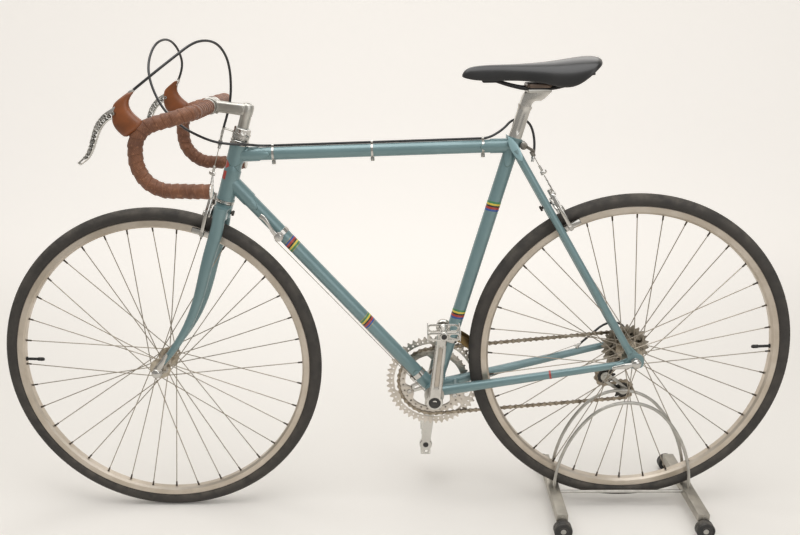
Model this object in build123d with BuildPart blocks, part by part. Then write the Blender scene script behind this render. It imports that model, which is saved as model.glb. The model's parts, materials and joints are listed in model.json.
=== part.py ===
"""Road racing bicycle held upright by a rear-wheel display stand.

Lengths are millimetres. The front of the bicycle points to -X, its left side to -Y and +Z is up.
The origin is on the floor, in the wheel plane, half way between the two tyres.
"""
from build123d import *
from math import asin, atan2, cos, degrees, hypot, pi, radians, sin, sqrt, tan
import os

# ---- clearances -------------------------------------------------------------------------------
running_fit = 0.05          # radial play of every turning pair
seat_gap = 0.3              # play between a soft or loose piece and what carries it
push_fit = 0.02             # radial play of a pressed or clamped pair
cut_past = 20.0             # a cutting rod runs this far past what it cuts

# ---- wheels -----------------------------------------------------------------------------------
wheelbase = 992.0
rear_lift = 20.0            # the stand holds the rear tyre this far off the floor
rim_outer_radius = 317.0
tyre_stand_out = 22.0       # of the tyre's tread beyond the rim
tyre_width = 28.0
tyre_foot_width = 16.0
rim_wall_height = 6.0
rim_height = 19.0
rim_width = 21.0
rim_chamfer = 4.0
spokes_per_wheel = 36
spoke_radius = 1.0
spoke_crossing = 60.0       # degrees a spoke runs round the wheel between hub and rim
flange_radius = 22.0
flange_thickness = 3.0
spoke_circle_radius = 19.5
hub_barrel_radius = 12.0
front_flange_across = 34.0
rear_left_flange_across = 35.0
rear_right_flange_across = 17.0
hub_end_radius = 9.0
locknut_width = 5.0
spoke_end_across = 2.5      # of a spoke's end in the rim
freewheel_start = 24.0

# ---- axles ------------------------------------------------------------------------------------
axle_radius = 4.8
front_dropout_gap = 100.0
rear_dropout_gap = 120.0
dropout_thickness = 5.0
axle_nut_radius = 9.0
axle_nut_length = 11.0
release_lever_length = 46.0
release_lever_width = 11.0
release_lever_thickness = 5.0
release_lever_stand_off = 2.0   # of its middle, beyond the nut
front_lever_turn = 60.0     # degrees, from behind towards up
rear_lever_turn = 190.0

# ---- steering ---------------------------------------------------------------------------------
head_angle = 72.7
fork_rake = 44.0
crown_bottom_along = 350.0  # measured up the steering axis from abreast of the front axle
crown_thickness = 22.0
lower_race_height = 4.5
lower_cup_height = 8.0
head_tube_length = 116.0
upper_cup_height = 9.0
upper_race_height = 13.0
lock_nut_height = 12.0
head_tube_radius = 16.0
head_tube_bore = 13.6
steerer_radius = 12.7
cup_radius = 19.0
race_radius = 17.5
crown_half_width = 43.0
crown_depth = 28.0
fork_eyelet_radius = 6.5
fork_eyelet_bore = 2.6
fork_eyelet_place = (15.0, 4.0)     # behind and above the front axle
blade_across_top = 33.0
blade_radius_top = 12.5
blade_width_top = 10.0
blade_radius_tip = 6.5
blade_bottom = 22.0         # up the steering axis
blade_tip_ahead = 39.0
blade_bend_start = 190.0

# ---- frame ------------------------------------------------------------------------------------
bracket_setback = 412.4     # bottom bracket, ahead of the rear axle
bracket_height = 275.0
seat_angle = 73.4
seat_tube_length = 560.0
top_tube_on_head = 479.0    # up the steering axis
top_tube_drop = 16.0        # down the seat tube from its top
down_tube_on_head = 426.0
top_tube_radius = 13.0
down_tube_radius = 14.0
seat_tube_radius = 14.0
lug_wall = 1.6
lug_reach = 30.0
down_lug_reach = 54.0
lug_height = 34.0           # of the upper head lug and the seat lug
down_lug_above = 22.0       # height of the lower head lug above the down tube
binder_drop = 10.0          # seat lug's binder, below the top of the seat tube
binder_behind = 6.0         # the seat tube's skin
binder_radius = 6.5
binder_half_width = 11.0
bracket_radius = 20.0
bracket_width = 68.0
bracket_bore = 17.5
cup_flange_radius = 21.0
cup_flange_width = 4.0
cup_depth = 16.0
chain_stay_radius = 11.0
chain_stay_end_radius = 7.0
chain_stay_across = 21.0
chain_stay_root = (14.0, 4.0)       # behind and above the bottom bracket
hanger_bolt_place = (8.0, -29.0)    # behind and above the rear axle
hanger_eye_radius = 9.0
hanger_bolt_radius = 5.0
seat_stay_radius = 7.5
seat_stay_across = 23.5
seat_stay_drop = 20.925     # down the seat tube from its top
seat_stay_behind = 5.627
bridge_radius = 6.0
brake_bridge_reach = 366.0  # from the rear axle
chain_bridge_reach = 372.0
stay_end_reach = 24.0

# ---- seat -------------------------------------------------------------------------------------
post_radius = 13.2
post_insertion = 95.0
post_rise = 72.0            # above the seat tube
post_head_drop = 4.0        # from the post's top to its head
post_head_behind = 14.0
rail_radius = 3.5
rail_across = 22.0
rail_rise = 34.173          # above the post's head
rail_clamp_height = 13.0
cradle_height = 10.0
cradle_length = 46.0
post_head_radius = 10.5
post_head_half_width = 12.0
rail_clamp_length = 34.0
rail_clamp_overhang = 8.0   # beyond the middle of each rail
clamp_behind_head = 6.0
saddle_ahead_of_clamp = 12.429
saddle_half_width = 74.0
saddle_nose_half_width = 17.0
saddle_skirt_drop = 27.0    # lowest place of its outline, below the rails
saddle_hollow_height = 38.0
saddle_hollow_drop = 12.0

# ---- handlebar --------------------------------------------------------------------------------
bar_radius = 12.0
bar_behind_axle = 140.0     # behind the front axle
bar_rise = 43.765           # above the lock nut
bar_half_width = 178.0
bar_reach = 104.0
bar_drop = 136.0
bar_corner_radius = 36.0
hook_radius = 60.0
ramp_fall = 26.0
bar_end_back = 28.0         # behind the clamped middle
bar_end_fall = 3.0
tape_radius = 14.0
tape_start_across = 27.0
stem_quill_length = 43.0
stem_elbow_rise = 37.0
stem_radius = 12.0
clamp_radius = 17.0
clamp_width = 30.0
quill_radius = 12.0
hood_half_width = 14.0
hood_edge = 3.0
lever_half_width = 6.0

# ---- drivetrain -------------------------------------------------------------------------------
chain_pitch = 12.7
outer_ring_teeth = 50
inner_ring_teeth = 38
cog_teeth = (14, 16, 18, 21, 24)
pulley_teeth = 10
ring_thickness = 1.8
inner_ring_across = 42.0
outer_ring_across = 47.5
first_cog_across = 49.0
cog_spacing = 5.3
tooth_height = 3.0
guide_pulley_place = (-34.0, -76.0)     # behind and above the rear axle
tension_pulley_place = (7.0, -108.0)
front_band_along = 122.0    # up the seat tube
shifter_along = 148.0       # down the down tube from the head
shifter_swing = 56.0
shifter_below = 6.0
shifter_radius = 10.0
shifter_boss_height = 10.0
band_half_width = 5.0
cage_plate_offset = 5.2     # rear cage plates, from the middle of the chain
cage_plate_width = 22.0
cage_plate_thickness = 1.8
front_cage_inner_across = 36.0
front_cage_outer_across = 54.0
front_cage_gap = 4.0        # from the teeth of the outer ring
front_cage_depth = 21.0
front_cage_plate = 1.6
chain_lap = 2.0             # a straight run goes on this far into the bend round a wheel
chain_step = 0.25           # straight runs stand in from the bends' faces
chain_gap = 3.2             # between the inner faces of its side plates
chain_plate = 1.2
chain_height = 8.0
crank_length = 170.0
crank_angle = 5.6           # degrees the left crank leans back from straight up
crank_thickness = 13.0
crank_boss_radius = 19.0
crank_eye_radius = 13.5
crank_bar_width = 24.0
crank_across = 70.0
crank_lean = 2.6
spindle_radius = 8.5
bolt_circle_radius = 58.0
ring_bolt_radius = 5.5
ring_rim_inside_bolts = 6.0     # inner edge of a ring, inside its bolt circle
spider_width = 16.0
spider_thickness = 8.0
freewheel_body_radius = 21.0
freewheel_body_beyond = 2.0     # the smallest cog
pedal_spindle_radius = 4.5
pedal_barrel_radius = 10.0
pedal_length = 54.0
pedal_width = 66.0
pedal_height = 24.0
pedal_plate = 2.5
pedal_washer_radius = 7.5
pedal_washer_width = 4.0
pedal_play = 0.5            # between washer and barrel

# ---- brakes and cables ------------------------------------------------------------------------
housing_radius = 2.5
wire_radius = 0.8
pad_length = 46.0
pad_height = 11.0
pad_gap = 3.0
pad_thickness = 9.0
pad_below_rim_edge = 8.0    # middle of a brake pad, inside the rim's outer edge
brake_arm_thickness = 8.0
brake_bolt_radius = 3.0
brake_plate_thickness = 5.0
brake_pivot_radius = 5.0
brake_pivot_across = 30.0
brake_pivot_rise = 44.0     # above the pads
pad_post_radius = 3.5
pad_post_length = 12.0
brake_nut_radius = 6.0
front_nut_behind = 22.0     # end of the front brake's bolt, behind the steering axis
rear_nut_ahead = 13.0       # end of the rear brake's bolt, ahead of the seat stays
straddle_rise = 78.0        # ends of a straddle wire, above the pads
straddle_across = 20.0
carrier_radius = 4.5
hanger_barrel_radius = 4.0
crown_bolt_along = 361.0
front_brake_ahead = 22.0    # back face of the arms, ahead of the steering axis
rear_brake_behind = 16.0    # back face of the arms, behind the seat stays
carrier_rise = 120.0        # carrier of the front straddle wire, above the pads
rear_hanger_drop = 31.417   # hanger of the rear cable, below the tops of the seat stays
rear_wire_drop = 40.0       # carrier of the rear straddle wire, below its hanger
front_wire_ahead = 37.0     # of the steering axis
rear_wire_behind = 26.0     # the seat stays
first_clip = 74.0           # along the top tube from the head
last_clip_back = 58.718     # from the seat tube's axis
middle_clip_share = 0.4939  # of the top tube's length
guide_before_bracket = 49.048
guide_wire_gap = 3.0        # from the down tube to the bare wires
stay_stop_place = (-92.0, 55.0, -2.0)   # from the rear axle
loop_end = (17.0, 75.0, -11.0)          # of the gear housing, from the rear axle

# ---- display stand ----------------------------------------------------------------------------
leg_spacing = 294.0
leg_width = 24.0
leg_height = 20.0
leg_half_length = 138.0
leg_gap = 0.3
hoop_rod_radius = 3.5
hoop_height = 207.0
hoop_side_radius = 255.0
hoop_lean = 11.0            # the crown stands out beyond the feet, clear of the spokes
hoop_across = 23.0
roller_radius = 19.0
roller_width = 20.0
roller_across = 150.0
roller_axle_radius = 4.0
leg_end_thickness = 3.0     # of its turned-down ends
leg_end_below_axle = 12.0

BASE = (Align.CENTER, Align.CENTER, Align.MIN)

# ---- places worked out from the sizes ---------------------------------------------------------
tyre_radius = rim_outer_radius + tyre_stand_out
rim_bead_radius = rim_outer_radius - rim_wall_height
rim_inner_radius = rim_outer_radius - rim_height
brake_reach = rim_outer_radius - pad_below_rim_edge
front_axle_x = -wheelbase / 2
front_axle_z = tyre_radius
rear_axle_x = wheelbase / 2
rear_axle_z = tyre_radius + rear_lift
bracket_x = rear_axle_x - bracket_setback
steer_up = (cos(radians(head_angle)), sin(radians(head_angle)))
steer_ahead = (-steer_up[1], steer_up[0])
steer_foot = (front_axle_x - fork_rake * steer_ahead[0], front_axle_z - fork_rake * steer_ahead[1])
seat_up = (cos(radians(seat_angle)), sin(radians(seat_angle)))
top_tube_on_seat = seat_tube_length - top_tube_drop
post_top = seat_tube_length + post_rise
bar_centre_x = front_axle_x + bar_behind_axle
guide_pulley = (rear_axle_x + guide_pulley_place[0], rear_axle_z + guide_pulley_place[1])
tension_pulley = (rear_axle_x + tension_pulley_place[0], rear_axle_z + tension_pulley_place[1])
crown_top = crown_bottom_along + crown_thickness
head_bottom = crown_top + lower_race_height + lower_cup_height
head_top = head_bottom + head_tube_length
upper_race_bottom = head_top + upper_cup_height
lock_nut_top = upper_race_bottom + upper_race_height + lock_nut_height


def on_steering(along, ahead=0.0, across=0.0):
    """Point placed along, ahead of and across the steering axis."""
    return (steer_foot[0] + along * steer_up[0] + ahead * steer_ahead[0], across,
            steer_foot[1] + along * steer_up[1] + ahead * steer_ahead[1])


def on_seat_tube(along, behind=0.0, across=0.0):
    """Point placed along, behind and across the seat tube, measured from the bottom bracket."""
    return (bracket_x + along * seat_up[0] + behind * seat_up[1], across,
            bracket_height + along * seat_up[1] - behind * seat_up[0])


post_head = on_seat_tube(post_top - post_head_drop, post_head_behind)
rail_height = post_head[2] + rail_rise
rail_clamp_x = post_head[0] + clamp_behind_head
bar_height = on_steering(lock_nut_top)[2] + bar_rise
seat_stay_start = on_seat_tube(seat_tube_length - seat_stay_drop, seat_stay_behind)
seat_stay_start_x, seat_stay_start_z = seat_stay_start[0], seat_stay_start[2]


def from_bar(behind, above):
    """Side-view point behind and above the clamped middle of the bar."""
    return (bar_centre_x + behind, bar_height + above)


def beside_bar(behind, across, above):
    """Point behind and above the clamped middle of the bar, and across."""
    return (bar_centre_x + behind, across, bar_height + above)


def from_clamp(behind, above):
    """Side-view point on the saddle, behind and above its rail clamp."""
    return (rail_clamp_x - saddle_ahead_of_clamp + behind, rail_height + above)


def behind_seat_lug(behind, across, above):
    """Point behind, across and above the top of the seat tube's axis."""
    top = on_seat_tube(seat_tube_length)
    return (top[0] + behind, across, top[2] + above)


def from_rear_end(behind, across, above):
    """Point behind, across and above the middle of the rear axle."""
    return (rear_axle_x + behind, across, rear_axle_z + above)


def from_rear_axle(reach, angle):
    """Side-view point at a reach and an angle in degrees from the rear axle."""
    return (rear_axle_x + reach * cos(radians(angle)), rear_axle_z + reach * sin(radians(angle)))


def side_plane(across=0.0):
    """Plane seen from the left side, at a place across the bicycle: local x is X, local y is Z."""
    return Plane.XZ.offset(-across)


def rod_plane(start, end):
    """Plane at the start point that faces the end point."""
    heading = (Vector(*end) - Vector(*start)).normalized()
    guide = Vector(0, 1, 0) if abs(heading.Y) < 0.9 else Vector(1, 0, 0)
    sideways = (guide - heading * guide.dot(heading)).normalized()
    return Plane(origin=start, x_dir=sideways, z_dir=heading)


def rod(start, end, radius, end_radius=None, mode=Mode.ADD):
    """Round or tapered rod from one point to another, put into the part that is being built."""
    length = (Vector(*end) - Vector(*start)).length
    with Locations(rod_plane(start, end)):
        if end_radius is None:
            Cylinder(radius, length, align=BASE, mode=mode)
        else:
            Cone(radius, end_radius, length, align=BASE, mode=mode)


def largest_bends(points, share=0.45):
    """Largest tangent bend at each inner corner of a route."""
    bends = []
    for before, corner, after in zip(points, points[1:], points[2:]):
        run_in = Vector(*corner) - Vector(*before)
        run_out = Vector(*after) - Vector(*corner)
        turn = radians(run_in.get_angle(run_out))
        bends.append(share * min(run_in.length, run_out.length) / tan(turn / 2))
    return bends


def bent_rod(points, bends, radius, mode=Mode.ADD):
    """Round rod along straight runs joined by tangent bends, put into the part being built."""
    with BuildLine(mode=Mode.PRIVATE) as route:
        FilletPolyline(*points, radius=bends)
    with BuildSketch(rod_plane(points[0], points[1])) as section:
        Circle(radius)
    sweep(sections=section.sketch, path=route.wires()[0], mode=mode)


def mirror_across(points):
    """The same route on the other side of the wheel plane."""
    return [(x, -y, z) for x, y, z in points]


def finish(part, name):
    """Name a finished piece and write it out."""
    part.label = name
    export_step(part, f"parts/{name}.step")


os.makedirs("parts", exist_ok=True)

# ================================================================================================
# Frame
# ================================================================================================
bracket = (bracket_x, 0.0, bracket_height)


def cylinder_across(x, z, radius, start, end, mode=Mode.ADD):
    """Cylinder whose axis runs across the bicycle, between two places across."""
    rod((x, start, z), (x, end, z), radius, mode=mode)


with BuildPart() as head_tube:
    rod(on_steering(head_bottom), on_steering(head_top), head_tube_radius)
    rod(on_steering(head_bottom), on_steering(head_top), head_tube_bore, mode=Mode.SUBTRACT)
finish(head_tube.part, "head_tube")

with BuildPart() as top_tube:
    rod(on_steering(top_tube_on_head), on_seat_tube(top_tube_on_seat), top_tube_radius)
    rod(on_steering(head_bottom), on_steering(head_top), head_tube_radius, mode=Mode.SUBTRACT)
    rod(bracket, on_seat_tube(seat_tube_length + cut_past), seat_tube_radius, mode=Mode.SUBTRACT)
finish(top_tube.part, "top_tube")

with BuildPart() as down_tube:
    rod(on_steering(down_tube_on_head), bracket, down_tube_radius)
    rod(on_steering(head_bottom), on_steering(head_top), head_tube_radius, mode=Mode.SUBTRACT)
    cylinder_across(bracket_x, bracket_height, bracket_radius, -bracket_width, bracket_width,
                    mode=Mode.SUBTRACT)
    rod(bracket, on_seat_tube(seat_tube_length), seat_tube_radius, mode=Mode.SUBTRACT)
finish(down_tube.part, "down_tube")

with BuildPart() as seat_tube:
    rod(bracket, on_seat_tube(seat_tube_length), seat_tube_radius)
    cylinder_across(bracket_x, bracket_height, bracket_radius, -bracket_width, bracket_width,
                    mode=Mode.SUBTRACT)
    rod(on_seat_tube(seat_tube_length - post_insertion), on_seat_tube(seat_tube_length + cut_past),
        post_radius + push_fit, mode=Mode.SUBTRACT)
finish(seat_tube.part, "seat_tube")


def socket(start, end, tube_radius, reach):
    """Lug socket round a tube, from the tube's start point along it."""
    heading = (Vector(*end) - Vector(*start)).normalized()
    rod(start, tuple(Vector(*start) + heading * reach), tube_radius + lug_wall)


with BuildPart() as head_lugs:
    rod(on_steering(head_top - lug_height), on_steering(head_top), head_tube_radius + lug_wall)
    socket(on_steering(top_tube_on_head), on_seat_tube(top_tube_on_seat), top_tube_radius,
           lug_reach + head_tube_radius)
    rod(on_steering(head_bottom), on_steering(down_tube_on_head + down_lug_above),
        head_tube_radius + lug_wall)
    socket(on_steering(down_tube_on_head), bracket, down_tube_radius, down_lug_reach)
    for tube in (head_tube, top_tube, down_tube):
        add(tube.part, mode=Mode.SUBTRACT)
    rod(on_steering(head_top), on_steering(head_top + cut_past), cup_radius, mode=Mode.SUBTRACT)
    rod(on_steering(head_bottom - cut_past), on_steering(head_top + cut_past), head_tube_radius,
        mode=Mode.SUBTRACT)
finish(head_lugs.part, "head_lugs")

with BuildPart() as seat_lug:
    rod(on_seat_tube(seat_tube_length - lug_height), on_seat_tube(seat_tube_length),
        seat_tube_radius + lug_wall)
    socket(on_seat_tube(top_tube_on_seat), on_steering(top_tube_on_head), top_tube_radius,
           lug_reach + seat_tube_radius)
    binder = on_seat_tube(seat_tube_length - binder_drop, seat_tube_radius + binder_behind)
    cylinder_across(binder[0], binder[2], binder_radius, -binder_half_width, binder_half_width)
    for tube in (seat_tube, top_tube):
        add(tube.part, mode=Mode.SUBTRACT)
    rod(bracket, on_seat_tube(seat_tube_length + cut_past), seat_tube_radius, mode=Mode.SUBTRACT)
finish(seat_lug.part, "seat_lug")

with BuildPart() as bottom_bracket_shell:
    cylinder_across(bracket_x, bracket_height, bracket_radius, -bracket_width / 2,
                    bracket_width / 2)
    cylinder_across(bracket_x, bracket_height, bracket_bore, -bracket_width, bracket_width,
                    mode=Mode.SUBTRACT)
finish(bottom_bracket_shell.part, "bottom_bracket_shell")

with BuildPart() as bottom_bracket_cups:
    for side in (-1, 1):
        cylinder_across(bracket_x, bracket_height, bracket_bore,
                        side * (bracket_width / 2 - cup_depth), side * bracket_width / 2)
        cylinder_across(bracket_x, bracket_height, cup_flange_radius, side * bracket_width / 2,
                        side * (bracket_width / 2 + cup_flange_width))
    cylinder_across(bracket_x, bracket_height, spindle_radius + running_fit, -bracket_width,
                    bracket_width, mode=Mode.SUBTRACT)
finish(bottom_bracket_cups.part, "bottom_bracket_cups")

rear_end_across = (rear_dropout_gap + dropout_thickness) / 2
front_end_across = (front_dropout_gap + dropout_thickness) / 2
chain_stay_start = (bracket_x + chain_stay_root[0], bracket_height + chain_stay_root[1])
seat_stay_heading = degrees(atan2(seat_stay_start_z - rear_axle_z, seat_stay_start_x - rear_axle_x))
chain_stay_heading = degrees(atan2(chain_stay_start[1] - rear_axle_z,
                                   chain_stay_start[0] - rear_axle_x))
chain_stay_end = from_rear_axle(stay_end_reach, chain_stay_heading)
seat_stay_end = from_rear_axle(stay_end_reach, seat_stay_heading)
hanger_bolt = (rear_axle_x + hanger_bolt_place[0], rear_axle_z + hanger_bolt_place[1])

with BuildPart() as rear_dropouts:
    for side in (-1, 1):
        with BuildSketch(side_plane(side * rear_end_across)):
            tab = from_rear_axle(stay_end_reach + 16, chain_stay_heading)
            upper_tab = from_rear_axle(stay_end_reach + 16, seat_stay_heading)
            with BuildLine():
                Polyline((tab[0], tab[1] + 6), (chain_stay_end[0] + 10, chain_stay_end[1] + 14),
                         (upper_tab[0] - 5, upper_tab[1] - 4), (upper_tab[0] + 6, upper_tab[1] + 3),
                         (rear_axle_x + 10, rear_axle_z + 14), (rear_axle_x + 14, rear_axle_z - 2),
                         (rear_axle_x + 6, rear_axle_z - 14), (rear_axle_x - 8, rear_axle_z - 13),
                         (tab[0], tab[1] - 6), close=True)
            make_face()
            if side > 0:
                with BuildLine():
                    Polyline((rear_axle_x - 8, rear_axle_z - 8), (rear_axle_x + 10, rear_axle_z - 8),
                             (hanger_bolt[0] + 9, hanger_bolt[1]), (hanger_bolt[0], hanger_bolt[1] - 9),
                             (hanger_bolt[0] - 9, hanger_bolt[1]), close=True)
                make_face()
                with Locations(hanger_bolt):
                    Circle(hanger_eye_radius)
            with Locations((rear_axle_x, rear_axle_z)):
                Circle(axle_radius, mode=Mode.SUBTRACT)
            if side > 0:
                with Locations(hanger_bolt):
                    Circle(hanger_bolt_radius, mode=Mode.SUBTRACT)
        extrude(amount=dropout_thickness / 2, both=True)
finish(rear_dropouts.part, "rear_dropouts")

with BuildPart() as chain_stays:
    for side in (-1, 1):
        rod((chain_stay_start[0], side * chain_stay_across, chain_stay_start[1]),
            (chain_stay_end[0], side * rear_end_across, chain_stay_end[1]),
            chain_stay_radius, chain_stay_end_radius)
    cylinder_across(bracket_x, bracket_height, bracket_radius, -bracket_width, bracket_width,
                    mode=Mode.SUBTRACT)
    rod(bracket, on_seat_tube(120), seat_tube_radius, mode=Mode.SUBTRACT)
    add(rear_dropouts.part, mode=Mode.SUBTRACT)
finish(chain_stays.part, "chain_stays")

with BuildPart() as seat_stays:
    for side in (-1, 1):
        rod((seat_stay_start_x, side * seat_stay_across, seat_stay_start_z),
            (seat_stay_end[0], side * rear_end_across, seat_stay_end[1]), seat_stay_radius)
    add(rear_dropouts.part, mode=Mode.SUBTRACT)
    add(seat_lug.part, mode=Mode.SUBTRACT)
    rod(bracket, on_seat_tube(seat_tube_length + cut_past), seat_tube_radius, mode=Mode.SUBTRACT)
finish(seat_stays.part, "seat_stays")


def stay_across(reach, start_x, start_across):
    """Place across of a stay's centre line, at a reach from the rear axle."""
    whole = hypot(rear_axle_x - start_x[0], start_x[1] - rear_axle_z)
    share = (reach - stay_end_reach) / (whole - stay_end_reach)
    return rear_end_across + (start_across - rear_end_across) * share


def on_rear_brake(along, behind=0.0, across=0.0):
    """Point placed up the seat stays from the rear axle, behind them and across."""
    up = (cos(radians(seat_stay_heading)), sin(radians(seat_stay_heading)))
    return (rear_axle_x + along * up[0] + behind * up[1], across,
            rear_axle_z + along * up[1] - behind * up[0])


brake_bridge = from_rear_axle(brake_bridge_reach, seat_stay_heading)
chain_bridge = from_rear_axle(chain_bridge_reach, chain_stay_heading)
brake_bridge_across = stay_across(brake_bridge_reach, (seat_stay_start_x, seat_stay_start_z),
                                  seat_stay_across)
chain_bridge_across = stay_across(chain_bridge_reach, chain_stay_start, chain_stay_across)
with BuildPart() as stay_bridges:
    cylinder_across(*brake_bridge, bridge_radius, -brake_bridge_across, brake_bridge_across)
    cylinder_across(*chain_bridge, bridge_radius, -chain_bridge_across, chain_bridge_across)
    for stays in (seat_stays, chain_stays):
        add(stays.part, mode=Mode.SUBTRACT)
    rod(on_rear_brake(brake_bridge_reach, -cut_past), on_rear_brake(brake_bridge_reach, cut_past),
        brake_bolt_radius, mode=Mode.SUBTRACT)
finish(stay_bridges.part, "stay_bridges")

# ---- seat post and saddle ----------------------------------------------------------------------
cradle_top = rail_height - rail_clamp_height / 2
with BuildPart() as seat_post:
    rod(on_seat_tube(seat_tube_length - post_insertion), on_seat_tube(post_top), post_radius)
    with Locations((post_head[0], 0, cradle_top - cradle_height / 2)):
        Box(cradle_length, 2 * (rail_across - 2 * rail_radius) + 1, cradle_height)
    cylinder_across(post_head[0], (post_head[2] + cradle_top) / 2, post_head_radius,
                    -post_head_half_width, post_head_half_width)
finish(seat_post.part, "seat_post")

with BuildPart() as saddle_rails:
    for side in (-1, 1):
        rail = [(from_clamp(behind, above)[0], side * across, from_clamp(behind, above)[1])
                for behind, across, above in ((-74, 9, 17), (-44, 14, 7), (-14, rail_across, 0),
                                              (42, rail_across, 0), (74, 28, 8), (96, 34, 23))]
        bent_rod(rail, largest_bends(rail, 0.35), rail_radius)
    with Locations((rail_clamp_x, 0, rail_height)):
        Box(rail_clamp_length, 2 * (rail_across + rail_clamp_overhang), rail_clamp_height)
    add(seat_post.part, mode=Mode.SUBTRACT)
finish(saddle_rails.part, "saddle_rails")

# side outline of the saddle, behind and above its clamp
saddle_top = [(-133, 23), (-118, 38), (-90, 42), (-30, 43), (40, 48), (75, 55), (110, 59),
              (130, 57), (135, 48)]
saddle_back = [(135, 48), (118, 31), (101, 14), (85, 2), (66, -2)]
saddle_flat = [(66, -2), (28, 8), (-42, 12), (-104, 12)]
saddle_tip = [(-104, 12), (-122, 14), (-133, 23)]
# half widths of the saddle, behind its clamp
saddle_plan = [(-133, 0), (-124, saddle_nose_half_width - 3), (-80, saddle_nose_half_width), (-20, 24),
               (30, 44), (75, 66), (105, saddle_half_width), (128, 66), (133, 40), (126, 0)]
saddle_hollow = [(-34, 12), (30, 34), (80, 54), (106, 58)]
saddle_x = from_clamp(0, 0)[0]
with BuildPart() as saddle:
    with BuildSketch(side_plane()):
        with BuildLine():
            Spline(*[from_clamp(*point) for point in saddle_top])
            Spline(*[from_clamp(*point) for point in saddle_back])
            Polyline(*[from_clamp(*point) for point in saddle_flat])
            Spline(*[from_clamp(*point) for point in saddle_tip])
        make_face()
    extrude(amount=saddle_half_width, both=True)
    with BuildSketch(Plane.XY.offset(rail_height - saddle_skirt_drop)):
        with BuildLine():
            Spline(*[(saddle_x + behind, across) for behind, across in saddle_plan])
            Line((saddle_x + saddle_plan[-1][0], 0), (saddle_x + saddle_plan[0][0], 0))
        make_face()
        mirror(about=Plane.XZ)
    extrude(amount=2 * saddle_half_width, mode=Mode.INTERSECT)
    with BuildSketch(Plane.XY.offset(rail_height - saddle_hollow_drop)):
        with BuildLine():
            edge = [(saddle_x + behind, across) for behind, across in saddle_hollow]
            Polyline(*edge, *[(x, -across) for x, across in reversed(edge)], close=True)
        make_face()
    extrude(amount=saddle_hollow_height, mode=Mode.SUBTRACT)
    add(saddle_rails.part, mode=Mode.SUBTRACT)
finish(saddle.part, "saddle")

# ================================================================================================
# Wheels
# ================================================================================================


def wheel_profile(x, z):
    """Plane of a wheel's section: local x runs across, local y up from the axle."""
    return Plane(origin=(x, 0, z), x_dir=(0, 1, 0), z_dir=(1, 0, 0))


def make_tyre(x, z):
    """Tyre with the foot that sits in the rim's channel."""
    with BuildPart() as tyre:
        with BuildSketch(wheel_profile(x, z)):
            with Locations((0, tyre_radius - tyre_width / 2)):
                Circle(tyre_width / 2)
            with Locations((0, rim_inner_radius)):
                Rectangle(2 * tyre_width, rim_outer_radius - rim_inner_radius,
                          align=(Align.CENTER, Align.MIN), mode=Mode.SUBTRACT)
            with Locations((0, rim_bead_radius)):
                Rectangle(tyre_foot_width, rim_outer_radius - rim_bead_radius + 1,
                          align=(Align.CENTER, Align.MIN))
        revolve(axis=Axis((x, 0, z), (0, 1, 0)))
    return tyre.part


def make_rim(x, z):
    """Box rim with a channel for the tyre's foot."""
    with BuildPart() as rim:
        with BuildSketch(wheel_profile(x, z)) as section:
            with Locations((0, rim_inner_radius)):
                Rectangle(rim_width, rim_outer_radius - rim_inner_radius,
                          align=(Align.CENTER, Align.MIN))
            chamfer(section.vertices().group_by(Axis.Z)[0], rim_chamfer)
            with Locations((0, rim_bead_radius)):
                Rectangle(tyre_foot_width, rim_outer_radius, align=(Align.CENTER, Align.MIN),
                          mode=Mode.SUBTRACT)
        revolve(axis=Axis((x, 0, z), (0, 1, 0)))
    return rim.part


def make_hub(x, z, left_across, right_across, left_end, right_end):
    """Hub with its two flanges and all the spokes."""
    spokes_per_side = spokes_per_wheel // 2
    with BuildPart() as hub:
        cylinder_across(x, z, hub_barrel_radius, -left_across, right_across)
        cylinder_across(x, z, hub_end_radius, -left_end, right_end)
        for across in (-left_across, right_across):
            cylinder_across(x, z, flange_radius, across - flange_thickness / 2,
                            across + flange_thickness / 2)
        for side, across in ((0, -left_across), (1, right_across)):
            for number in range(spokes_per_side):
                start = 360 * (number + side / 2) / spokes_per_side
                lean = spoke_crossing if number % 2 else -spoke_crossing
                outside = flange_thickness / 2 if number % 2 else -flange_thickness / 2
                inner, outer = radians(start), radians(start + lean)
                rod((x + spoke_circle_radius * cos(inner), across + outside,
                     z + spoke_circle_radius * sin(inner)),
                    (x + (rim_inner_radius - seat_gap) * cos(outer), spoke_end_across * (2 * side - 1),
                     z + (rim_inner_radius - seat_gap) * sin(outer)), spoke_radius)
        cylinder_across(x, z, axle_radius + running_fit, -left_end - cut_past, right_end + cut_past,
                        mode=Mode.SUBTRACT)
    return hub.part


finish(make_tyre(front_axle_x, front_axle_z), "front_tyre")
finish(make_rim(front_axle_x, front_axle_z), "front_rim")
finish(make_hub(front_axle_x, front_axle_z, front_flange_across, front_flange_across,
                front_dropout_gap / 2 - locknut_width - seat_gap,
                front_dropout_gap / 2 - locknut_width - seat_gap), "front_hub_and_spokes")
finish(make_tyre(rear_axle_x, rear_axle_z), "rear_tyre")
finish(make_rim(rear_axle_x, rear_axle_z), "rear_rim")
finish(make_hub(rear_axle_x, rear_axle_z, rear_left_flange_across, rear_right_flange_across,
                rear_dropout_gap / 2 - locknut_width - seat_gap, freewheel_start - seat_gap),
       "rear_hub_and_spokes")


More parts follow.
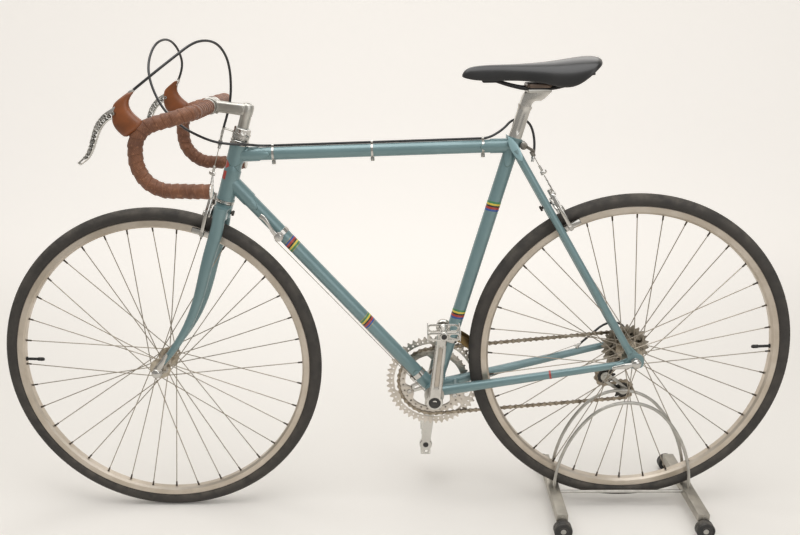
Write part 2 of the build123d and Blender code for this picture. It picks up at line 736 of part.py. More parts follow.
def make_axle(x, z, gap, lever_turn):
    """Axle with its locknuts, a round nut on one end and a closed lever on the other."""
    outer = gap / 2 + dropout_thickness
    with BuildPart() as axle:
        cylinder_across(x, z, axle_radius, -outer - axle_nut_length, outer + axle_nut_length)
        for side in (-1, 1):
            cylinder_across(x, z, axle_nut_radius, side * outer, side * (outer + axle_nut_length))
            cylinder_across(x, z, hub_end_radius - 1, side * (gap / 2 - locknut_width),
                            side * gap / 2)
        with BuildSketch(side_plane(-outer - axle_nut_length - release_lever_stand_off)):
            with Locations(Location((x, z), lever_turn)):
                SlotCenterPoint((release_lever_length / 2, 0), (release_lever_length, 0),
                                release_lever_width)
        extrude(amount=release_lever_thickness / 2, both=True)
    return axle.part


finish(make_axle(front_axle_x, front_axle_z, front_dropout_gap, front_lever_turn), "front_axle")
finish(make_axle(rear_axle_x, rear_axle_z, rear_dropout_gap, rear_lever_turn), "rear_axle")

# ================================================================================================
# Steering
# ================================================================================================
with BuildPart() as fork_crown:
    rod(on_steering(crown_bottom_along), on_steering(crown_top), head_tube_radius + 1)
    crown_middle = Plane(origin=on_steering(crown_bottom_along), x_dir=(0, 1, 0),
                         z_dir=(steer_up[0], 0, steer_up[1]))
    with BuildSketch(crown_middle):
        SlotOverall(2 * crown_half_width, crown_depth)
    extrude(amount=crown_thickness)
    rod(on_steering(crown_top), on_steering(crown_top + lower_race_height), race_radius)
    rod(on_steering(crown_top), on_steering(lock_nut_top), steerer_radius)
    rod(on_steering(crown_bolt_along, -crown_half_width),
        on_steering(crown_bolt_along, crown_half_width), brake_bolt_radius,
        mode=Mode.SUBTRACT)
finish(fork_crown.part, "fork_crown")

with BuildPart() as headset_cups:
    rod(on_steering(head_bottom - lower_cup_height + seat_gap), on_steering(head_bottom), cup_radius)
    rod(on_steering(head_top), on_steering(upper_race_bottom), cup_radius)
    rod(on_steering(crown_top), on_steering(lock_nut_top), steerer_radius + running_fit,
        mode=Mode.SUBTRACT)
finish(headset_cups.part, "headset_cups")

with BuildPart() as headset_nuts:
    rod(on_steering(upper_race_bottom + seat_gap), on_steering(upper_race_bottom + upper_race_height),
        race_radius)
    rod(on_steering(upper_race_bottom + upper_race_height), on_steering(lock_nut_top),
        race_radius - 1.5)
    rod(on_steering(crown_top), on_steering(lock_nut_top + cut_past), steerer_radius,
        mode=Mode.SUBTRACT)
finish(headset_nuts.part, "headset_nuts")


def blade_place(along):
    """How far ahead of the steering axis the blade's centre line lies, with its slope."""
    if along >= blade_bend_start:
        return 0.0, 0.0
    drop, offset = blade_bend_start - blade_bottom, blade_tip_ahead
    bend = (drop * drop + offset * offset) / (2 * offset)
    slope = asin(min(1.0, (blade_bend_start - along) / bend))
    return bend * (1 - cos(slope)), slope


def make_blade(side):
    """One tapered fork blade that curves forward to its tip."""
    stations = (crown_bottom_along, 270, blade_bend_start, 145, 100, 60, blade_bottom)
    with BuildPart() as blade:
        for along in stations:
            share = (crown_bottom_along - along) / (crown_bottom_along - blade_bottom)
            across = side * (blade_across_top + (front_end_across - blade_across_top) * share)
            ahead, slope = blade_place(along)
            up = (steer_up[0] * cos(slope) - steer_ahead[0] * sin(slope), 0,
                  steer_up[1] * cos(slope) - steer_ahead[1] * sin(slope))
            thin = max(0.0, share - 0.25) / 0.75
            long_radius = blade_radius_top + (blade_radius_tip - blade_radius_top) * thin
            short_radius = blade_width_top + (blade_radius_tip - blade_width_top) * thin
            with BuildSketch(Plane(origin=on_steering(along, ahead, across), x_dir=(0, 1, 0),
                                   z_dir=up)):
                Ellipse(short_radius, long_radius)
        loft()
    return blade.part


with BuildPart() as fork_ends:
    for side in (-1, 1):
        with BuildSketch(side_plane(side * front_end_across)):
            tip = on_steering(blade_bottom + 12, blade_tip_ahead - 4)
            with BuildLine():
                Polyline((tip[0] - 5, tip[2] + 2), (tip[0] + 7, tip[2] - 3),
                         (front_axle_x + 15, front_axle_z + 2), (front_axle_x + 7, front_axle_z - 10),
                         (front_axle_x - 9, front_axle_z - 8), (front_axle_x - 9, front_axle_z + 8),
                         close=True)
            make_face()
            with Locations((front_axle_x + fork_eyelet_place[0], front_axle_z + fork_eyelet_place[1])):
                Circle(fork_eyelet_radius)
                Circle(fork_eyelet_bore, mode=Mode.SUBTRACT)
            with Locations((front_axle_x, front_axle_z)):
                Circle(axle_radius, mode=Mode.SUBTRACT)
        extrude(amount=dropout_thickness / 2, both=True)
finish(fork_ends.part, "fork_ends")

with BuildPart() as fork_blades:
    for side in (-1, 1):
        add(make_blade(side))
    add(fork_ends.part, mode=Mode.SUBTRACT)
finish(fork_blades.part, "fork_blades")

# ---- handlebar ---------------------------------------------------------------------------------
hook_x = bar_centre_x - bar_reach
corner_across = bar_half_width - 12
right_bar = [(bar_centre_x, 0, bar_height), (bar_centre_x, corner_across, bar_height),
             (hook_x, bar_half_width, bar_height - ramp_fall),
             (hook_x, bar_half_width, bar_height - bar_drop),
             (bar_centre_x + bar_end_back, bar_half_width + 2,
              bar_height - bar_drop - bar_end_fall)]
bar_bends = [bar_corner_radius, hook_radius - 11, hook_radius - 1]
with BuildPart() as handlebar:
    for side_route in (right_bar, mirror_across(right_bar)):
        bent_rod(side_route, bar_bends, bar_radius)
finish(handlebar.part, "handlebar")

tape_route = [(bar_centre_x, tape_start_across, bar_height)] + right_bar[1:]
with BuildPart() as bar_tape:
    for side_route in (tape_route, mirror_across(tape_route)):
        bent_rod(side_route, bar_bends, tape_radius)
    add(handlebar.part, mode=Mode.SUBTRACT)
finish(bar_tape.part, "bar_tape")

with BuildPart() as stem:
    rod(on_steering(lock_nut_top), on_steering(lock_nut_top + stem_quill_length), quill_radius)
    elbow = on_steering(lock_nut_top + stem_elbow_rise)
    rod((elbow[0], 0, elbow[2]), (bar_centre_x, 0, bar_height), stem_radius)
    cylinder_across(bar_centre_x, bar_height, clamp_radius, -clamp_width / 2, clamp_width / 2)
    cylinder_across(bar_centre_x, bar_height, bar_radius + push_fit, -clamp_width, clamp_width,
                    mode=Mode.SUBTRACT)
finish(stem.part, "stem")

# side outlines of a hood and a lever, behind and above the middle of the bar
hood_outline = [(-82, -18), (-102, 18), (-99, 34), (-110, 38), (-129, 21), (-141, -14), (-116, -42)]
lever_outline = [(-126, 17), (-150, 4), (-164, -11), (-175, -30), (-180, -47), (-187, -62), (-210, -83),
                 (-205, -89), (-182, -72), (-172, -54), (-164, -37), (-154, -20), (-140, -9), (-130, -6)]
with BuildPart() as lever_hoods:
    for side in (-1, 1):
        with BuildSketch(side_plane(side * (bar_half_width - 2))):
            with BuildLine():
                Polyline(*[from_bar(*point) for point in hood_outline], close=True)
            make_face()
        extrude(amount=hood_half_width, both=True)
    fillet(lever_hoods.edges().filter_by(Axis.Y), hood_edge)
    for side_route in (tape_route, mirror_across(tape_route)):
        bent_rod(side_route, bar_bends, tape_radius, mode=Mode.SUBTRACT)
finish(lever_hoods.part, "lever_hoods")

with BuildPart() as brake_levers:
    for side in (-1, 1):
        with BuildSketch(side_plane(side * bar_half_width)):
            with BuildLine():
                Polyline(*[from_bar(*point) for point in lever_outline], close=True)
            make_face()
        extrude(amount=lever_half_width, both=True)
    add(lever_hoods.part, mode=Mode.SUBTRACT)
finish(brake_levers.part, "brake_levers")

# ================================================================================================
# Drivetrain
# ================================================================================================


def pitch_radius(teeth):
    """Radius at which a chain lies on a toothed wheel."""
    return chain_pitch / (2 * sin(pi / teeth))


inner_radius = pitch_radius(inner_ring_teeth)
outer_radius = pitch_radius(outer_ring_teeth)
pulley_radius = pitch_radius(pulley_teeth)


def toothed_disc(x, z, across, teeth, thickness, hole_radius):
    """Toothed wheel as a round disc out to the tips of its teeth."""
    with BuildSketch(side_plane(across)) as disc:
        with Locations((x, z)):
            Circle(pitch_radius(teeth) + tooth_height)
            Circle(hole_radius, mode=Mode.SUBTRACT)
    extrude(disc.sketch, amount=thickness / 2, both=True)


with BuildPart() as freewheel:
    for number, teeth in enumerate(cog_teeth):
        toothed_disc(rear_axle_x, rear_axle_z, first_cog_across - number * cog_spacing, teeth,
                     ring_thickness, axle_radius)
    cylinder_across(rear_axle_x, rear_axle_z, freewheel_body_radius, freewheel_start,
                    first_cog_across + freewheel_body_beyond)
    cylinder_across(rear_axle_x, rear_axle_z, axle_radius + running_fit, freewheel_start - cut_past,
                    first_cog_across + cut_past, mode=Mode.SUBTRACT)
finish(freewheel.part, "freewheel")

with BuildPart() as chainrings:
    toothed_disc(bracket_x, bracket_height, inner_ring_across, inner_ring_teeth, ring_thickness,
                 bolt_circle_radius - ring_rim_inside_bolts)
    toothed_disc(bracket_x, bracket_height, outer_ring_across, outer_ring_teeth, ring_thickness,
                 bolt_circle_radius - ring_rim_inside_bolts)
    bolts_at = [90 - crank_angle + 120 * number for number in range(3)]
    for angle in bolts_at:
        bolt_x = bracket_x + bolt_circle_radius * cos(radians(angle))
        bolt_z = bracket_height + bolt_circle_radius * sin(radians(angle))
        cylinder_across(bolt_x, bolt_z, ring_bolt_radius, inner_ring_across, outer_ring_across)
finish(chainrings.part, "chainrings")

crank_heading = radians(90 - crank_angle)


def make_crank(side, heading):
    """Crank arm with its boss on the spindle and its eye at the pedal."""
    along = Vector(cos(heading), 0, sin(heading))
    outward = Vector(0, side, 0)
    lean = radians(crank_lean)
    arm_along = along * cos(lean) + outward * sin(lean)
    facing = (outward * cos(lean) - along * sin(lean))
    start = Vector(bracket_x, side * crank_across, bracket_height)
    eye = start + along * crank_length + outward * crank_length * tan(lean)
    with BuildPart() as crank:
        with BuildSketch(Plane(origin=start, x_dir=arm_along, z_dir=facing)):
            with BuildLine():
                Polyline((0, crank_bar_width / 2), (crank_length, crank_bar_width / 2 - 3),
                         (crank_length, 3 - crank_bar_width / 2), (0, -crank_bar_width / 2),
                         close=True)
            make_face()
        extrude(amount=crank_thickness / 2, both=True)
        half = crank_thickness / 2
        cylinder_across(start.X, start.Z, crank_boss_radius, start.Y - side * (half + 3),
                        start.Y + side * half)
        cylinder_across(eye.X, eye.Z, crank_eye_radius, eye.Y - side * half, eye.Y + side * half)
        cylinder_across(start.X, start.Z, spindle_radius, -side * 60, side * 120,
                        mode=Mode.SUBTRACT)
        cylinder_across(eye.X, eye.Z, pedal_spindle_radius, -side * 60, side * 200,
                        mode=Mode.SUBTRACT)
    return crank.part, eye


left_crank, left_eye = make_crank(-1, crank_heading)
right_arm, right_eye = make_crank(1, crank_heading + pi)
finish(left_crank, "left_crank")

with BuildPart() as right_crank:
    add(right_arm)
    spider_across = outer_ring_across + ring_thickness / 2
    for angle in bolts_at:
        with BuildSketch(side_plane(spider_across)):
            with Locations(Location((bracket_x, bracket_height), angle)):
                with Locations((bolt_circle_radius / 2, 0)):
                    SlotCenterToCenter(bolt_circle_radius, spider_width)
        extrude(amount=-spider_thickness)
    cylinder_across(bracket_x, bracket_height, crank_boss_radius, spider_across,
                    right_eye.Y - crank_length * tan(radians(crank_lean)))
    cylinder_across(bracket_x, bracket_height, spindle_radius, 0, 120, mode=Mode.SUBTRACT)
finish(right_crank.part, "right_crank")

with BuildPart() as crank_spindle:
    cylinder_across(bracket_x, bracket_height, spindle_radius, -crank_across - 5, crank_across + 5)
finish(crank_spindle.part, "crank_spindle")

with BuildPart() as pedal_spindles:
    for side, eye in ((-1, left_eye), (1, right_eye)):
        cylinder_across(eye.X, eye.Z, pedal_spindle_radius, eye.Y - side * 5, eye.Y + side * 55)
        cylinder_across(eye.X, eye.Z, pedal_washer_radius, eye.Y + side * crank_thickness / 2,
                        eye.Y + side * (crank_thickness / 2 + pedal_washer_width))
finish(pedal_spindles.part, "pedal_spindles")


def make_pedal(side, eye, turn):
    """Cage pedal: barrel, two end plates and two serrated side plates."""
    inner = side * (abs(eye.Y) + crank_thickness / 2 + pedal_washer_width + pedal_play)
    outer = inner + side * pedal_length
    with BuildPart() as pedal:
        cylinder_across(eye.X, eye.Z, pedal_barrel_radius, inner, outer + side * 2)
        for across in (inner + side * pedal_plate / 2, outer - side * pedal_plate / 2):
            with BuildSketch(side_plane(across)):
                with Locations(Location((eye.X, eye.Z), turn)):
                    Rectangle(pedal_width, pedal_height - 6)
            extrude(amount=pedal_plate / 2, both=True)
        for edge in (-1, 1):
            with BuildSketch(side_plane((inner + outer) / 2)):
                with Locations(Location((eye.X, eye.Z), turn)):
                    with Locations((edge * (pedal_width - pedal_plate) / 2, 0)):
                        Rectangle(pedal_plate, pedal_height)
            extrude(amount=pedal_length / 2, both=True)
        cylinder_across(eye.X, eye.Z, pedal_spindle_radius + running_fit, inner - side * 5,
                        eye.Y + side * 55.5, mode=Mode.SUBTRACT)
    return pedal.part


finish(make_pedal(-1, left_eye, 0), "left_pedal")
finish(make_pedal(1, right_eye, 90), "right_pedal")


# ---- chain: plates along straight runs and round each wheel ------------------------------------
def tangent_heading(first, first_radius, first_sense, second, second_radius, second_sense):
    """Heading of the chain from one wheel to the next; sense is 1 where it turns clockwise."""
    step_x, step_z = second[0] - first[0], second[1] - first[1]
    offset = first_sense * first_radius - second_sense * second_radius
    return atan2(step_z, step_x) - asin(offset / hypot(step_x, step_z))


chain_wheels = [((bracket_x, bracket_height), inner_radius, 1, inner_ring_across),
                ((rear_axle_x, rear_axle_z), pitch_radius(cog_teeth[0]), 1, first_cog_across),
                (guide_pulley, pulley_radius, -1, first_cog_across),
                (tension_pulley, pulley_radius, 1, first_cog_across)]
chain_runs = []
for number, (centre, radius, sense, across) in enumerate(chain_wheels):
    far_centre, far_radius, far_sense, far_across = chain_wheels[(number + 1) % 4]
    heading = tangent_heading(centre, radius, sense, far_centre, far_radius, far_sense)
    normal = (-sin(heading), cos(heading))
    chain_runs.append(((centre[0] + normal[0] * radius * sense, across,
                        centre[1] + normal[1] * radius * sense),
                       (far_centre[0] + normal[0] * far_radius * far_sense, far_across,
                        far_centre[1] + normal[1] * far_radius * far_sense), heading))

with BuildPart() as chain:
    for number, (centre, radius, sense, across) in enumerate(chain_wheels):
        arriving, leaving = chain_runs[number - 1][2], chain_runs[number][2]
        first = degrees(arriving) + 90 * sense
        sweep_angle = (degrees(arriving) - degrees(leaving)) * sense % 360
        low = first - sweep_angle if sense > 0 else first
        inside, outside = radius - chain_height / 2, radius + chain_height / 2
        for side in (-1, 1):
            with BuildSketch(side_plane(across + side * (chain_gap + chain_plate) / 2)):
                with BuildLine():
                    CenterArc(centre, inside, low, sweep_angle)
                    CenterArc(centre, outside, low, sweep_angle)
                    for angle in (low, low + sweep_angle):
                        spoke = (cos(radians(angle)), sin(radians(angle)))
                        Line((centre[0] + inside * spoke[0], centre[1] + inside * spoke[1]),
                             (centre[0] + outside * spoke[0], centre[1] + outside * spoke[1]))
                make_face()
            extrude(amount=chain_plate / 2, both=True)
    for start, end, _ in chain_runs:
        heading = (Vector(*end) - Vector(*start)).normalized()
        begin, stop = Vector(*start) - heading * chain_lap, Vector(*end) + heading * chain_lap
        with BuildSketch(rod_plane(tuple(begin), tuple(stop))):
            with Locations(((chain_gap + chain_plate) / 2, 0), (-(chain_gap + chain_plate) / 2, 0)):
                Rectangle(chain_plate - 2 * chain_step, chain_height - 2 * chain_step)
        extrude(amount=(stop - begin).length)
    for start, end, _ in (chain_runs[0], chain_runs[3]):
        run = Vector(*end) - Vector(*start)
        begin, stop = Vector(*start) + run * 0.12, Vector(*start) + run * 0.88
        with BuildSketch(rod_plane(tuple(begin), tuple(stop))):
            Rectangle(chain_gap + chain_plate, chain_height / 2)
        extrude(amount=(stop - begin).length)
finish(chain.part, "chain")

# ---- rear derailleur ----------------------------------------------------------------------------
cage_heading = degrees(atan2(tension_pulley[1] - guide_pulley[1],
                             tension_pulley[0] - guide_pulley[0]))
cage_length = hypot(tension_pulley[0] - guide_pulley[0], tension_pulley[1] - guide_pulley[1])
with BuildPart() as rear_derailleur:
    for side in (-1, 1):
        with BuildSketch(side_plane(first_cog_across + side * cage_plate_offset)):
            middle = ((guide_pulley[0] + tension_pulley[0]) / 2,
                      (guide_pulley[1] + tension_pulley[1]) / 2)
            with Locations(Location(middle, cage_heading)):
                SlotCenterToCenter(cage_length, cage_plate_width)
        extrude(amount=cage_plate_thickness / 2, both=True)
    for pulley in (guide_pulley, tension_pulley):
        toothed_disc(*pulley, first_cog_across, pulley_teeth, ring_thickness, 3)
        cylinder_across(*pulley, 3, first_cog_across - 7, first_cog_across + 8)
    body_across = rear_dropout_gap / 2 + 12
    cylinder_across(*hanger_bolt, 4.9, rear_dropout_gap / 2, body_across + 4)
    cylinder_across(*hanger_bolt, 9, rear_dropout_gap / 2 + dropout_thickness, body_across + 3)
    with BuildSketch(side_plane(body_across - 6)):
        with BuildLine():
            Polyline((hanger_bolt[0] + 8, hanger_bolt[1] + 4), (hanger_bolt[0] + 4, hanger_bolt[1] - 10),
                     (guide_pulley[0] + 10, guide_pulley[1] - 10),
                     (guide_pulley[0] - 8, guide_pulley[1] - 4),
                     (guide_pulley[0] - 4, guide_pulley[1] + 14),
                     (hanger_bolt[0] - 8, hanger_bolt[1] + 8), close=True)
        make_face()
    extrude(amount=-14)
    cylinder_across(*guide_pulley, 8, first_cog_across + 6, body_across)
    rod(from_rear_end(*loop_end), (hanger_bolt[0] + 4, body_across - 1, hanger_bolt[1] + 2), 3.5)
finish(rear_derailleur.part, "rear_derailleur")

# ---- front derailleur ---------------------------------------------------------------------------
with BuildPart() as front_derailleur:
    rod(on_seat_tube(front_band_along - 6), on_seat_tube(front_band_along + 6), seat_tube_radius + 2.5)
    rod(on_seat_tube(front_band_along - 10), on_seat_tube(front_band_along + 10), seat_tube_radius,
        mode=Mode.SUBTRACT)
    for across, low, high in ((front_cage_inner_across, 40, 70), (front_cage_outer_across, 44, 68)):
        with BuildSketch(side_plane(across)):
            with BuildLine():
                inside = outer_radius + tooth_height + front_cage_gap
                outside = inside + front_cage_depth
                centre = (bracket_x, bracket_height)
                CenterArc(centre, inside, low, high - low)
                CenterArc(centre, outside, low, high - low)
                for angle in (low, high):
                    turn = (cos(radians(angle)), sin(radians(angle)))
                    Line((centre[0] + inside * turn[0], centre[1] + inside * turn[1]),
                         (centre[0] + outside * turn[0], centre[1] + outside * turn[1]))
            make_face()
        extrude(amount=front_cage_plate / 2, both=True)
    cage_top = (bracket_x + outside * cos(radians(64)) - 4, bracket_height + outside * sin(radians(64)) - 5)
    arm_root = on_seat_tube(front_band_along, 6, seat_tube_radius - 1)
    cylinder_across(*cage_top, 3.5, 35.5, 54.5)
    rod(arm_root, (cage_top[0], front_cage_inner_across, cage_top[1]), 5.5)
    rod(on_seat_tube(front_band_along - 10), on_seat_tube(front_band_along + 10), seat_tube_radius,
        mode=Mode.SUBTRACT)
finish(front_derailleur.part, "front_derailleur")

# ---- shift levers and small fittings ------------------------------------------------------------
down_heading = (Vector(*bracket) - Vector(*on_steering(down_tube_on_head))).normalized()
down_start = Vector(*on_steering(down_tube_on_head))


def on_down_tube(along, below=0.0, across=0.0):
    """Point placed along the down tube from the head, below its axis and across it."""
    under = Vector(down_heading.Z, 0, -down_heading.X)
    place = down_start + down_heading * along + under * below
    return (place.X, across, place.Z)


with BuildPart() as shift_levers:
    rod(on_down_tube(shifter_along - band_half_width), on_down_tube(shifter_along + band_half_width),
        down_tube_radius + 2)
    rod(on_down_tube(shifter_along - 9), on_down_tube(shifter_along + 9), down_tube_radius,
        mode=Mode.SUBTRACT)
    for side in (-1, 1):
        pivot = on_down_tube(shifter_along, shifter_below)
        tip = on_down_tube(shifter_along - shifter_swing, 2)
        cylinder_across(pivot[0], pivot[2], shifter_radius, side * (down_tube_radius + 1),
                        side * (down_tube_radius + shifter_boss_height))
        rod((pivot[0], side * (down_tube_radius + 5), pivot[2]),
            (tip[0], side * (down_tube_radius + 9), tip[2]), 4.5, 3)
    rod(on_down_tube(shifter_along - 90), on_down_tube(shifter_along + 60), down_tube_radius,
        mode=Mode.SUBTRACT)
finish(shift_levers.part, "shift_levers")

# ---- places on the top tube ------------------------------------------------------------------------
top_start, top_end = Vector(*on_steering(top_tube_on_head)), Vector(*on_seat_tube(top_tube_on_seat))
top_heading = (top_end - top_start).normalized()


def on_top_tube(along, above=0.0, across=0.0):
    """Point placed along the top tube from the head, above its axis and across it."""
    up = Vector(-top_heading.Z, 0, top_heading.X)
    place = top_start + top_heading * along + up * above
    return (place.X, across, place.Z)


# ================================================================================================
# Brakes
# ================================================================================================


pad_back = rim_width / 2 + pad_gap + pad_thickness


def make_brake(place, pad_along, mount_along, back):
    """Centre-pull brake: back plate, two arms, pad posts and the bolt that carries it."""
    origin, above, out = (Vector(*place(pad_along, back)), Vector(*place(pad_along + 1, back)),
                          Vector(*place(pad_along, back + 1)))
    up, facing = above - origin, out - origin
    arm_plane = Plane(origin=origin, x_dir=up.cross(facing), z_dir=facing)
    mount = mount_along - pad_along
    with BuildPart() as brake:
        with BuildSketch(arm_plane):
            with BuildLine():
                Polyline((24.5, -8), (32, -8), (36, 20), (37, 46), (30, 62), (24, 80), (16, 80),
                         (18, 66), (24, 54), (26, 30), (24.5, 10), close=True)
            make_face()
            mirror(about=Plane.YZ)
        extrude(amount=brake_arm_thickness)
        with BuildSketch(arm_plane.offset(-brake_plate_thickness)):
            with BuildLine():
                Polyline((-35, 39), (35, 39), (35, 50), (12, mount + 7), (-12, mount + 7), (-35, 50),
                         close=True)
            make_face()
        extrude(amount=brake_plate_thickness)
        rod(place(mount_along, back), place(mount_along, back + brake_arm_thickness + 4),
            brake_pivot_radius)
        for side in (-1, 1):
            pivot = pad_along + brake_pivot_rise
            rod(place(pivot, back, side * brake_pivot_across),
                place(pivot, back + brake_arm_thickness + 3, side * brake_pivot_across),
                brake_pivot_radius)
            post, post_start = place(pad_along, back + brake_arm_thickness / 2), pad_back
            cylinder_across(post[0], post[2], pad_post_radius, side * post_start,
                            side * (post_start + pad_post_length))
    return brake.part


def make_pads(place, pad_along, ahead):
    """Two brake pads, each a little off the side of the rim."""
    middle, front = Vector(*place(pad_along, ahead)), Vector(*place(pad_along, ahead + 1))
    with BuildPart() as pads:
        for side in (-1, 1):
            start = middle + Vector(0, side * (rim_width / 2 + pad_gap), 0)
            with BuildSketch(Plane(origin=start, x_dir=front - middle, z_dir=(0, side, 0))):
                Rectangle(pad_length, pad_height)
            extrude(amount=pad_thickness)
    return pads.part


def on_fork(along, ahead=0.0, across=0.0):
    """The same place as on_steering, for the brake that the fork carries."""
    return on_steering(along, ahead, across)


front_pad_ahead = front_brake_ahead + brake_arm_thickness / 2
front_pad_along = sqrt(brake_reach ** 2 - (fork_rake - front_pad_ahead) ** 2)
rear_pad_behind = rear_brake_behind + brake_arm_thickness / 2
rear_pad_along = sqrt(brake_reach ** 2 - rear_pad_behind ** 2)

with BuildPart() as front_brake:
    add(make_brake(on_fork, front_pad_along, crown_bolt_along, front_brake_ahead))
    rod(on_fork(crown_bolt_along, -front_nut_behind), on_fork(crown_bolt_along, front_brake_ahead),
        brake_bolt_radius)
    rod(on_fork(crown_bolt_along, -front_nut_behind), on_fork(crown_bolt_along, 4 - front_nut_behind),
        brake_nut_radius)
finish(front_brake.part, "front_brake")
finish(make_pads(on_fork, front_pad_along, front_pad_ahead), "front_brake_pads")

with BuildPart() as rear_brake:
    add(make_brake(on_rear_brake, rear_pad_along, brake_bridge_reach, rear_brake_behind))
    rod(on_rear_brake(brake_bridge_reach, -rear_nut_ahead),
        on_rear_brake(brake_bridge_reach, rear_brake_behind), brake_bolt_radius)
    rod(on_rear_brake(brake_bridge_reach, -rear_nut_ahead),
        on_rear_brake(brake_bridge_reach, 5 - rear_nut_ahead), brake_nut_radius)
finish(rear_brake.part, "rear_brake")
finish(make_pads(on_rear_brake, rear_pad_along, rear_pad_behind), "rear_brake_pads")

# ---- cables --------------------------------------------------------------------------------------
housing_above = top_tube_radius + housing_radius + seat_gap


def straddle(place, pad_along, carrier_along, back, wire_ahead):
    """Straddle wire, its carrier and the bare wire above it."""
    arm_middle = back + brake_arm_thickness / 2
    for side in (-1, 1):
        rod(place(pad_along + straddle_rise, back + brake_arm_thickness + 1, side * straddle_across),
            place(carrier_along - 4, wire_ahead, side * 2), wire_radius)
        rod(place(pad_along + straddle_rise - 2, arm_middle + 2, side * straddle_across),
            place(pad_along + straddle_rise + 2, back + brake_arm_thickness + 3,
                  side * straddle_across), 2.5)
    rod(place(carrier_along, wire_ahead - 4), place(carrier_along, wire_ahead + 4), carrier_radius)


front_carrier_along = front_pad_along + carrier_rise
front_cable_route = [beside_bar(*point) for point in (
    (-98, -166, 37), (-64, -160, 70), (-30, -132, 98), (-4, -96, 121), (15, -62, 125), (29, -32, 117),
    (38, -6, 95), (40, 12, 68), (39, 18, 38), (36, 18, 10), (29, 15, -18), (20, 6, -46))]
front_cable_route.append(on_steering(front_pad_along + 185, front_wire_ahead))
with BuildPart() as front_brake_cable:
    bent_rod(front_cable_route, largest_bends(front_cable_route), housing_radius)
    rod(front_cable_route[-1], on_steering(front_carrier_along, front_wire_ahead), wire_radius)
    straddle(on_fork, front_pad_along, front_carrier_along, front_brake_ahead, front_wire_ahead)
    add(front_brake.part, mode=Mode.SUBTRACT)
finish(front_brake_cable.part, "front_brake_cable")
print("front cable bends", [round(value) for value in largest_bends(front_cable_route)])

with BuildPart() as front_cable_hanger:
    hanger_along = upper_race_bottom + upper_race_height
    rod(on_steering(hanger_along - 1.5), on_steering(hanger_along + 1.5), race_radius + 1.5)
    bent_rod([on_steering(hanger_along, race_radius - 1), on_steering(hanger_along, front_wire_ahead),
              on_steering(front_pad_along + 181, front_wire_ahead)], [8], 2.5)
    rod(on_steering(front_pad_along + 181, front_wire_ahead),
        on_steering(front_pad_along + 190, front_wire_ahead), hanger_barrel_radius)
    rod(on_steering(hanger_along - 5), on_steering(hanger_along + 5), steerer_radius,
        mode=Mode.SUBTRACT)
    for piece in (headset_nuts, front_brake_cable):
        add(piece.part, mode=Mode.SUBTRACT)
finish(front_cable_hanger.part, "front_cable_hanger")

top_tube_length = (top_end - top_start).length
last_clip = top_tube_length - last_clip_back
middle_clip = top_tube_length * middle_clip_share
lever_cable_route = [beside_bar(*point) for point in (
    (-97, 166, 37), (-88, 162, 67), (-88, 138, 100), (-94, 108, 121), (-103, 76, 126), (-114, 44, 115),
    (-120, 15, 86), (-116, -6, 57), (-103, -22, 25), (-84, -33, -6), (-55, -39, -34), (-22, -38, -54),
    (12, -36, -68), (48, -29, -73), (71, -16, -75))]
lever_cable_route += [on_top_tube(first_clip - 23, housing_above),
                      on_top_tube(first_clip - 5 - seat_gap, housing_above)]
with BuildPart() as rear_brake_lever_cable:
    bent_rod(lever_cable_route, largest_bends(lever_cable_route), housing_radius)
finish(rear_brake_lever_cable.part, "rear_brake_lever_cable")
print("lever cable bends", [round(value) for value in largest_bends(lever_cable_route)])

seat_stay_length = hypot(rear_axle_x - seat_stay_start_x, seat_stay_start_z - rear_axle_z)
rear_hanger_along = seat_stay_length - rear_hanger_drop
rear_carrier_along = rear_hanger_along - rear_wire_drop
cable_end = on_rear_brake(rear_hanger_along, rear_wire_behind)
rear_cable_route = [on_top_tube(first_clip - 5, housing_above),
                    on_top_tube(last_clip + 12, housing_above), behind_seat_lug(-22.6, 8, 15.3),
                    behind_seat_lug(-5.6, 15, 33.3), behind_seat_lug(16.4, 19, 35.3),
                    behind_seat_lug(34.4, 15, 22.3), behind_seat_lug(41.4, 5, -15.7), cable_end]
with BuildPart() as rear_brake_cable:
    bent_rod(rear_cable_route, largest_bends(rear_cable_route), housing_radius)
    rod(cable_end, on_rear_brake(rear_carrier_along, rear_wire_behind), wire_radius)
    straddle(on_rear_brake, rear_pad_along, rear_carrier_along, rear_brake_behind, rear_wire_behind)
    add(rear_brake.part, mode=Mode.SUBTRACT)
finish(rear_brake_cable.part, "rear_brake_cable")
print("rear cable bends", [round(value) for value in largest_bends(rear_cable_route)])

with BuildPart() as rear_cable_hanger:
    hanger_root = (seat_tube_length - binder_drop, seat_tube_radius + 2 * binder_behind)
    rod(on_seat_tube(*hanger_root, -binder_half_width - 2), on_seat_tube(*hanger_root, -binder_half_width),
        6)
    rod((binder[0], -14, binder[2]), (cable_end[0], 0, cable_end[2]), 3)
    rod(cable_end, on_rear_brake(rear_hanger_along + 8, rear_wire_behind), hanger_barrel_radius)
    for piece in (seat_lug, rear_brake_cable, seat_stays):
        add(piece.part, mode=Mode.SUBTRACT)
finish(rear_cable_hanger.part, "rear_cable_hanger")

with BuildPart() as top_tube_clips:
    for along in (first_clip, middle_clip, last_clip):
        rod(on_top_tube(along - 4), on_top_tube(along + 4), top_tube_radius + 1.2)
        rod(on_top_tube(along - 4, housing_above), on_top_tube(along + 4, housing_above),
            housing_radius + 1.5)
    rod(on_top_tube(first_clip - 5), on_top_tube(last_clip + 5), top_tube_radius + push_fit,
        mode=Mode.SUBTRACT)
    add(rear_brake_cable.part, mode=Mode.SUBTRACT)
finish(top_tube_clips.part, "top_tube_clips")

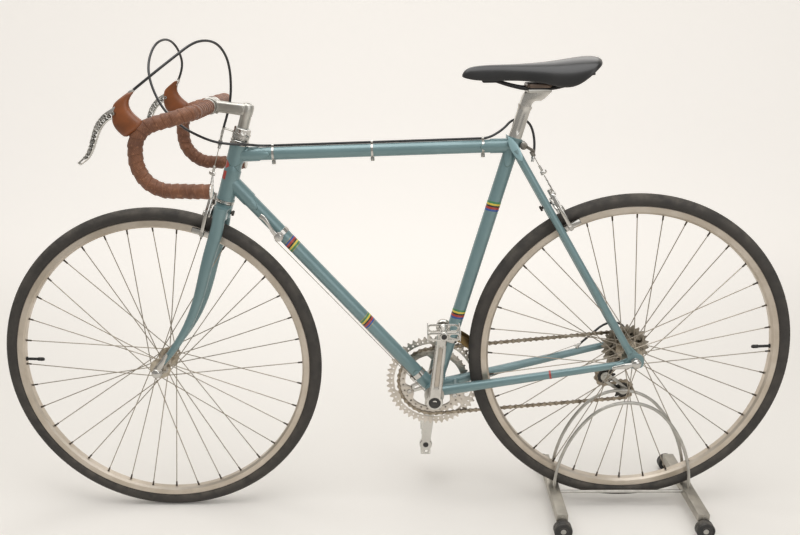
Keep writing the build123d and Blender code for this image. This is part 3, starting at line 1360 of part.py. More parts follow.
guide_along = (Vector(*bracket) - down_start).length - guide_before_bracket
wire_below = down_tube_radius + guide_wire_gap
stay_stop = from_rear_end(*stay_stop_place)
with BuildPart() as gear_cables:
    for side in (-1, 1):
        rod(on_down_tube(shifter_along, shifter_below + shifter_radius + wire_radius,
                         side * (down_tube_radius + 3)),
            on_down_tube(guide_along + 8, wire_below, side * 5), wire_radius)
    stop_route = [stay_stop] + [from_rear_end(*point) for point in (
        (-64, 63, 12), (-38, 72, 28), (-12, 78, 29), (9, 78, 13), loop_end)]
    bent_rod(stop_route, largest_bends(stop_route), housing_radius)
    add(rear_derailleur.part, mode=Mode.SUBTRACT)
finish(gear_cables.part, "gear_cables")
print("gear cable bends", [round(value) for value in largest_bends(stop_route)])

with BuildPart() as cable_guides:
    rod(on_down_tube(guide_along - 5), on_down_tube(guide_along + 5), down_tube_radius + 1.5)
    with Locations(rod_plane(on_down_tube(guide_along - 6, wire_below),
                             on_down_tube(guide_along + 6, wire_below))):
        Box(16, 5, 12, align=BASE)
    rod(stay_stop, (stay_stop[0] - 10, stay_stop[1] - 1, stay_stop[2] - 4), 4)
    rod((stay_stop[0] - 5, stay_stop[1] - 0.5, stay_stop[2] - 2),
        (stay_stop[0] - 5, stay_stop[1] - 0.5, stay_stop[2] - 14), 3)
    for piece in (down_tube, chain_stays, gear_cables):
        add(piece.part, mode=Mode.SUBTRACT)
finish(cable_guides.part, "cable_guides")

# ================================================================================================
# Display stand
# ================================================================================================
leg_inner_x = leg_spacing / 2 - leg_width / 2
leg_top = rear_axle_z - sqrt(tyre_radius ** 2 - leg_inner_x ** 2) - leg_gap
leg_middle_z = leg_top - leg_height / 2
with BuildPart() as stand_legs:
    for end in (-1, 1):
        with Locations((rear_axle_x + end * leg_spacing / 2, 0, leg_middle_z)):
            Box(leg_width, 2 * leg_half_length, leg_height)
        for side in (-1, 1):
            cylinder_across(rear_axle_x + end * leg_spacing / 2, roller_radius, roller_axle_radius,
                            side * (leg_half_length - leg_end_thickness),
                            side * (roller_across + roller_width / 2))
            with Locations((rear_axle_x + end * leg_spacing / 2,
                            side * (leg_half_length - leg_end_thickness / 2),
                            (leg_middle_z + roller_radius) / 2)):
                Box(leg_width, leg_end_thickness, leg_middle_z - roller_radius + leg_end_below_axle)
finish(stand_legs.part, "stand_legs")

with BuildPart() as stand_hoops:
    half_base = leg_spacing / 2
    side_centre = half_base - hoop_side_radius
    crown_radius = ((hoop_height ** 2 + side_centre ** 2 - hoop_side_radius ** 2)
                    / (2 * (hoop_height - hoop_side_radius)))
    reach = hoop_side_radius / (hoop_side_radius - crown_radius)
    join_x, join_z = side_centre * (1 - reach), (hoop_height - crown_radius) * reach

    def on_hoop(side, along, rise):
        """Point of the leaning hoop, placed along from its middle and up from its feet."""
        return (rear_axle_x + along, side * (hoop_across + hoop_lean * rise / hoop_height),
                leg_top + rise)

    for side in (-1, 1):
        foot, upward = Vector(*on_hoop(side, -half_base, 0)), Vector(0, side * hoop_lean, hoop_height)
        with BuildLine(mode=Mode.PRIVATE) as hoop:
            front = TangentArc(foot, on_hoop(side, -join_x, join_z), tangent=upward)
            crown = TangentArc(front @ 1, on_hoop(side, join_x, join_z), tangent=front % 1)
            TangentArc(crown @ 1, on_hoop(side, half_base, 0), tangent=crown % 1)
        with BuildSketch(Plane(origin=foot, z_dir=upward), mode=Mode.PRIVATE) as section:
            Circle(hoop_rod_radius)
        sweep(sections=section.sketch, path=hoop.wires()[0])
    for side in (-1, 1):
        rod((rear_axle_x - leg_spacing / 2 + leg_width / 2, side * hoop_across, leg_middle_z),
            (rear_axle_x + leg_spacing / 2 - leg_width / 2, side * hoop_across, leg_middle_z),
            hoop_rod_radius)
    add(stand_legs.part, mode=Mode.SUBTRACT)
finish(stand_hoops.part, "stand_hoops")

with BuildPart() as stand_rollers:
    for end in (-1, 1):
        for side in (-1, 1):
            cylinder_across(rear_axle_x + end * leg_spacing / 2, roller_radius, roller_radius,
                            side * (roller_across - roller_width / 2),
                            side * (roller_across + roller_width / 2))
    add(stand_legs.part, mode=Mode.SUBTRACT)
finish(stand_rollers.part, "stand_rollers")
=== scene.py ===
"""Fine pieces and finishes of a road racing bicycle that a wheeled rear stand holds.

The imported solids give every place. Shapes are drawn in millimetres and become metres when a shape
is made into a piece. The front of the bicycle points to -X, its left side to -Y, and +Z is up.
"""
import json
import logging
from dataclasses import dataclass
from enum import Enum
from math import asin, atan2, copysign, cos, degrees, exp, hypot, pi, radians, sin, tan
from typing import Callable, Optional, Sequence

import bmesh
import bpy
from mathutils import Matrix, Vector, noise

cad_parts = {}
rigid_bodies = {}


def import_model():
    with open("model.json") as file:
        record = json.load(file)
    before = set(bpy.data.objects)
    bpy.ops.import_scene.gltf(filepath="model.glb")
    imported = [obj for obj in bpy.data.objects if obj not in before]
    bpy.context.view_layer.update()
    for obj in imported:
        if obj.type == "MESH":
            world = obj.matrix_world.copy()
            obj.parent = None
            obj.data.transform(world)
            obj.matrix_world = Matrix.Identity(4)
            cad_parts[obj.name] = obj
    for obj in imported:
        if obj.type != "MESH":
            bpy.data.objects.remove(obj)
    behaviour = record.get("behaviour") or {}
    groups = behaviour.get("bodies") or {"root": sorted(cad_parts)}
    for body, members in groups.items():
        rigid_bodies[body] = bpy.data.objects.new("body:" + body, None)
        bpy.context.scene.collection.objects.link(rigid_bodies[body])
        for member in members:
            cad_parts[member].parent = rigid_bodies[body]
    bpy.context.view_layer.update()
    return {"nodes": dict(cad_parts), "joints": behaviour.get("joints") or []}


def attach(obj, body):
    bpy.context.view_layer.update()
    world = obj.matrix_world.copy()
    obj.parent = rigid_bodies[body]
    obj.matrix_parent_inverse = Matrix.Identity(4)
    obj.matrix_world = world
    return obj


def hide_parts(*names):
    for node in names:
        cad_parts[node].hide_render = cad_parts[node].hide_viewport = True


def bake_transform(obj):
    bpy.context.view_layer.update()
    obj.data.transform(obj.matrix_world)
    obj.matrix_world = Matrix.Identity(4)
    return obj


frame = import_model()
MM = 0.001
TURN = 2.0 * pi
LOG = logging.getLogger("bicycle")

Point = Sequence[float]
Outline = list[tuple[float, float]]


class Body(Enum):
    """Moving bodies that a piece can ride on."""

    FRAME = "frame"
    STEERING = "steering"
    FRONT_WHEEL = "front_wheel"
    REAR_WHEEL = "rear_wheel"
    FREEWHEEL = "freewheel"
    CRANKSET = "crankset"
    LEFT_PEDAL = "pedal_left"
    RIGHT_PEDAL = "pedal_right"


class Side(Enum):
    """Sides of the bicycle, with the sign of their place across."""

    LEFT = -1
    RIGHT = 1

    @property
    def label(self) -> str:
        """Name of the side for pieces and nodes."""
        return self.name.lower()


class Slot(Enum):
    """Material slots of the record."""

    PAINT = "frame_paint"
    CHROME = "chrome"
    ALLOY = "alloy"
    STEEL = "steel"
    TAPE = "tape"
    HOOD = "hood_rubber"
    SADDLE = "saddle_cover"
    TYRE = "tyre"
    RIM = "rim_alloy"
    CHAIN = "chain_steel"
    PAD = "pad_rubber"
    CABLE = "cable_housing"
    STAND = "stand_steel"
    ROLLER = "roller_rubber"


# ================================================================================================
# Places
# ================================================================================================


def axes(x: Vector, y: Vector, z: Vector) -> Matrix:
    """Matrix whose local axes follow three headings."""
    return Matrix((x, y, z)).transposed().to_4x4()


def angles(steps: int) -> list[float]:
    """Evenly spaced angles round a full turn."""
    return [TURN * k / steps for k in range(steps)]


def polar(reach: float, angle: float, centre: Sequence[float] = (0.0, 0.0)) -> tuple[float, float]:
    """Point of a plane at a reach and an angle from a centre."""
    return centre[0] + reach * cos(angle), centre[1] + reach * sin(angle)


def radial(angle: float) -> Vector:
    """Unit heading in the wheel plane, from behind towards up."""
    return Vector((cos(angle), 0, sin(angle)))


def sidelong(distance: float) -> Vector:
    """Step across the bicycle, to its right where positive."""
    return Vector((0, distance, 0))


def in_plane(place: tuple[float, float]) -> Vector:
    """Place in the wheel plane from its distance behind and its height."""
    return Vector((place[0], 0, place[1]))


def seen_flat(line: Sequence[Vector]) -> Outline:
    """A line as an outline in the wheel plane."""
    return [(point.x, point.z) for point in line]


@dataclass(frozen=True)
class Run:
    """A straight line in the wheel plane, with the way that counts as aside from it.

    Attributes:
        foot: Where the line starts.
        along: Unit heading of the line.
        aside: Unit heading square to it, in the wheel plane.
    """

    foot: Vector
    along: Vector
    aside: Vector

    def at(self, along: float, aside: float = 0.0, across: float = 0.0) -> Vector:
        """Point at a distance along the line, aside from it and across the bicycle.

        Args:
            along: Distance from the foot.
            aside: Distance in the aside heading.
            across: Distance to the right of the wheel plane.

        Returns:
            The point.
        """
        return self.foot + self.along * along + self.aside * aside + sidelong(across)

    def cross_frame(self, along: float, aside: float = 0.0, across: float = 0.0) -> Matrix:
        """Matrix whose local X points aside, Y across and Z along the line.

        Args:
            along: Distance of its origin from the foot.
            aside: Distance of its origin in the aside heading.
            across: Distance of its origin across the bicycle.

        Returns:
            The placing matrix.
        """
        across_way = self.along.cross(self.aside)
        rows = axes(self.aside, across_way, self.along)
        return Matrix.Translation(self.at(along, aside, across)) @ rows


def joint_place(name: str) -> Vector:
    """Place of a hinge in millimetres.

    Args:
        name: The joint's name.

    Returns:
        A point on its axis.
    """
    found = next(joint for joint in frame["joints"] if joint["name"] == name)
    return Vector(found["pos_m"]) / MM


def joint_axis(name: str) -> Vector:
    """Heading of a hinge's axis.

    Args:
        name: The joint's name.

    Returns:
        The unit vector along it.
    """
    found = next(joint for joint in frame["joints"] if joint["name"] == name)
    return Vector(found["axis"]).normalized()


@dataclass(frozen=True)
class Layout:
    """Driving places of the bicycle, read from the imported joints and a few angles.

    Attributes:
        steering_mark: Distance of the steering joint's place up its axis.
        seat_angle: Degrees between the seat tube and the floor.
        top_tube_on_head: Where the top tube meets the steering axis.
        top_tube_on_seat: Where it meets the seat tube's axis.
        down_tube_on_head: Where the down tube meets the steering axis.
        stay_top: Top of the seat stays in the wheel plane.
    """

    steering_mark: float = 430.0
    seat_angle: float = 73.4
    top_tube_on_head: float = 479.0
    top_tube_on_seat: float = 544.0
    down_tube_on_head: float = 426.0
    stay_top: tuple[float, float] = (243.0, 790.0)

    @property
    def front_axle(self) -> Vector:
        """Centre of the front wheel."""
        return joint_place("front_wheel_spin")

    @property
    def rear_axle(self) -> Vector:
        """Centre of the rear wheel."""
        return joint_place("rear_wheel_spin")

    @property
    def bracket(self) -> Vector:
        """Centre of the bottom bracket."""
        return joint_place("crank_spin")

    @property
    def steering(self) -> Run:
        """Steering axis from abreast of the front axle, aside being ahead."""
        up = joint_axis("steering_turn")
        ahead = Vector((-up.z, 0, up.x))
        return Run(joint_place("steering_turn") - up * self.steering_mark, up, ahead)

    @property
    def seat(self) -> Run:
        """Seat tube's axis from the bottom bracket, aside being behind."""
        angle = radians(self.seat_angle)
        return Run(self.bracket, radial(angle), Vector((sin(angle), 0, -cos(angle))))

    @property
    def top(self) -> Run:
        """Top tube's axis from the head, aside being above."""
        return run_between(self.steering.at(self.top_tube_on_head), self.seat.at(self.top_tube_on_seat), 1)

    @property
    def down(self) -> Run:
        """Down tube's axis from the head, aside being below."""
        return run_between(self.steering.at(self.down_tube_on_head), self.bracket, -1)

    @property
    def stay(self) -> Run:
        """Line up the seat stays from the rear axle, aside being behind."""
        return run_between(self.rear_axle, in_plane(self.stay_top), -1)


def run_between(start: Vector, end: Vector, way: int) -> Run:
    """Run from one point towards another.

    Args:
        start: Its foot.
        end: A point that it heads for.
        way: 1 where aside is a left turn seen with X to the right, and -1 where it is a right turn.

    Returns:
        The run.
    """
    along = (end - start).normalized()
    return Run(start, along, Vector((-along.z, 0, along.x)) * way)


PLACES = Layout()


def side_frame(place: Point, across: float, side: Side = Side.LEFT, turn: float = 0.0) -> Matrix:
    """Matrix for a flat shape that faces one side: local X and Y lie in the wheel plane.

    Args:
        place: Its origin, of which the first and the last coordinate count.
        across: Its origin's place across.
        side: The side that local Z faces.
        turn: Degrees that the shape turns from X towards Z.

    Returns:
        The placing matrix.
    """
    facing = axes(Vector((1, 0, 0)), Vector((0, 0, 1)), sidelong(side.value))
    spin = Matrix.Rotation(radians(turn), 4, "Z")
    return Matrix.Translation(Vector((place[0], across, place[-1]))) @ facing @ spin


def heading_frame(origin: Point, heading: Point, guide: Point = (0, 1, 0)) -> Matrix:
    """Matrix whose local Z follows a heading and whose local Y lies near a guide.

    Args:
        origin: Where its origin goes.
        heading: The way of local Z.
        guide: The way that local Y leans to.

    Returns:
        The placing matrix.
    """
    ahead = Vector(heading).normalized()
    sideways = Vector(guide).cross(ahead)
    if sideways.length < 1e-6:
        sideways = Vector((1, 0, 0)).cross(ahead)
    sideways.normalize()
    rows = axes(sideways, ahead.cross(sideways), ahead)
    return Matrix.Translation(Vector(origin)) @ rows


# ================================================================================================
# Shapes
# ================================================================================================


def circle_outline(radius: float, steps: int = 24, centre: Sequence[float] = (0.0, 0.0)) -> Outline:
    """Points round a circle of a radius and a centre."""
    return [polar(radius, angle, centre) for angle in angles(steps)]


def oval(centre: Vector, wide: Vector, tall: Vector, steps: int, power: float = 2.0) -> list[Vector]:
    """Ring round a centre, squared off where its power is above 2.

    Args:
        centre: Its middle.
        wide: Step from the middle to its side.
        tall: Step from the middle to its top.
        steps: Points round it.
        power: 2 for an ellipse, and more for a squarer ring.

    Returns:
        The ring.
    """
    ring = []
    for angle in angles(steps):
        x, y = cos(angle), sin(angle)
        size = (abs(x) ** power + abs(y) ** power) ** (-1 / power)
        ring.append(centre + wide * x * size + tall * y * size)
    return ring


def slot_outline(start: tuple[float, float], end: tuple[float, float], start_radius: float,
                 end_radius: Optional[float] = None, steps: int = 12) -> Outline:
    """Outline round two circles of their own radii, like a link or a lever.

    Args:
        start: Centre of the first circle.
        end: Centre of the second.
        start_radius: Radius of the first.
        end_radius: Radius of the second, the same if left out.
        steps: Points round each end.

    Returns:
        The outline.
    """
    far = start_radius if end_radius is None else end_radius
    heading = atan2(end[1] - start[1], end[0] - start[0])
    length = hypot(end[0] - start[0], end[1] - start[1])
    lean = asin((start_radius - far) / length) if length > abs(start_radius - far) else 0.0
    points = []
    for centre, radius, low, high in ((end, far, -pi / 2 + lean, pi / 2 - lean),
                                      (start, start_radius, pi / 2 - lean, 1.5 * pi + lean)):
        for n in range(steps + 1):
            angle = heading + low + (high - low) * n / steps
            points.append(polar(radius, angle, centre))
    return points


def toothed_outline(teeth: int, root: float, tip: float, land: float = 0.18) -> Outline:
    """Outline of a sprocket with narrow rounded teeth.

    Args:
        teeth: How many.
        root: Radius between the teeth.
        tip: Radius at their tips.
        land: Share of the pitch that a tip takes.

    Returns:
        The outline.
    """
    shape = ((-0.5, 0.0), (-0.34, 0.12), (-0.22, 0.5), (-land / 2, 0.94), (0.0, 1.0), (land / 2, 0.94),
             (0.22, 0.5), (0.34, 0.12))
    points = []
    for tooth in range(teeth):
        for place, rise in shape:
            points.append(polar(root + (tip - root) * rise, TURN * (tooth + place) / teeth))
    return points


def add_spline(data: bpy.types.Curve, kind: str, points: Sequence[Point], closed: bool) -> bpy.types.Spline:
    """Adds a spline to a curve.

    Args:
        data: The curve.
        kind: The spline's type.
        points: Its points.
        closed: True where it joins itself.

    Returns:
        The spline.
    """
    spline = data.splines.new(kind)
    spline.points.add(len(points) - 1)
    for point, place in zip(spline.points, points):
        point.co = (*place, 1.0)
    spline.use_cyclic_u = closed
    return spline


def curve_mesh(data: bpy.types.Curve) -> tuple[list[Vector], list[tuple[int, ...]]]:
    """Turns a curve into a mesh and removes it.

    Args:
        data: The curve.

    Returns:
        The mesh's vertices and faces.
    """
    holder = bpy.data.objects.new("curve", data)
    mesh = bpy.data.meshes.new_from_object(holder)
    verts = [vertex.co.copy() for vertex in mesh.vertices]
    faces = [tuple(face.vertices) for face in mesh.polygons]
    bpy.data.objects.remove(holder)
    bpy.data.curves.remove(data)
    bpy.data.meshes.remove(mesh)
    return verts, faces


def smooth_path(points: Sequence[Point], steps: int = 8, closed: bool = False) -> list[Vector]:
    """Smooth line that passes near chosen points, read from a NURBS spline of order 3.

    Args:
        points: The spline's control points.
        steps: Points made for each span.
        closed: True where the line joins itself.

    Returns:
        Points along the line.
    """
    data = bpy.data.curves.new("path", "CURVE")
    data.dimensions = "3D"
    spline = add_spline(data, "NURBS", points, closed)
    spline.order_u = 3
    spline.use_endpoint_u = not closed
    spline.resolution_u = steps
    return curve_mesh(data)[0]


def rounded_path(points: Sequence[Point], radii: Sequence[float], steps: int = 8) -> list[Vector]:
    """Straight runs joined by round bends, for bent tube and rod.

    Args:
        points: Corners of the line.
        radii: Bend radius at each inner corner.
        steps: Points made for each bend.

    Returns:
        Points along the line.
    """
    corners = [Vector(point) for point in points]
    line = [corners[0]]
    for before, corner, after, radius in zip(corners, corners[1:], corners[2:], radii):
        coming, going = (before - corner).normalized(), (after - corner).normalized()
        half = coming.angle(going) / 2
        setback = radius / tan(half)
        centre = corner + (coming + going).normalized() * radius / sin(half)
        begin, end = corner + coming * setback, corner + going * setback
        for n in range(steps + 1):
            line.append(centre + (begin - centre).slerp(end - centre, n / steps).normalized() * radius
                        if (begin - centre).angle(end - centre) > 1e-4 else begin)
    line.append(corners[-1])
    return line


def even_path(line: Sequence[Vector], gap: float) -> list[Vector]:
    """The same line with evenly spaced points.

    Args:
        line: Points along it.
        gap: Wanted distance between points.

    Returns:
        The new points.
    """
    lengths = [0.0]
    for here, there in zip(line, line[1:]):
        lengths.append(lengths[-1] + (there - here).length)
    count = max(2, round(lengths[-1] / gap))
    spaced, index = [], 0
    for n in range(count + 1):
        wanted = lengths[-1] * n / count
        while index < len(line) - 2 and lengths[index + 1] < wanted:
            index += 1
        span = max(1e-9, lengths[index + 1] - lengths[index])
        spaced.append(line[index].lerp(line[index + 1], min(1.0, (wanted - lengths[index]) / span)))
    return spaced


def path_frames(line: Sequence[Vector], guide: Point = (0, 1, 0), closed: bool = False) -> list[Matrix]:
    """Frames that follow a line without twisting.

    Args:
        line: Points along it.
        guide: The way that the first frame's Y leans to.
        closed: True where the line joins itself.

    Returns:
        One matrix for each point, with local Z along the line.
    """
    last = len(line) - 1
    frames, sideways = [], Vector(guide)
    for n, point in enumerate(line):
        before = line[n - 1] if n or closed else point
        after = line[(n + 1) % len(line)] if n < last or closed else point
        ahead = (after - before).normalized()
        if not n and abs(ahead.dot(sideways)) > 0.95:
            sideways = Vector((ahead.y, ahead.z, ahead.x))
        sideways = (sideways - ahead * sideways.dot(ahead)).normalized()
        rows = axes(sideways.cross(ahead), sideways, ahead)
        frames.append(Matrix.Translation(point) @ rows)
    return frames


class Shape:
    """Vertices and faces of one piece, in millimetres, gathered from a maker's simple forms."""

    def __init__(self) -> None:
        """Starts an empty shape."""
        self.verts: list[Vector] = []
        self.faces: list[tuple[int, ...]] = []

    def add(self, verts: Sequence[Vector], faces: Sequence[Sequence[int]],
            place: Optional[Matrix] = None) -> "Shape":
        """Adds vertices and faces.

        Args:
            verts: The vertices.
            faces: Faces that count from the first of them.
            place: Matrix that puts them in place.

        Returns:
            This shape.
        """
        start = len(self.verts)
        self.verts += [place @ vertex if place else Vector(vertex) for vertex in verts]
        self.faces += [tuple(start + index for index in face) for face in faces]
        return self

    def copy_of(self, other: "Shape", place: Matrix) -> "Shape":
        """Adds a placed copy of another shape and returns this one."""
        return self.add(other.verts, other.faces, place)

    def loft(self, rings: Sequence[Sequence[Vector]], closed: bool = False, caps: bool = True) -> "Shape":
        """Skins a row of rings that have as many points each.

        Args:
            rings: The rings in order.
            closed: True where the last ring joins the first.
            caps: True to close both ends.

        Returns:
            This shape.
        """
        count = len(rings[0])
        verts = [vertex for ring in rings for vertex in ring]
        faces: list[tuple[int, ...]] = []
        for n in range(len(rings) if closed else len(rings) - 1):
            low, high = n * count, ((n + 1) % len(rings)) * count
            for k in range(count):
                far = (k + 1) % count
                faces.append((low + k, low + far, high + far, high + k))
        if caps and not closed:
            faces.append(tuple(reversed(range(count))))
            faces.append(tuple((len(rings) - 1) * count + k for k in range(count)))
        return self.add(verts, faces)

    def tube(self, line: Sequence[Vector], radius: float | Callable[[float, float], float],
             sides: int = 12, closed: bool = False, squash: float = 1.0) -> "Shape":
        """Round rod or tube along a line.

        Args:
            line: Points along its middle.
            radius: Its radius, or a function of the share along it and the angle round it.
            sides: Points round it.
            closed: True where the line joins itself.
            squash: Width across the bicycle as a share of its depth.

        Returns:
            This shape.
        """
        rings = []
        for n, place in enumerate(path_frames(line, closed=closed)):
            ring = []
            for angle in angles(sides):
                size = radius(n / max(1, len(line) - 1), angle) if callable(radius) else radius
                ring.append(place @ Vector((size * cos(angle), squash * size * sin(angle), 0)))
            rings.append(ring)
        return self.loft(rings, closed=closed)

    def lathe(self, profile: Sequence[tuple[float, float]], place: Matrix, steps: int = 40,
              sides: Optional[Callable[[float, float], float]] = None) -> "Shape":
        """Turned form about the local Z axis of a matrix.

        Args:
            profile: Radius and height of each step; a radius of nought closes the form.
            place: Where its axis lies.
            steps: Points round it.
            sides: Share of the radius at an angle and a height, for flats, knurls and flutes.

        Returns:
            This shape.
        """
        rings = []
        for radius, height in profile:
            ring = []
            for angle in angles(steps):
                size = max(radius, 1e-3) * (sides(angle, height) if sides else 1.0)
                ring.append(place @ Vector((*polar(size, angle), height)))
            rings.append(ring)
        return self.loft(rings)

    def ring(self, profile: Sequence[tuple[float, float]], place: Matrix, steps: int = 96) -> "Shape":
        """Closed section turned about the local Z axis, such as a tyre or a washer.

        Args:
            profile: Radius and height of the section's points, all the way round it.
            place: Where its axis lies.
            steps: Points round the axis.

        Returns:
            This shape.
        """
        return self.loft([[place @ Vector((*polar(radius, angle), height)) for radius, height in profile]
                          for angle in angles(steps)], closed=True)

    def plate(self, outline: Outline, thickness: float, place: Matrix, holes: Sequence[Outline] = (),
              bevel: float = 0.4) -> "Shape":
        """Flat plate with holes and softened edges.

        Args:
            outline: Its outer edge in the local XY plane.
            thickness: Its thickness, centred on that plane.
            place: Where it lies.
            holes: Edges of its holes.
            bevel: How far its edges are softened.

        Returns:
            This shape.
        """
        data = bpy.data.curves.new("plate", "CURVE")
        data.dimensions = "2D"
        data.fill_mode = "BOTH"
        data.extrude = max(0.01, thickness / 2 - bevel)
        data.bevel_depth = bevel
        data.bevel_resolution = 1
        data.offset = -bevel
        for edge in (outline, *holes):
            add_spline(data, "POLY", [(x, y, 0.0) for x, y in edge], True)
        return self.add(*curve_mesh(data), place)

    def block(self, size: Point, place: Matrix, bevel: float = 0.8) -> "Shape":
        """Block with softened edges, centred on a matrix.

        Args:
            size: Its three sizes.
            place: Where it lies.
            bevel: How far its edges are softened.

        Returns:
            This shape.
        """
        half_x, half_y = size[0] / 2, size[1] / 2
        corner = min(bevel * 1.5, half_x * 0.8, half_y * 0.8)
        outline = [(x * (half_x - a), y * (half_y - b)) for x, y, a, b in (
            (1, -1, corner, 0), (1, -1, 0, corner), (1, 1, 0, corner), (1, 1, corner, 0),
            (-1, 1, corner, 0), (-1, 1, 0, corner), (-1, -1, 0, corner), (-1, -1, corner, 0))]
        return self.plate(outline, size[2], place, bevel=bevel)

    def piece(self, name: str, body: Optional[Body], finish: "Finish", replaces: Sequence[str] = (),
              sharp: float = 38.0, subdivide: int = 0, marks: Sequence[tuple[float, float]] = (),
              slot: Optional[Slot] = None) -> bpy.types.Object:
        """Makes the shape into a piece that rides on a body.

        Args:
            name: The piece's name.
            body: The body that it rides on, or None where it rides on none.
            finish: Its finish.
            replaces: Nodes that it stands for.
            sharp: Degrees beyond which an edge stays sharp.
            subdivide: Levels of smoothing subdivision.
            marks: Layout of the finish at each face corner, for as many faces as it has values.
            slot: The record's slot, where it isn't the finish's own. Not used.

        Returns:
            The new object.
        """
        mesh = bpy.data.meshes.new(name)
        mesh.from_pydata([vertex * MM for vertex in self.verts], [], self.faces)
        if marks:
            layout = mesh.uv_layers.new(name="layout")
            for corner, mark in zip(layout.data, marks):
                corner.uv = mark
        work = bmesh.new()
        work.from_mesh(mesh)
        bmesh.ops.remove_doubles(work, verts=work.verts, dist=1e-6)
        bmesh.ops.dissolve_degenerate(work, edges=work.edges, dist=1e-7)
        bmesh.ops.recalc_face_normals(work, faces=work.faces)
        work.to_mesh(mesh)
        work.free()
        mesh.polygons.foreach_set("use_smooth", [True] * len(mesh.polygons))
        mesh.set_sharp_from_angle(angle=radians(sharp))
        mesh.materials.append(finish.material())
        made = bpy.data.objects.new(name, mesh)
        bpy.context.scene.collection.objects.link(made)
        if subdivide:
            smoother = made.modifiers.new("smooth", "SUBSURF")
            smoother.levels = smoother.render_levels = subdivide
        if body:
            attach(made, body.value)
        if replaces:
            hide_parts(*replaces)
        LOG.info("%s: %d faces on %s", name, len(mesh.polygons), body.value if body else "two bodies")
        return made


# ================================================================================================
# Finishes
# ================================================================================================


class Net:
    """Short way to add and join nodes of one tree."""

    def __init__(self, tree: bpy.types.NodeTree) -> None:
        """Starts on an emptied tree.

        Args:
            tree: The node tree to fill.
        """
        self.tree = tree
        self.tree.nodes.clear()

    def put(self, kind: str, inputs: Optional[dict[str | int, object]] = None,
            **settings: object) -> bpy.types.Node:
        """Adds a node.

        Args:
            kind: The node's type name.
            inputs: Values or sockets for its inputs, by name or number.
            **settings: Attributes of the node.

        Returns:
            The node.
        """
        node = self.tree.nodes.new(kind)
        for name, value in settings.items():
            setattr(node, name, value)
        for key, value in (inputs or {}).items():
            if isinstance(value, bpy.types.NodeSocket):
                self.tree.links.new(value, node.inputs[key])
            else:
                node.inputs[key].default_value = value
        return node

    def sum(self, kind: str, *values: object, clamp: bool = False) -> bpy.types.NodeSocket:
        """Adds a math node and gives its output.

        Args:
            kind: The operation, such as "ADD".
            *values: Its numbers or sockets.
            clamp: True to keep the result between 0 and 1.

        Returns:
            The output socket.
        """
        return self.put("ShaderNodeMath", dict(enumerate(values)), operation=kind, use_clamp=clamp).outputs[0]

    def mix(self, share: object, low: object, high: object) -> bpy.types.NodeSocket:
        """Mixes two colours.

        Args:
            share: How much of the second, from 0 to 1.
            low: The first colour.
            high: The second colour.

        Returns:
            The output socket.
        """
        node = self.put("ShaderNodeMix", {0: share, 6: low, 7: high}, data_type="RGBA")
        return node.outputs[2]

    def steps(self, value: object, low: float, high: float) -> bpy.types.NodeSocket:
        """Smooth step of a value between two marks.

        Args:
            value: The value.
            low: Where the result is 0.
            high: Where it is 1.

        Returns:
            The output socket.
        """
        return self.put("ShaderNodeMapRange", {0: value, 1: low, 2: high},
                        interpolation_type="SMOOTHSTEP").outputs[0]


def new_group(name: str, inputs: dict[str, float], outputs: Sequence[str]) -> tuple[bpy.types.NodeTree, Net]:
    """Starts a shader node group with float sockets.

    Args:
        name: The group's name.
        inputs: Its inputs with their defaults.
        outputs: Its outputs.

    Returns:
        The tree and the net that fills it.
    """
    tree = bpy.data.node_groups.new(name, "ShaderNodeTree")
    for label, value in inputs.items():
        tree.interface.new_socket(label, in_out="INPUT", socket_type="NodeSocketFloat").default_value = value
    for label in outputs:
        tree.interface.new_socket(label, in_out="OUTPUT", socket_type="NodeSocketFloat")
    return tree, Net(tree)


def grain_group() -> bpy.types.NodeTree:
    """Fine and coarse unevenness of a worked surface.

    Returns:
        A group with Coarse, Fine and Height outputs.
    """
    tree, net = new_group("surface_grain", {"Coarse size": 60.0, "Fine size": 900.0, "Stretch": 1.0},
                          ("Coarse", "Fine", "Height"))
    given = net.put("NodeGroupInput")
    place = net.put("ShaderNodeTexCoord").outputs["Object"]
    stretched = net.put("ShaderNodeCombineXYZ", {0: 1.0, 1: given.outputs["Stretch"], 2: 1.0}).outputs[0]
    spread = net.put("ShaderNodeVectorMath", {0: place, 1: stretched}, operation="MULTIPLY").outputs[0]
    coarse = net.put("ShaderNodeTexNoise", {"Vector": place, "Scale": given.outputs["Coarse size"],
                                            "Detail": 4.0, "Roughness": 0.6}).outputs[0]
    fine = net.put("ShaderNodeTexNoise", {"Vector": spread, "Scale": given.outputs["Fine size"],
                                          "Detail": 2.0}).outputs[0]
    height = net.sum("ADD", net.sum("MULTIPLY", coarse, 0.4), net.sum("MULTIPLY", fine, 0.6))
    net.put("NodeGroupOutput", {"Coarse": coarse, "Fine": fine, "Height": height})
    return tree


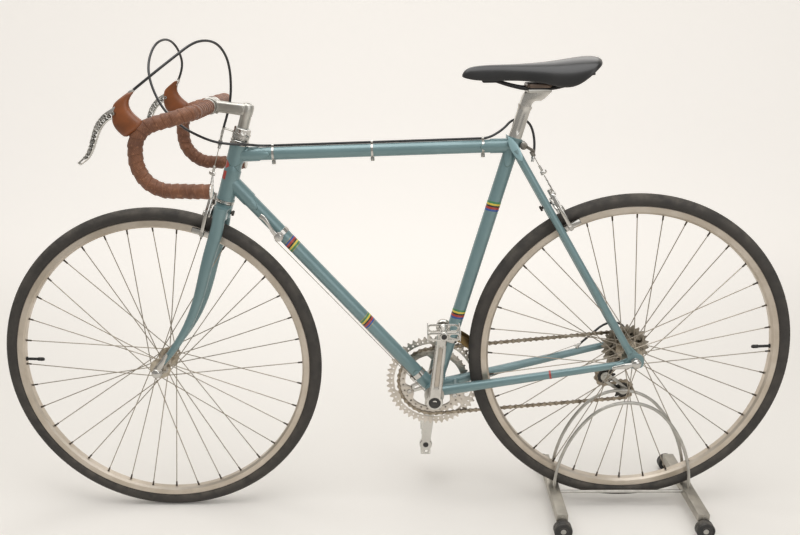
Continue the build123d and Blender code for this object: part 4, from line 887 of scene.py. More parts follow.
def wear_group() -> bpy.types.NodeTree:
    """Wear on edges and small chips between them.

    Returns:
        A group with Edge and Chip outputs.
    """
    tree, net = new_group("edge_wear", {"Amount": 0.5, "Chip size": 220.0}, ("Edge", "Chip"))
    given = net.put("NodeGroupInput")
    place = net.put("ShaderNodeTexCoord").outputs["Object"]
    speckle = net.put("ShaderNodeTexNoise", {"Vector": place, "Scale": given.outputs["Chip size"],
                                             "Detail": 3.0, "Roughness": 0.7}).outputs[0]
    patch = net.put("ShaderNodeTexNoise", {"Vector": place, "Scale": 14.0, "Detail": 2.0}).outputs[0]
    ridge = net.put("ShaderNodeNewGeometry").outputs["Pointiness"]
    edge = net.sum("MULTIPLY", net.steps(ridge, 0.66, 0.84), net.steps(speckle, 0.4, 0.62))
    edge = net.sum("MULTIPLY", edge, given.outputs["Amount"], clamp=True)
    chip = net.sum("MULTIPLY", net.steps(speckle, 0.71, 0.74), net.steps(patch, 0.56, 0.66))
    chip = net.sum("MULTIPLY", chip, given.outputs["Amount"], clamp=True)
    net.put("NodeGroupOutput", {"Edge": edge, "Chip": chip})
    return tree


def dust_group() -> bpy.types.NodeTree:
    """Dull film that lies on surfaces which face up, and gathers in patches.

    Returns:
        A group with a Film output.
    """
    tree, net = new_group("dust_film", {"Amount": 0.3}, ("Film",))
    given = net.put("NodeGroupInput")
    place = net.put("ShaderNodeTexCoord").outputs["Object"]
    upward = net.put("ShaderNodeSeparateXYZ",
                     {0: net.put("ShaderNodeNewGeometry").outputs["Normal"]}).outputs[2]
    patch = net.put("ShaderNodeTexNoise", {"Vector": place, "Scale": 40.0, "Detail": 5.0}).outputs[0]
    film = net.sum("MULTIPLY", net.steps(upward, -0.3, 1.0), net.steps(patch, 0.3, 0.75))
    net.put("NodeGroupOutput", {"Film": net.sum("MULTIPLY", film, given.outputs["Amount"], clamp=True)})
    return tree


GRAIN, WEAR, DUST = grain_group(), wear_group(), dust_group()


def shade(code: str) -> tuple[float, float, float, float]:
    """Scene-linear colour from a written screen colour.

    Args:
        code: Six hexadecimal digits.

    Returns:
        The colour with full alpha.
    """
    values = [int(code[n:n + 2], 16) / 255 for n in (0, 2, 4)]
    linear = [v / 12.92 if v <= 0.04045 else ((v + 0.055) / 1.055) ** 2.4 for v in values]
    return (linear[0], linear[1], linear[2], 1.0)


@dataclass(frozen=True)
class Finish:
    """One material, built from the shared groups with its own values.

    Attributes:
        name: The material's name.
        slot: The record's slot that it belongs to. Not used.
        colour: Its main colour.
        second: The colour that its coarse grain leads to.
        metallic: How metallic it is.
        roughness: Its mean roughness.
        spread: How far roughness wanders with the grain.
        coarse: Size number of the coarse grain.
        fine: Size number of the fine grain.
        stretch: How much the fine grain is drawn out across the bicycle.
        bump: Depth of the grain in metres.
        coat: Weight of a clear coat.
        sheen: Weight of a soft sheen.
        wear: How worn its edges are.
        worn: The colour that shows where it is worn.
        dust: How much dull film lies on it.
    """

    name: str
    slot: Slot
    colour: str
    second: str
    metallic: float = 0.0
    roughness: float = 0.5
    spread: float = 0.12
    coarse: float = 60.0
    fine: float = 900.0
    stretch: float = 1.0
    bump: float = 0.00002
    coat: float = 0.0
    sheen: float = 0.0
    wear: float = 0.0
    worn: str = "8c8a86"
    dust: float = 0.0

    def pattern(self, net: Net, colour: bpy.types.NodeSocket) -> bpy.types.NodeSocket:
        """Further colour pattern of a special finish; the plain one has none.

        Args:
            net: The material's net.
            colour: The colour so far.

        Returns:
            The colour to use.
        """
        return colour

    def relief(self, net: Net, height: bpy.types.NodeSocket) -> bpy.types.NodeSocket:
        """Further relief of a special finish; the plain one has none.

        Args:
            net: The material's net.
            height: The height so far.

        Returns:
            The height to use.
        """
        return height

    def material(self) -> bpy.types.Material:
        """Builds the material, or gives the one already built.

        Returns:
            The material.
        """
        if self.name in bpy.data.materials:
            return bpy.data.materials[self.name]
        made = bpy.data.materials.new(self.name)
        made.use_nodes = True
        net = Net(made.node_tree)
        grain = net.put("ShaderNodeGroup", node_tree=GRAIN)
        for label, value in (("Coarse size", self.coarse), ("Fine size", self.fine),
                             ("Stretch", self.stretch)):
            grain.inputs[label].default_value = value
        share = net.steps(grain.outputs["Coarse"], 0.3, 0.7)
        colour = self.pattern(net, net.mix(share, shade(self.colour), shade(self.second)))
        rough = net.sum("ADD", self.roughness - self.spread / 2,
                        net.sum("MULTIPLY", grain.outputs["Fine"], self.spread))
        metal: object = self.metallic
        if self.wear:
            wear = net.put("ShaderNodeGroup", {"Amount": self.wear}, node_tree=WEAR)
            mask = net.sum("MAXIMUM", wear.outputs["Edge"], wear.outputs["Chip"])
            colour = net.mix(mask, colour, shade(self.worn))
            rough = net.sum("ADD", rough, net.sum("MULTIPLY", mask, 0.15), clamp=True)
        if self.dust:
            film = net.put("ShaderNodeGroup", {"Amount": self.dust}, node_tree=DUST).outputs["Film"]
            colour = net.mix(film, colour, shade("a39a8c"))
            rough = net.sum("ADD", rough, net.sum("MULTIPLY", film, 0.35), clamp=True)
            if self.metallic:
                metal = net.sum("MULTIPLY", self.metallic, net.sum("SUBTRACT", 1.0, film))
        height = self.relief(net, grain.outputs["Height"])
        normal = net.put("ShaderNodeBump",
                         {"Height": height, "Distance": self.bump, "Strength": 1.0}).outputs[0]
        surface = net.put("ShaderNodeBsdfPrincipled", {
            "Base Color": colour, "Roughness": rough, "Metallic": metal, "Normal": normal,
            "Coat Weight": self.coat, "Coat Roughness": 0.12, "Sheen Weight": self.sheen})
        net.put("ShaderNodeOutputMaterial", {"Surface": surface.outputs[0]})
        return made


@dataclass(frozen=True)
class TapeFinish(Finish):
    """Handlebar tape: rows of small holes with painted shade in them, and painted shade along the hem of each
    wrap, laid out along and round the wraps.

    Attributes:
        rows: Rows of holes in the tape's width.
    """

    rows: float = 7.0

    def holes(self, net: Net) -> bpy.types.NodeSocket:
        """Mask of the small holes, from the tape's own layout of width and length.

        Args:
            net: The material's net.

        Returns:
            1 in a hole and 0 between holes.
        """
        split = net.put("ShaderNodeSeparateXYZ", {0: net.put("ShaderNodeTexCoord").outputs["UV"]})
        strip = net.sum("FRACT", split.outputs[0])
        across = net.sum("MULTIPLY", strip, self.rows)
        shifted = net.sum("ADD", split.outputs[1],
                          net.sum("MULTIPLY", net.sum("MODULO", net.sum("FLOOR", across), 2.0), 0.5))
        u = net.sum("SUBTRACT", net.sum("FRACT", across), 0.5)
        v = net.sum("SUBTRACT", net.sum("FRACT", shifted), 0.5)
        reach = net.sum("SQRT", net.sum("ADD", net.sum("MULTIPLY", u, u), net.sum("MULTIPLY", v, v)))
        inside = net.sum("SUBTRACT", 1.0, net.steps(reach, 0.18, 0.3))
        margin = net.sum("COMPARE", strip, 0.5, 0.36)
        return net.sum("MULTIPLY", inside, margin)

    def pattern(self, net: Net, colour: bpy.types.NodeSocket) -> bpy.types.NodeSocket:
        """Darkens the holes and the hem of each wrap with painted shade, and lightens rubbed patches.

        Args:
            net: The material's net.
            colour: The colour so far.

        Returns:
            The colour to use.
        """
        split = net.put("ShaderNodeSeparateXYZ", {0: net.put("ShaderNodeTexCoord").outputs["UV"]})
        # painted shade along the hem, where each wrap starts under the edge of the one before
        hem = net.sum("SUBTRACT", 1.0, net.steps(net.sum("FRACT", split.outputs[0]), 0.0, 0.1))
        shaded_and_rubbed = net.mix(net.sum("MULTIPLY", hem, 0.7), colour, shade("4c2c1c"))
        rubbed = net.put("ShaderNodeTexNoise", {"Scale": 30.0, "Detail": 4.0}).outputs[0]
        shaded_and_rubbed = net.mix(net.sum("MULTIPLY", net.steps(rubbed, 0.52, 0.75), 0.45), shaded_and_rubbed, shade("b98563"))
        # painted shade: the holes are darkened
        return net.mix(net.sum("MULTIPLY", self.holes(net), 0.85), shaded_and_rubbed, shade("3c2115"))

    def relief(self, net: Net, height: bpy.types.NodeSocket) -> bpy.types.NodeSocket:
        """Sinks the holes.

        Args:
            net: The material's net.
            height: The height so far.

        Returns:
            The height to use.
        """
        return net.sum("SUBTRACT", height, self.holes(net))


@dataclass(frozen=True)
class HubFinish(Finish):
    """Wire wheel: polished hub within a radius, plain spoke steel beyond it.

    Attributes:
        centre: The wheel's centre in metres.
        spoke: Colour of the spokes.
        reach: Radius of the hub's flanges in metres.
    """

    centre: tuple[float, float, float] = (0.0, 0.0, 0.0)
    spoke: str = "a0978a"
    reach: float = 0.0235

    def pattern(self, net: Net, colour: bpy.types.NodeSocket) -> bpy.types.NodeSocket:
        """Turns to spoke steel beyond the flanges.

        Args:
            net: The material's net.
            colour: The colour so far.

        Returns:
            The colour to use.
        """
        away = net.put("ShaderNodeVectorMath", {0: net.put("ShaderNodeTexCoord").outputs["Object"],
                                                1: self.centre}, operation="SUBTRACT").outputs[0]
        split = net.put("ShaderNodeSeparateXYZ", {0: away})
        reach = net.sum("SQRT", net.sum("ADD", net.sum("MULTIPLY", split.outputs[0], split.outputs[0]),
                                        net.sum("MULTIPLY", split.outputs[2], split.outputs[2])))
        return net.mix(net.steps(reach, self.reach, self.reach + 0.0005), colour, shade(self.spoke))


def metres(point: Vector) -> tuple[float, float, float]:
    """A place in millimetres as a tuple in metres."""
    return tuple(value * MM for value in point)


class Finishes:
    """The bicycle's finishes."""

    PAINT = Finish("frame_paint_teal", Slot.PAINT, "6b8689", "748f92", 0.3, 0.36, 0.12, 9.0, 2600.0,
                   bump=0.000003, coat=0.6, wear=0.6, worn="4a4a47")
    # Lighter copy of the frame paint: painted highlight on the seat stay caps.
    CAP_PAINTED_HIGHLIGHT = Finish("stay_cap_painted_highlight", Slot.PAINT, "93b2b6", "88a8ad", 0.3, 0.3, 0.1, 9.0, 2600.0,
                       bump=0.000004, coat=0.8)
    # Darker copy of the frame paint: painted shade along the lugs' edges.
    LUG_EDGE_SHADE = Finish("lug_shoreline", Slot.PAINT, "36504f", "3f5a58", 0.1, 0.5, 0.1)
    CHROME = Finish("bright_chrome", Slot.CHROME, "c9c7c3", "b8b5af", 1.0, 0.14, 0.12, 30.0, 1400.0,
                    bump=0.000003, wear=0.3, worn="7c766c", dust=0.12)
    OLD_CHROME = Finish("dulled_chrome", Slot.CHROME, "b5b1a9", "9a948a", 1.0, 0.26, 0.2, 45.0, 1200.0,
                        bump=0.00001, wear=0.5, worn="6e675c", dust=0.25)
    ALLOY = Finish("satin_alloy", Slot.ALLOY, "c2c0ba", "b2afa8", 1.0, 0.33, 0.16, 25.0, 1500.0,
                   bump=0.000006, wear=0.3, worn="8a857c", dust=0.15)
    POLISHED = Finish("polished_alloy", Slot.ALLOY, "d0cec9", "c1beb8", 1.0, 0.22, 0.12, 25.0, 1500.0,
                      bump=0.000004, wear=0.2, worn="8a857c", dust=0.1)
    STEEL = Finish("plain_steel", Slot.STEEL, "96918a", "7f7a72", 1.0, 0.38, 0.2, 50.0, 1300.0, bump=0.00001,
                   wear=0.4, worn="5f584d", dust=0.2)
    DARK_STEEL = Finish("dark_steel", Slot.STEEL, "4a4642", "3a3633", 0.8, 0.45, 0.2, 60.0, 1200.0,
                        bump=0.00001, dust=0.15)
    BRASS = Finish("dull_brass", Slot.STEEL, "8d7650", "7a6544", 1.0, 0.36, 0.2, 40.0, 1200.0, bump=0.00001,
                   dust=0.15)
    RING = Finish("ring_alloy", Slot.ALLOY, "d6cfc6", "c4bcb1", 1.0, 0.34, 0.2, 30.0, 1300.0, bump=0.000008,
                  wear=0.6, worn="6f675b", dust=0.2)
    COG = Finish("cog_steel", Slot.STEEL, "a19a8e", "7d766a", 1.0, 0.34, 0.2, 40.0, 1300.0, bump=0.00001,
                 wear=0.5, worn="554d42", dust=0.1)
    FLUTE = Finish("flute_floor", Slot.ALLOY, "bdb5aa", "b0a89c", 1.0, 0.36, 0.12, 40.0, 900.0, dust=0.1)
    CLAMP = Finish("brown_clamp", Slot.STEEL, "6e5c4f", "5a4b40", 0.6, 0.42, 0.15, 60.0, 900.0, coat=0.2)
    CHAIN = Finish("oiled_chain", Slot.CHAIN, "b0a594", "75695a", 0.9, 0.36, 0.25, 160.0, 1500.0,
                   bump=0.00001, dust=0.1)
    TAPE = TapeFinish("perforated_tape", Slot.TAPE, "6a412b", "855538", 0.0, 0.6, 0.15, 26.0, 1600.0,
                      bump=0.00022, sheen=0.15)
    HOOD = Finish("caramel_rubber", Slot.HOOD, "87491e", "6f3c18", 0.0, 0.42, 0.15, 28.0, 700.0, bump=0.00003,
                  coat=0.15)
    SADDLE = Finish("saddle_skin", Slot.SADDLE, "1f1f1f", "282727", 0.0, 0.34, 0.14, 12.0, 1900.0,
                    bump=0.00004, coat=0.12)
    SADDLE_BASE = Finish("saddle_base", Slot.SADDLE, "161616", "1e1e1e", 0.0, 0.55, 0.1)
    RAIL = Finish("black_rail", Slot.CHROME, "222021", "302d2b", 0.5, 0.4, 0.15, wear=0.5, worn="77716a")
    TYRE = Finish("tyre_rubber", Slot.TYRE, "35322f", "3f3b37", 0.0, 0.72, 0.12, 20.0, 1500.0, bump=0.00004,
                  dust=0.22)
    RIM = Finish("dull_rim_alloy", Slot.RIM, "cdc3b6", "bcb1a2", 0.9, 0.36, 0.2, 14.0, 1100.0, bump=0.000008,
                 wear=0.2, worn="7d766b", dust=0.1)
    NIPPLE = Finish("dark_nipple", Slot.STEEL, "5c5349", "48413a", 0.8, 0.45, 0.2)
    VALVE = Finish("valve_black", Slot.TYRE, "1b1b1b", "2a2826", 0.2, 0.45, 0.15)
    PAD = Finish("brake_pad_rubber", Slot.PAD, "1d1d1e", "2a2928", 0.0, 0.6, 0.15, bump=0.00003, dust=0.2)
    SLEEVE = Finish("black_sleeve", Slot.CABLE, "161617", "1f1f20", 0.0, 0.3, 0.08, 40.0, 900.0, coat=0.2)
    WIRE = Finish("bare_wire", Slot.CHROME, "aba59b", "8e887e", 1.0, 0.35, 0.2)
    PLUG = Finish("bright_plug", Slot.CHROME, "d8d5cf", "c5c1ba", 1.0, 0.2, 0.1)
    STAND = Finish("zinc_stand", Slot.STAND, "bab5aa", "a29d94", 0.85, 0.42, 0.2, 22.0, 900.0, bump=0.00001,
                   wear=0.5, worn="6b6760", dust=0.2)
    HOOP = Finish("zinc_rod", Slot.STAND, "bfbcb6", "aaa8a2", 0.95, 0.34, 0.2, 40.0, 900.0, bump=0.000006,
                  dust=0.1)
    ROLLER = Finish("roller_rubber_black", Slot.ROLLER, "232324", "2f2e2d", 0.0, 0.5, 0.15, bump=0.00003,
                    dust=0.3)
    DUST_CAP = Finish("crank_dust_cap", Slot.ALLOY, "2b2a29", "3a3836", 0.2, 0.45, 0.15, dust=0.2)
    PULLEY = Finish("pulley_black", Slot.PAD, "262422", "34312d", 0.0, 0.5, 0.15, dust=0.3)
    RED = Finish("red_band", Slot.PAINT, "a5342a", "b03c30", 0.0, 0.4, 0.1, coat=0.5)
    GOLD = Finish("gold_band", Slot.PAINT, "b59a4e", "c4ab60", 0.4, 0.4, 0.1, coat=0.5)
    BLUE = Finish("blue_band", Slot.PAINT, "2f4f8f", "375899", 0.0, 0.4, 0.1, coat=0.5)
    BLACK = Finish("black_band", Slot.PAINT, "1d1d1d", "262626", 0.0, 0.4, 0.1, coat=0.5)
    YELLOW = Finish("yellow_band", Slot.PAINT, "d2ba3c", "dbc64e", 0.0, 0.4, 0.1, coat=0.5)
    GREEN = Finish("green_band", Slot.PAINT, "3c7a52", "46865d", 0.0, 0.4, 0.1, coat=0.5)


def dress(node: str, finish: Finish) -> None:
    """Gives a carried-over node its finish.

    Args:
        node: The node's name.
        finish: The finish.
    """
    solid = frame["nodes"][node]
    solid.data.materials.clear()
    solid.data.materials.append(finish.material())


# ================================================================================================
# Shapes that several sub-assemblies share
# ================================================================================================


Edge = float | Callable[[float], float]


def sleeve(shape: Shape, run: Run, radius: float, low: Edge, high: Edge, thickness: float = 0.4,
           steps: int = 48, thin_edge: float = 0.5) -> Shape:
    """Thin shell round a straight tube, with shaped ends.

    Args:
        shape: The shape that takes it.
        run: The tube's axis.
        radius: The tube's radius.
        low: Distance along at which it starts, or a function of the angle from the aside heading.
        high: Where it ends, given in the same way.
        thickness: Its thickness.
        steps: Points round it.
        thin_edge: Share of the thickness that is left at its edges.

    Returns:
        The same shape.
    """
    across = run.along.cross(run.aside)
    profile = ((0.0, radius - 0.2), (0.0, radius + thickness * thin_edge), (0.04, radius + thickness),
               (0.5, radius + thickness), (0.96, radius + thickness), (1.0, radius + thickness * thin_edge),
               (1.0, radius - 0.2))
    rings = []
    for angle in angles(steps):
        out = run.aside * cos(angle) + across * sin(angle)
        start, end = (edge(angle) if callable(edge) else edge for edge in (low, high))
        rings.append([run.foot + run.along * (start + (end - start) * share) + out * size
                      for share, size in profile])
    return shape.loft(rings, closed=True)


def bolt_head(shape: Shape, place: Matrix, radius: float, height: float, socket: float = 0.0) -> Shape:
    """Six-sided or socket head with a domed top.

    Args:
        shape: The shape that takes it.
        place: Matrix at its seat, local Z pointing out.
        radius: Its radius over the corners.
        height: Its height.
        socket: Radius of its key socket, or nought for a plain hexagon.

    Returns:
        The same shape.
    """
    if socket:
        return shape.lathe([(0, 0), (radius, 0), (radius, height * 0.8), (radius * 0.9, height),
                            (socket, height), (socket, height * 0.35), (0, height * 0.35)], place, 24)
    return shape.lathe([(0, 0), (radius, 0), (radius, height * 0.8), (radius * 0.85, height), (0, height)],
                       place, 24, lambda angle, z: 0.866 / cos((angle % (TURN / 6)) - TURN / 12))


def rods(shape: Shape, ends: Sequence[tuple[Point, Point]], radius: float, sides: int = 12) -> Shape:
    """Plain straight rods.

    Args:
        shape: The shape that takes them.
        ends: The two ends of each.
        radius: Their radius.
        sides: Points round each.

    Returns:
        The same shape.
    """
    for start, end in ends:
        shape.tube([Vector(start), Vector(end)], radius, sides)
    return shape


# ================================================================================================
# Frame
# ================================================================================================


@dataclass
class FrameSet:
    """Painted frame and fork: the finishes of their solids, and the lugs, caps and bands on them.

    Attributes:
        head_radius: Radius of the head tube.
        top_radius: Radius of the top tube.
        tube_radius: Radius of the down tube and the seat tube.
        lug: Wall of the lugs.
        head_low: Foot of the head tube, up the steering axis.
        head_high: Top of the head tube.
        seat_length: Length of the seat tube.
        stay_radius: Radius of a seat stay.
        dropout_across: Place across of a rear dropout's middle.
        chain_stay_foot: Front of a chain stay from the bottom bracket's centre.
    """

    head_radius: float = 16.0
    top_radius: float = 13.0
    tube_radius: float = 14.0
    lug: float = 1.6
    head_low: float = 384.5
    head_high: float = 500.5
    seat_length: float = 560.0
    stay_radius: float = 7.5
    dropout_across: float = 62.5
    chain_stay_foot: tuple[float, float] = (14.0, 4.0)

    def build(self) -> None:
        """Makes every piece."""
        for node in ("head_tube", "top_tube", "down_tube", "seat_tube", "head_lugs", "seat_lug",
                     "bottom_bracket_shell", "chain_stays", "seat_stays", "stay_bridges", "fork_blades",
                     "fork_crown"):
            dress(node, Finishes.PAINT)
        dress("rear_dropouts", Finishes.PAINT)
        dress("fork_ends", Finishes.OLD_CHROME)
        dress("bottom_bracket_cups", Finishes.ALLOY)
        self.lug_points()
        self.stay_caps()
        self.stay_tips()
        self.bands()

    def stay_tips(self) -> None:
        """Tapered, flattened ends that run the stays into the dropouts."""
        tips, axle, seat_foot = Shape(), PLACES.rear_axle, PLACES.stay.along
        chain_foot = (PLACES.bracket + in_plane(self.chain_stay_foot) - axle).normalized()
        for side in Side:
            for heading, radius in ((seat_foot, 7.4), (chain_foot, 7.0)):
                wide = heading.cross(sidelong(1)).normalized()
                rings = []
                for reach, share, thin in ((40, 1.0, 1.0), (30, 0.98, 1.0), (25, 0.92, 0.84), (21, 0.8, 0.6),
                                           (17, 0.66, 0.45)):
                    rings.append(oval(axle + heading * reach + sidelong(side.value * self.dropout_across),
                                      wide * radius * share, sidelong(radius * thin), 24))
                tips.loft(rings)
            hook = smooth_path([(-30, 0, -11), (-30, 0, -2), (-20, 0, 1.5), (-15.5, 0, 7), (-17, 0, 16),
                                (-19, 0, 24), (-10, 0, 28), (-5, 0, 20.5), (4, 0, 18), (12.5, 0, 15.5),
                                (18, 0, 8), (18.4, 0, -4), (15, 0, -12), (6, 0, -14), (-8, 0, -13.5)], 4,
                               closed=True)
            tips.plate(seen_flat(hook), 7.4, side_frame(axle, side.value * self.dropout_across),
                       (circle_outline(6.4, 20),), bevel=1.4)
        tips.piece("stay_tips", Body.FRAME, Finishes.PAINT)

    def lug_points(self) -> None:
        """Draws the curved shorelines of the lugs out along the tubes, with a thin band of painted shade on
        the tube beyond each lug's edge.
        """
        top, down, head, seat = PLACES.top, PLACES.down, PLACES.steering, PLACES.seat

        def leaf(base: float, reach: float, sharp: float = 3.0) -> Callable[[float], float]:
            """Edge with a long point on each side of the tube and shallow bays between."""
            return lambda angle: base + reach * abs(sin(angle)) ** sharp

        points, lines = Shape(), Shape()
        wall = self.lug * 0.85
        far = (PLACES.seat.at(PLACES.top_tube_on_seat) - top.foot).length
        reach = (PLACES.bracket - down.foot).length
        for run, radius, root, edge in (
                (top, self.top_radius, 30.0, leaf(44, 24)),
                (top, self.top_radius, far - 30.0, leaf(far - 42, -22)),
                (down, self.tube_radius, 40.0, leaf(52, 26)),
                (down, self.tube_radius, reach - 18.0, leaf(reach - 42, -20)),
                (head, self.head_radius, self.head_high - 26, leaf(self.head_high - 32, -12)),
                (head, self.head_radius, self.head_low + 30, leaf(self.head_low + 61, 12)),
                (seat, self.tube_radius, self.seat_length - 28, leaf(self.seat_length - 34, -24)),
                (seat, self.tube_radius, 16.0, leaf(38, 20))):
            way = 1.1 if edge(0.0) > root else -1.1
            ends = (root, edge) if way > 0 else (edge, root)
            sleeve(points, run, radius, *ends, wall)
            # painted shade: a thin darker band on the tube just beyond the lug's edge
            rim = (edge, lambda a, e=edge, w=way: e(a) + w)
            sleeve(lines, run, radius, *(rim if way > 0 else rim[::-1]), 0.25)
        points.piece("lug_shorelines", Body.FRAME, Finishes.PAINT)
        lines.piece("lug_edge_shade_lines", Body.FRAME, Finishes.LUG_EDGE_SHADE)
        rims = Shape()
        for low, high in ((self.head_low, self.head_low + 3.2), (self.head_high - 3.2, self.head_high)):
            sleeve(rims, head, self.head_radius + self.lug, low, high, 0.9)
        sleeve(rims, seat, self.tube_radius + self.lug, self.seat_length - 3.0, self.seat_length, 0.9)
        rims.piece("lug_collars", Body.FRAME, Finishes.PAINT)

    def stay_caps(self) -> None:
        """Long slanted caps that close the tops of the seat stays against the seat lug, in a lighter copy of
        the frame paint that is a painted highlight.
        """
        caps, stay = Shape(), PLACES.stay
        end = (in_plane(PLACES.stay_top) - stay.foot).length
        outline = [(5.6, -22), (8.0, -8), (8.2, 4), (5.6, 17), (0, 27), (-5.6, 17), (-8.2, 4), (-8.0, -8),
                   (-5.6, -22), (0, -30)]
        tilt = Matrix.Rotation(radians(-15), 4, "X")
        for side in Side:
            across = side.value * (23.5 + self.stay_radius - 0.8)
            facing = axes(stay.aside, stay.along, sidelong(side.value))
            place = Matrix.Translation(stay.at(end + 4, 0, across - side.value * 5.5)) @ facing @ tilt
            caps.plate(outline, 7.0, place, bevel=1.2)
        # painted highlight: the caps take the lighter copy of the frame paint
        caps.piece("seat_stay_caps", Body.FRAME, Finishes.CAP_PAINTED_HIGHLIGHT)

    def bands(self) -> None:
        """Painted band groups on the tubes and the small red marks."""
        order = ((Finishes.GOLD, 1.0), (Finishes.BLUE, 4.2), (Finishes.RED, 4.6), (Finishes.BLACK, 3.4),
                 (Finishes.YELLOW, 3.8), (Finishes.GREEN, 4.2), (Finishes.GOLD, 1.0))
        groups = ((PLACES.down, 167.0, order), (PLACES.down, 393.0, order[::-1]),
                  (PLACES.seat, 408.0, order[1:-1]), (PLACES.seat, 170.0, order[1:-1]))
        gathered: dict[str, Shape] = {}
        finishes: dict[str, Finish] = {}
        for run, start, stripes in groups:
            along = start
            for finish, width in stripes:
                shape = gathered.setdefault(finish.name, Shape())
                finishes[finish.name] = finish
                sleeve(shape, run, self.tube_radius, lambda a, n=along: n + 1.6 * cos(a),
                       lambda a, n=along + width: n + 1.6 * cos(a), 0.14, 56)
                along += width
        red = gathered["red_band"]
        self.badge(red, 449.5, 466.0, self.head_radius + 0.05)
        self.badge(red, 427.0, 444.0, self.head_radius + self.lug + 0.05)
        stay_start = PLACES.bracket + Vector((self.chain_stay_foot[0], -21, self.chain_stay_foot[1]))
        stay_end = PLACES.rear_axle + Vector((-23.6, -self.dropout_across, -4.6))
        heading = (stay_end - stay_start).normalized()
        aside = heading.cross(sidelong(1)).normalized()
        thick, thin, share, mark = 11.0, 7.0, 0.58, 232.0
        sleeve(red, Run(stay_start, heading, aside), thick + (thin - thick) * share, mark, mark + 4.0, 0.3)
        for name, shape in gathered.items():
            shape.piece(f"{name}s", Body.FRAME, finishes[name])

    def badge(self, shape: Shape, low: float, high: float, radius: float) -> None:
        """Lays a plain strip on the front left of the head tube.

        Args:
            shape: The shape that it is added to.
            low: Its foot, up the steering axis.
            high: Its top.
            radius: Radius that it lies on.
        """
        head, wide, turn, steps = PLACES.steering, 5.0, 0.8, 4
        rows = []
        for n in range(steps + 1):
            angle = turn + wide * (2 * n / steps - 1) / radius
            out = head.aside * sin(angle) + sidelong(-1) * cos(angle)
            rows.append([head.at(along) + out * size for along, size in (
                (low, radius), (high, radius), (high, radius + 0.25), (low, radius + 0.25))])
        shape.loft(rows)


# ================================================================================================
# Wheels
# ================================================================================================


@dataclass
class Wheel:
    """Tyre, nipples and valve of one wheel, with the finishes of its rim, hub and spokes.

    Attributes:
        name: Front or rear.
        centre: Its axle.
        body: The body that it rides on.
        valve_angle: Degrees at which the valve stands.
        outer: Radius over the tyre.
        width: Width of the tyre.
        rim_inner: Inner radius of the rim.
        spokes: How many spokes.
        lace: Degrees a spoke runs round the wheel.
    """

    name: str
    centre: Vector
    body: Body
    valve_angle: float
    outer: float = 339.0
    width: float = 28.0
    rim_inner: float = 298.0
    spokes: int = 36
    lace: float = 60.0

    @property
    def turned(self) -> Matrix:
        """Matrix at the hub whose local Z runs across."""
        return side_frame(self.centre, 0.0)

    def build(self) -> None:
        """Makes every piece of the wheel."""
        centre = metres(self.centre)
        dress(f"{self.name}_rim", Finishes.RIM)
        dress(f"{self.name}_hub_and_spokes",
              HubFinish(f"{self.name}_hub_and_spokes", Slot.ALLOY, "bfb6a6", "a3998a", 0.95, 0.3, 0.15, 60.0,
                        900.0, centre=centre))
        self.tyre()
        self.nipples()
        self.valve()

    def tyre(self) -> None:
        """Tyre with a ribbed tread, a shoulder line and plain walls down into the rim."""
        half, middle = self.width / 2, self.outer - self.width / 2
        profile = []
        for k in range(73):
            angle = radians(-128 + 256 * k / 72)
            tread = abs(degrees(angle)) < 52
            rib = -0.45 if tread and k % 3 == 0 else 0.0
            wall = -0.35 if 56 < abs(degrees(angle)) < 60 else 0.0
            size = half + rib + wall
            profile.append((middle + size * cos(angle), size * sin(angle)))
        profile = [point for point in profile if point[0] > 311.6]
        profile += [(311.3, 7.6), (311.3, -7.6)]
        shape = Shape().ring(profile, self.turned, 168)
        shape.piece(f"{self.name}_tyre_tread", self.body, Finishes.TYRE,
                    (f"{self.name}_tyre",), sharp=50)

    def nipples(self) -> None:
        """Short dark nipples where the spokes enter the rim, and a heel at each flange hole."""
        shape = Shape()
        for side in Side:
            for number in range(self.spokes // 2):
                start = 360 * (number + (side.value + 1) / 4) / (self.spokes / 2)
                lean = self.lace if number % 2 else -self.lace
                angle, inner = radians(start + lean), radians(start)
                out = radial(angle)
                flange = radial(inner) * 19.5
                far = self.centre + out * self.rim_inner + sidelong(side.value * 2.5)
                near = self.centre + flange + sidelong(side.value * 30.0)
                heading = (near - far).normalized()
                shape.lathe([(0, -1.5), (2.6, -1.5), (2.6, 0.6), (1.9, 1.6), (1.8, 8.5), (1.3, 10.5),
                             (0, 10.5)], heading_frame(far, heading), 10)
        shape.piece(f"{self.name}_nipples", self.body, Finishes.NIPPLE)

    def valve(self) -> None:
        """Valve with its cap, through the rim towards the hub."""
        angle = radians(self.valve_angle)
        out = radial(angle)
        place = heading_frame(self.centre + out * (self.rim_inner + 2), -out)
        shape = Shape().lathe([(0, 0), (4.6, 0), (4.6, 3.4), (3.0, 4.2), (3.0, 26), (3.9, 26.6), (4.0, 37),
                               (2.8, 40), (0, 40.6)], place, 18)
        shape.piece(f"{self.name}_valve", self.body, Finishes.VALVE)


# ================================================================================================
# Display stand
# ================================================================================================


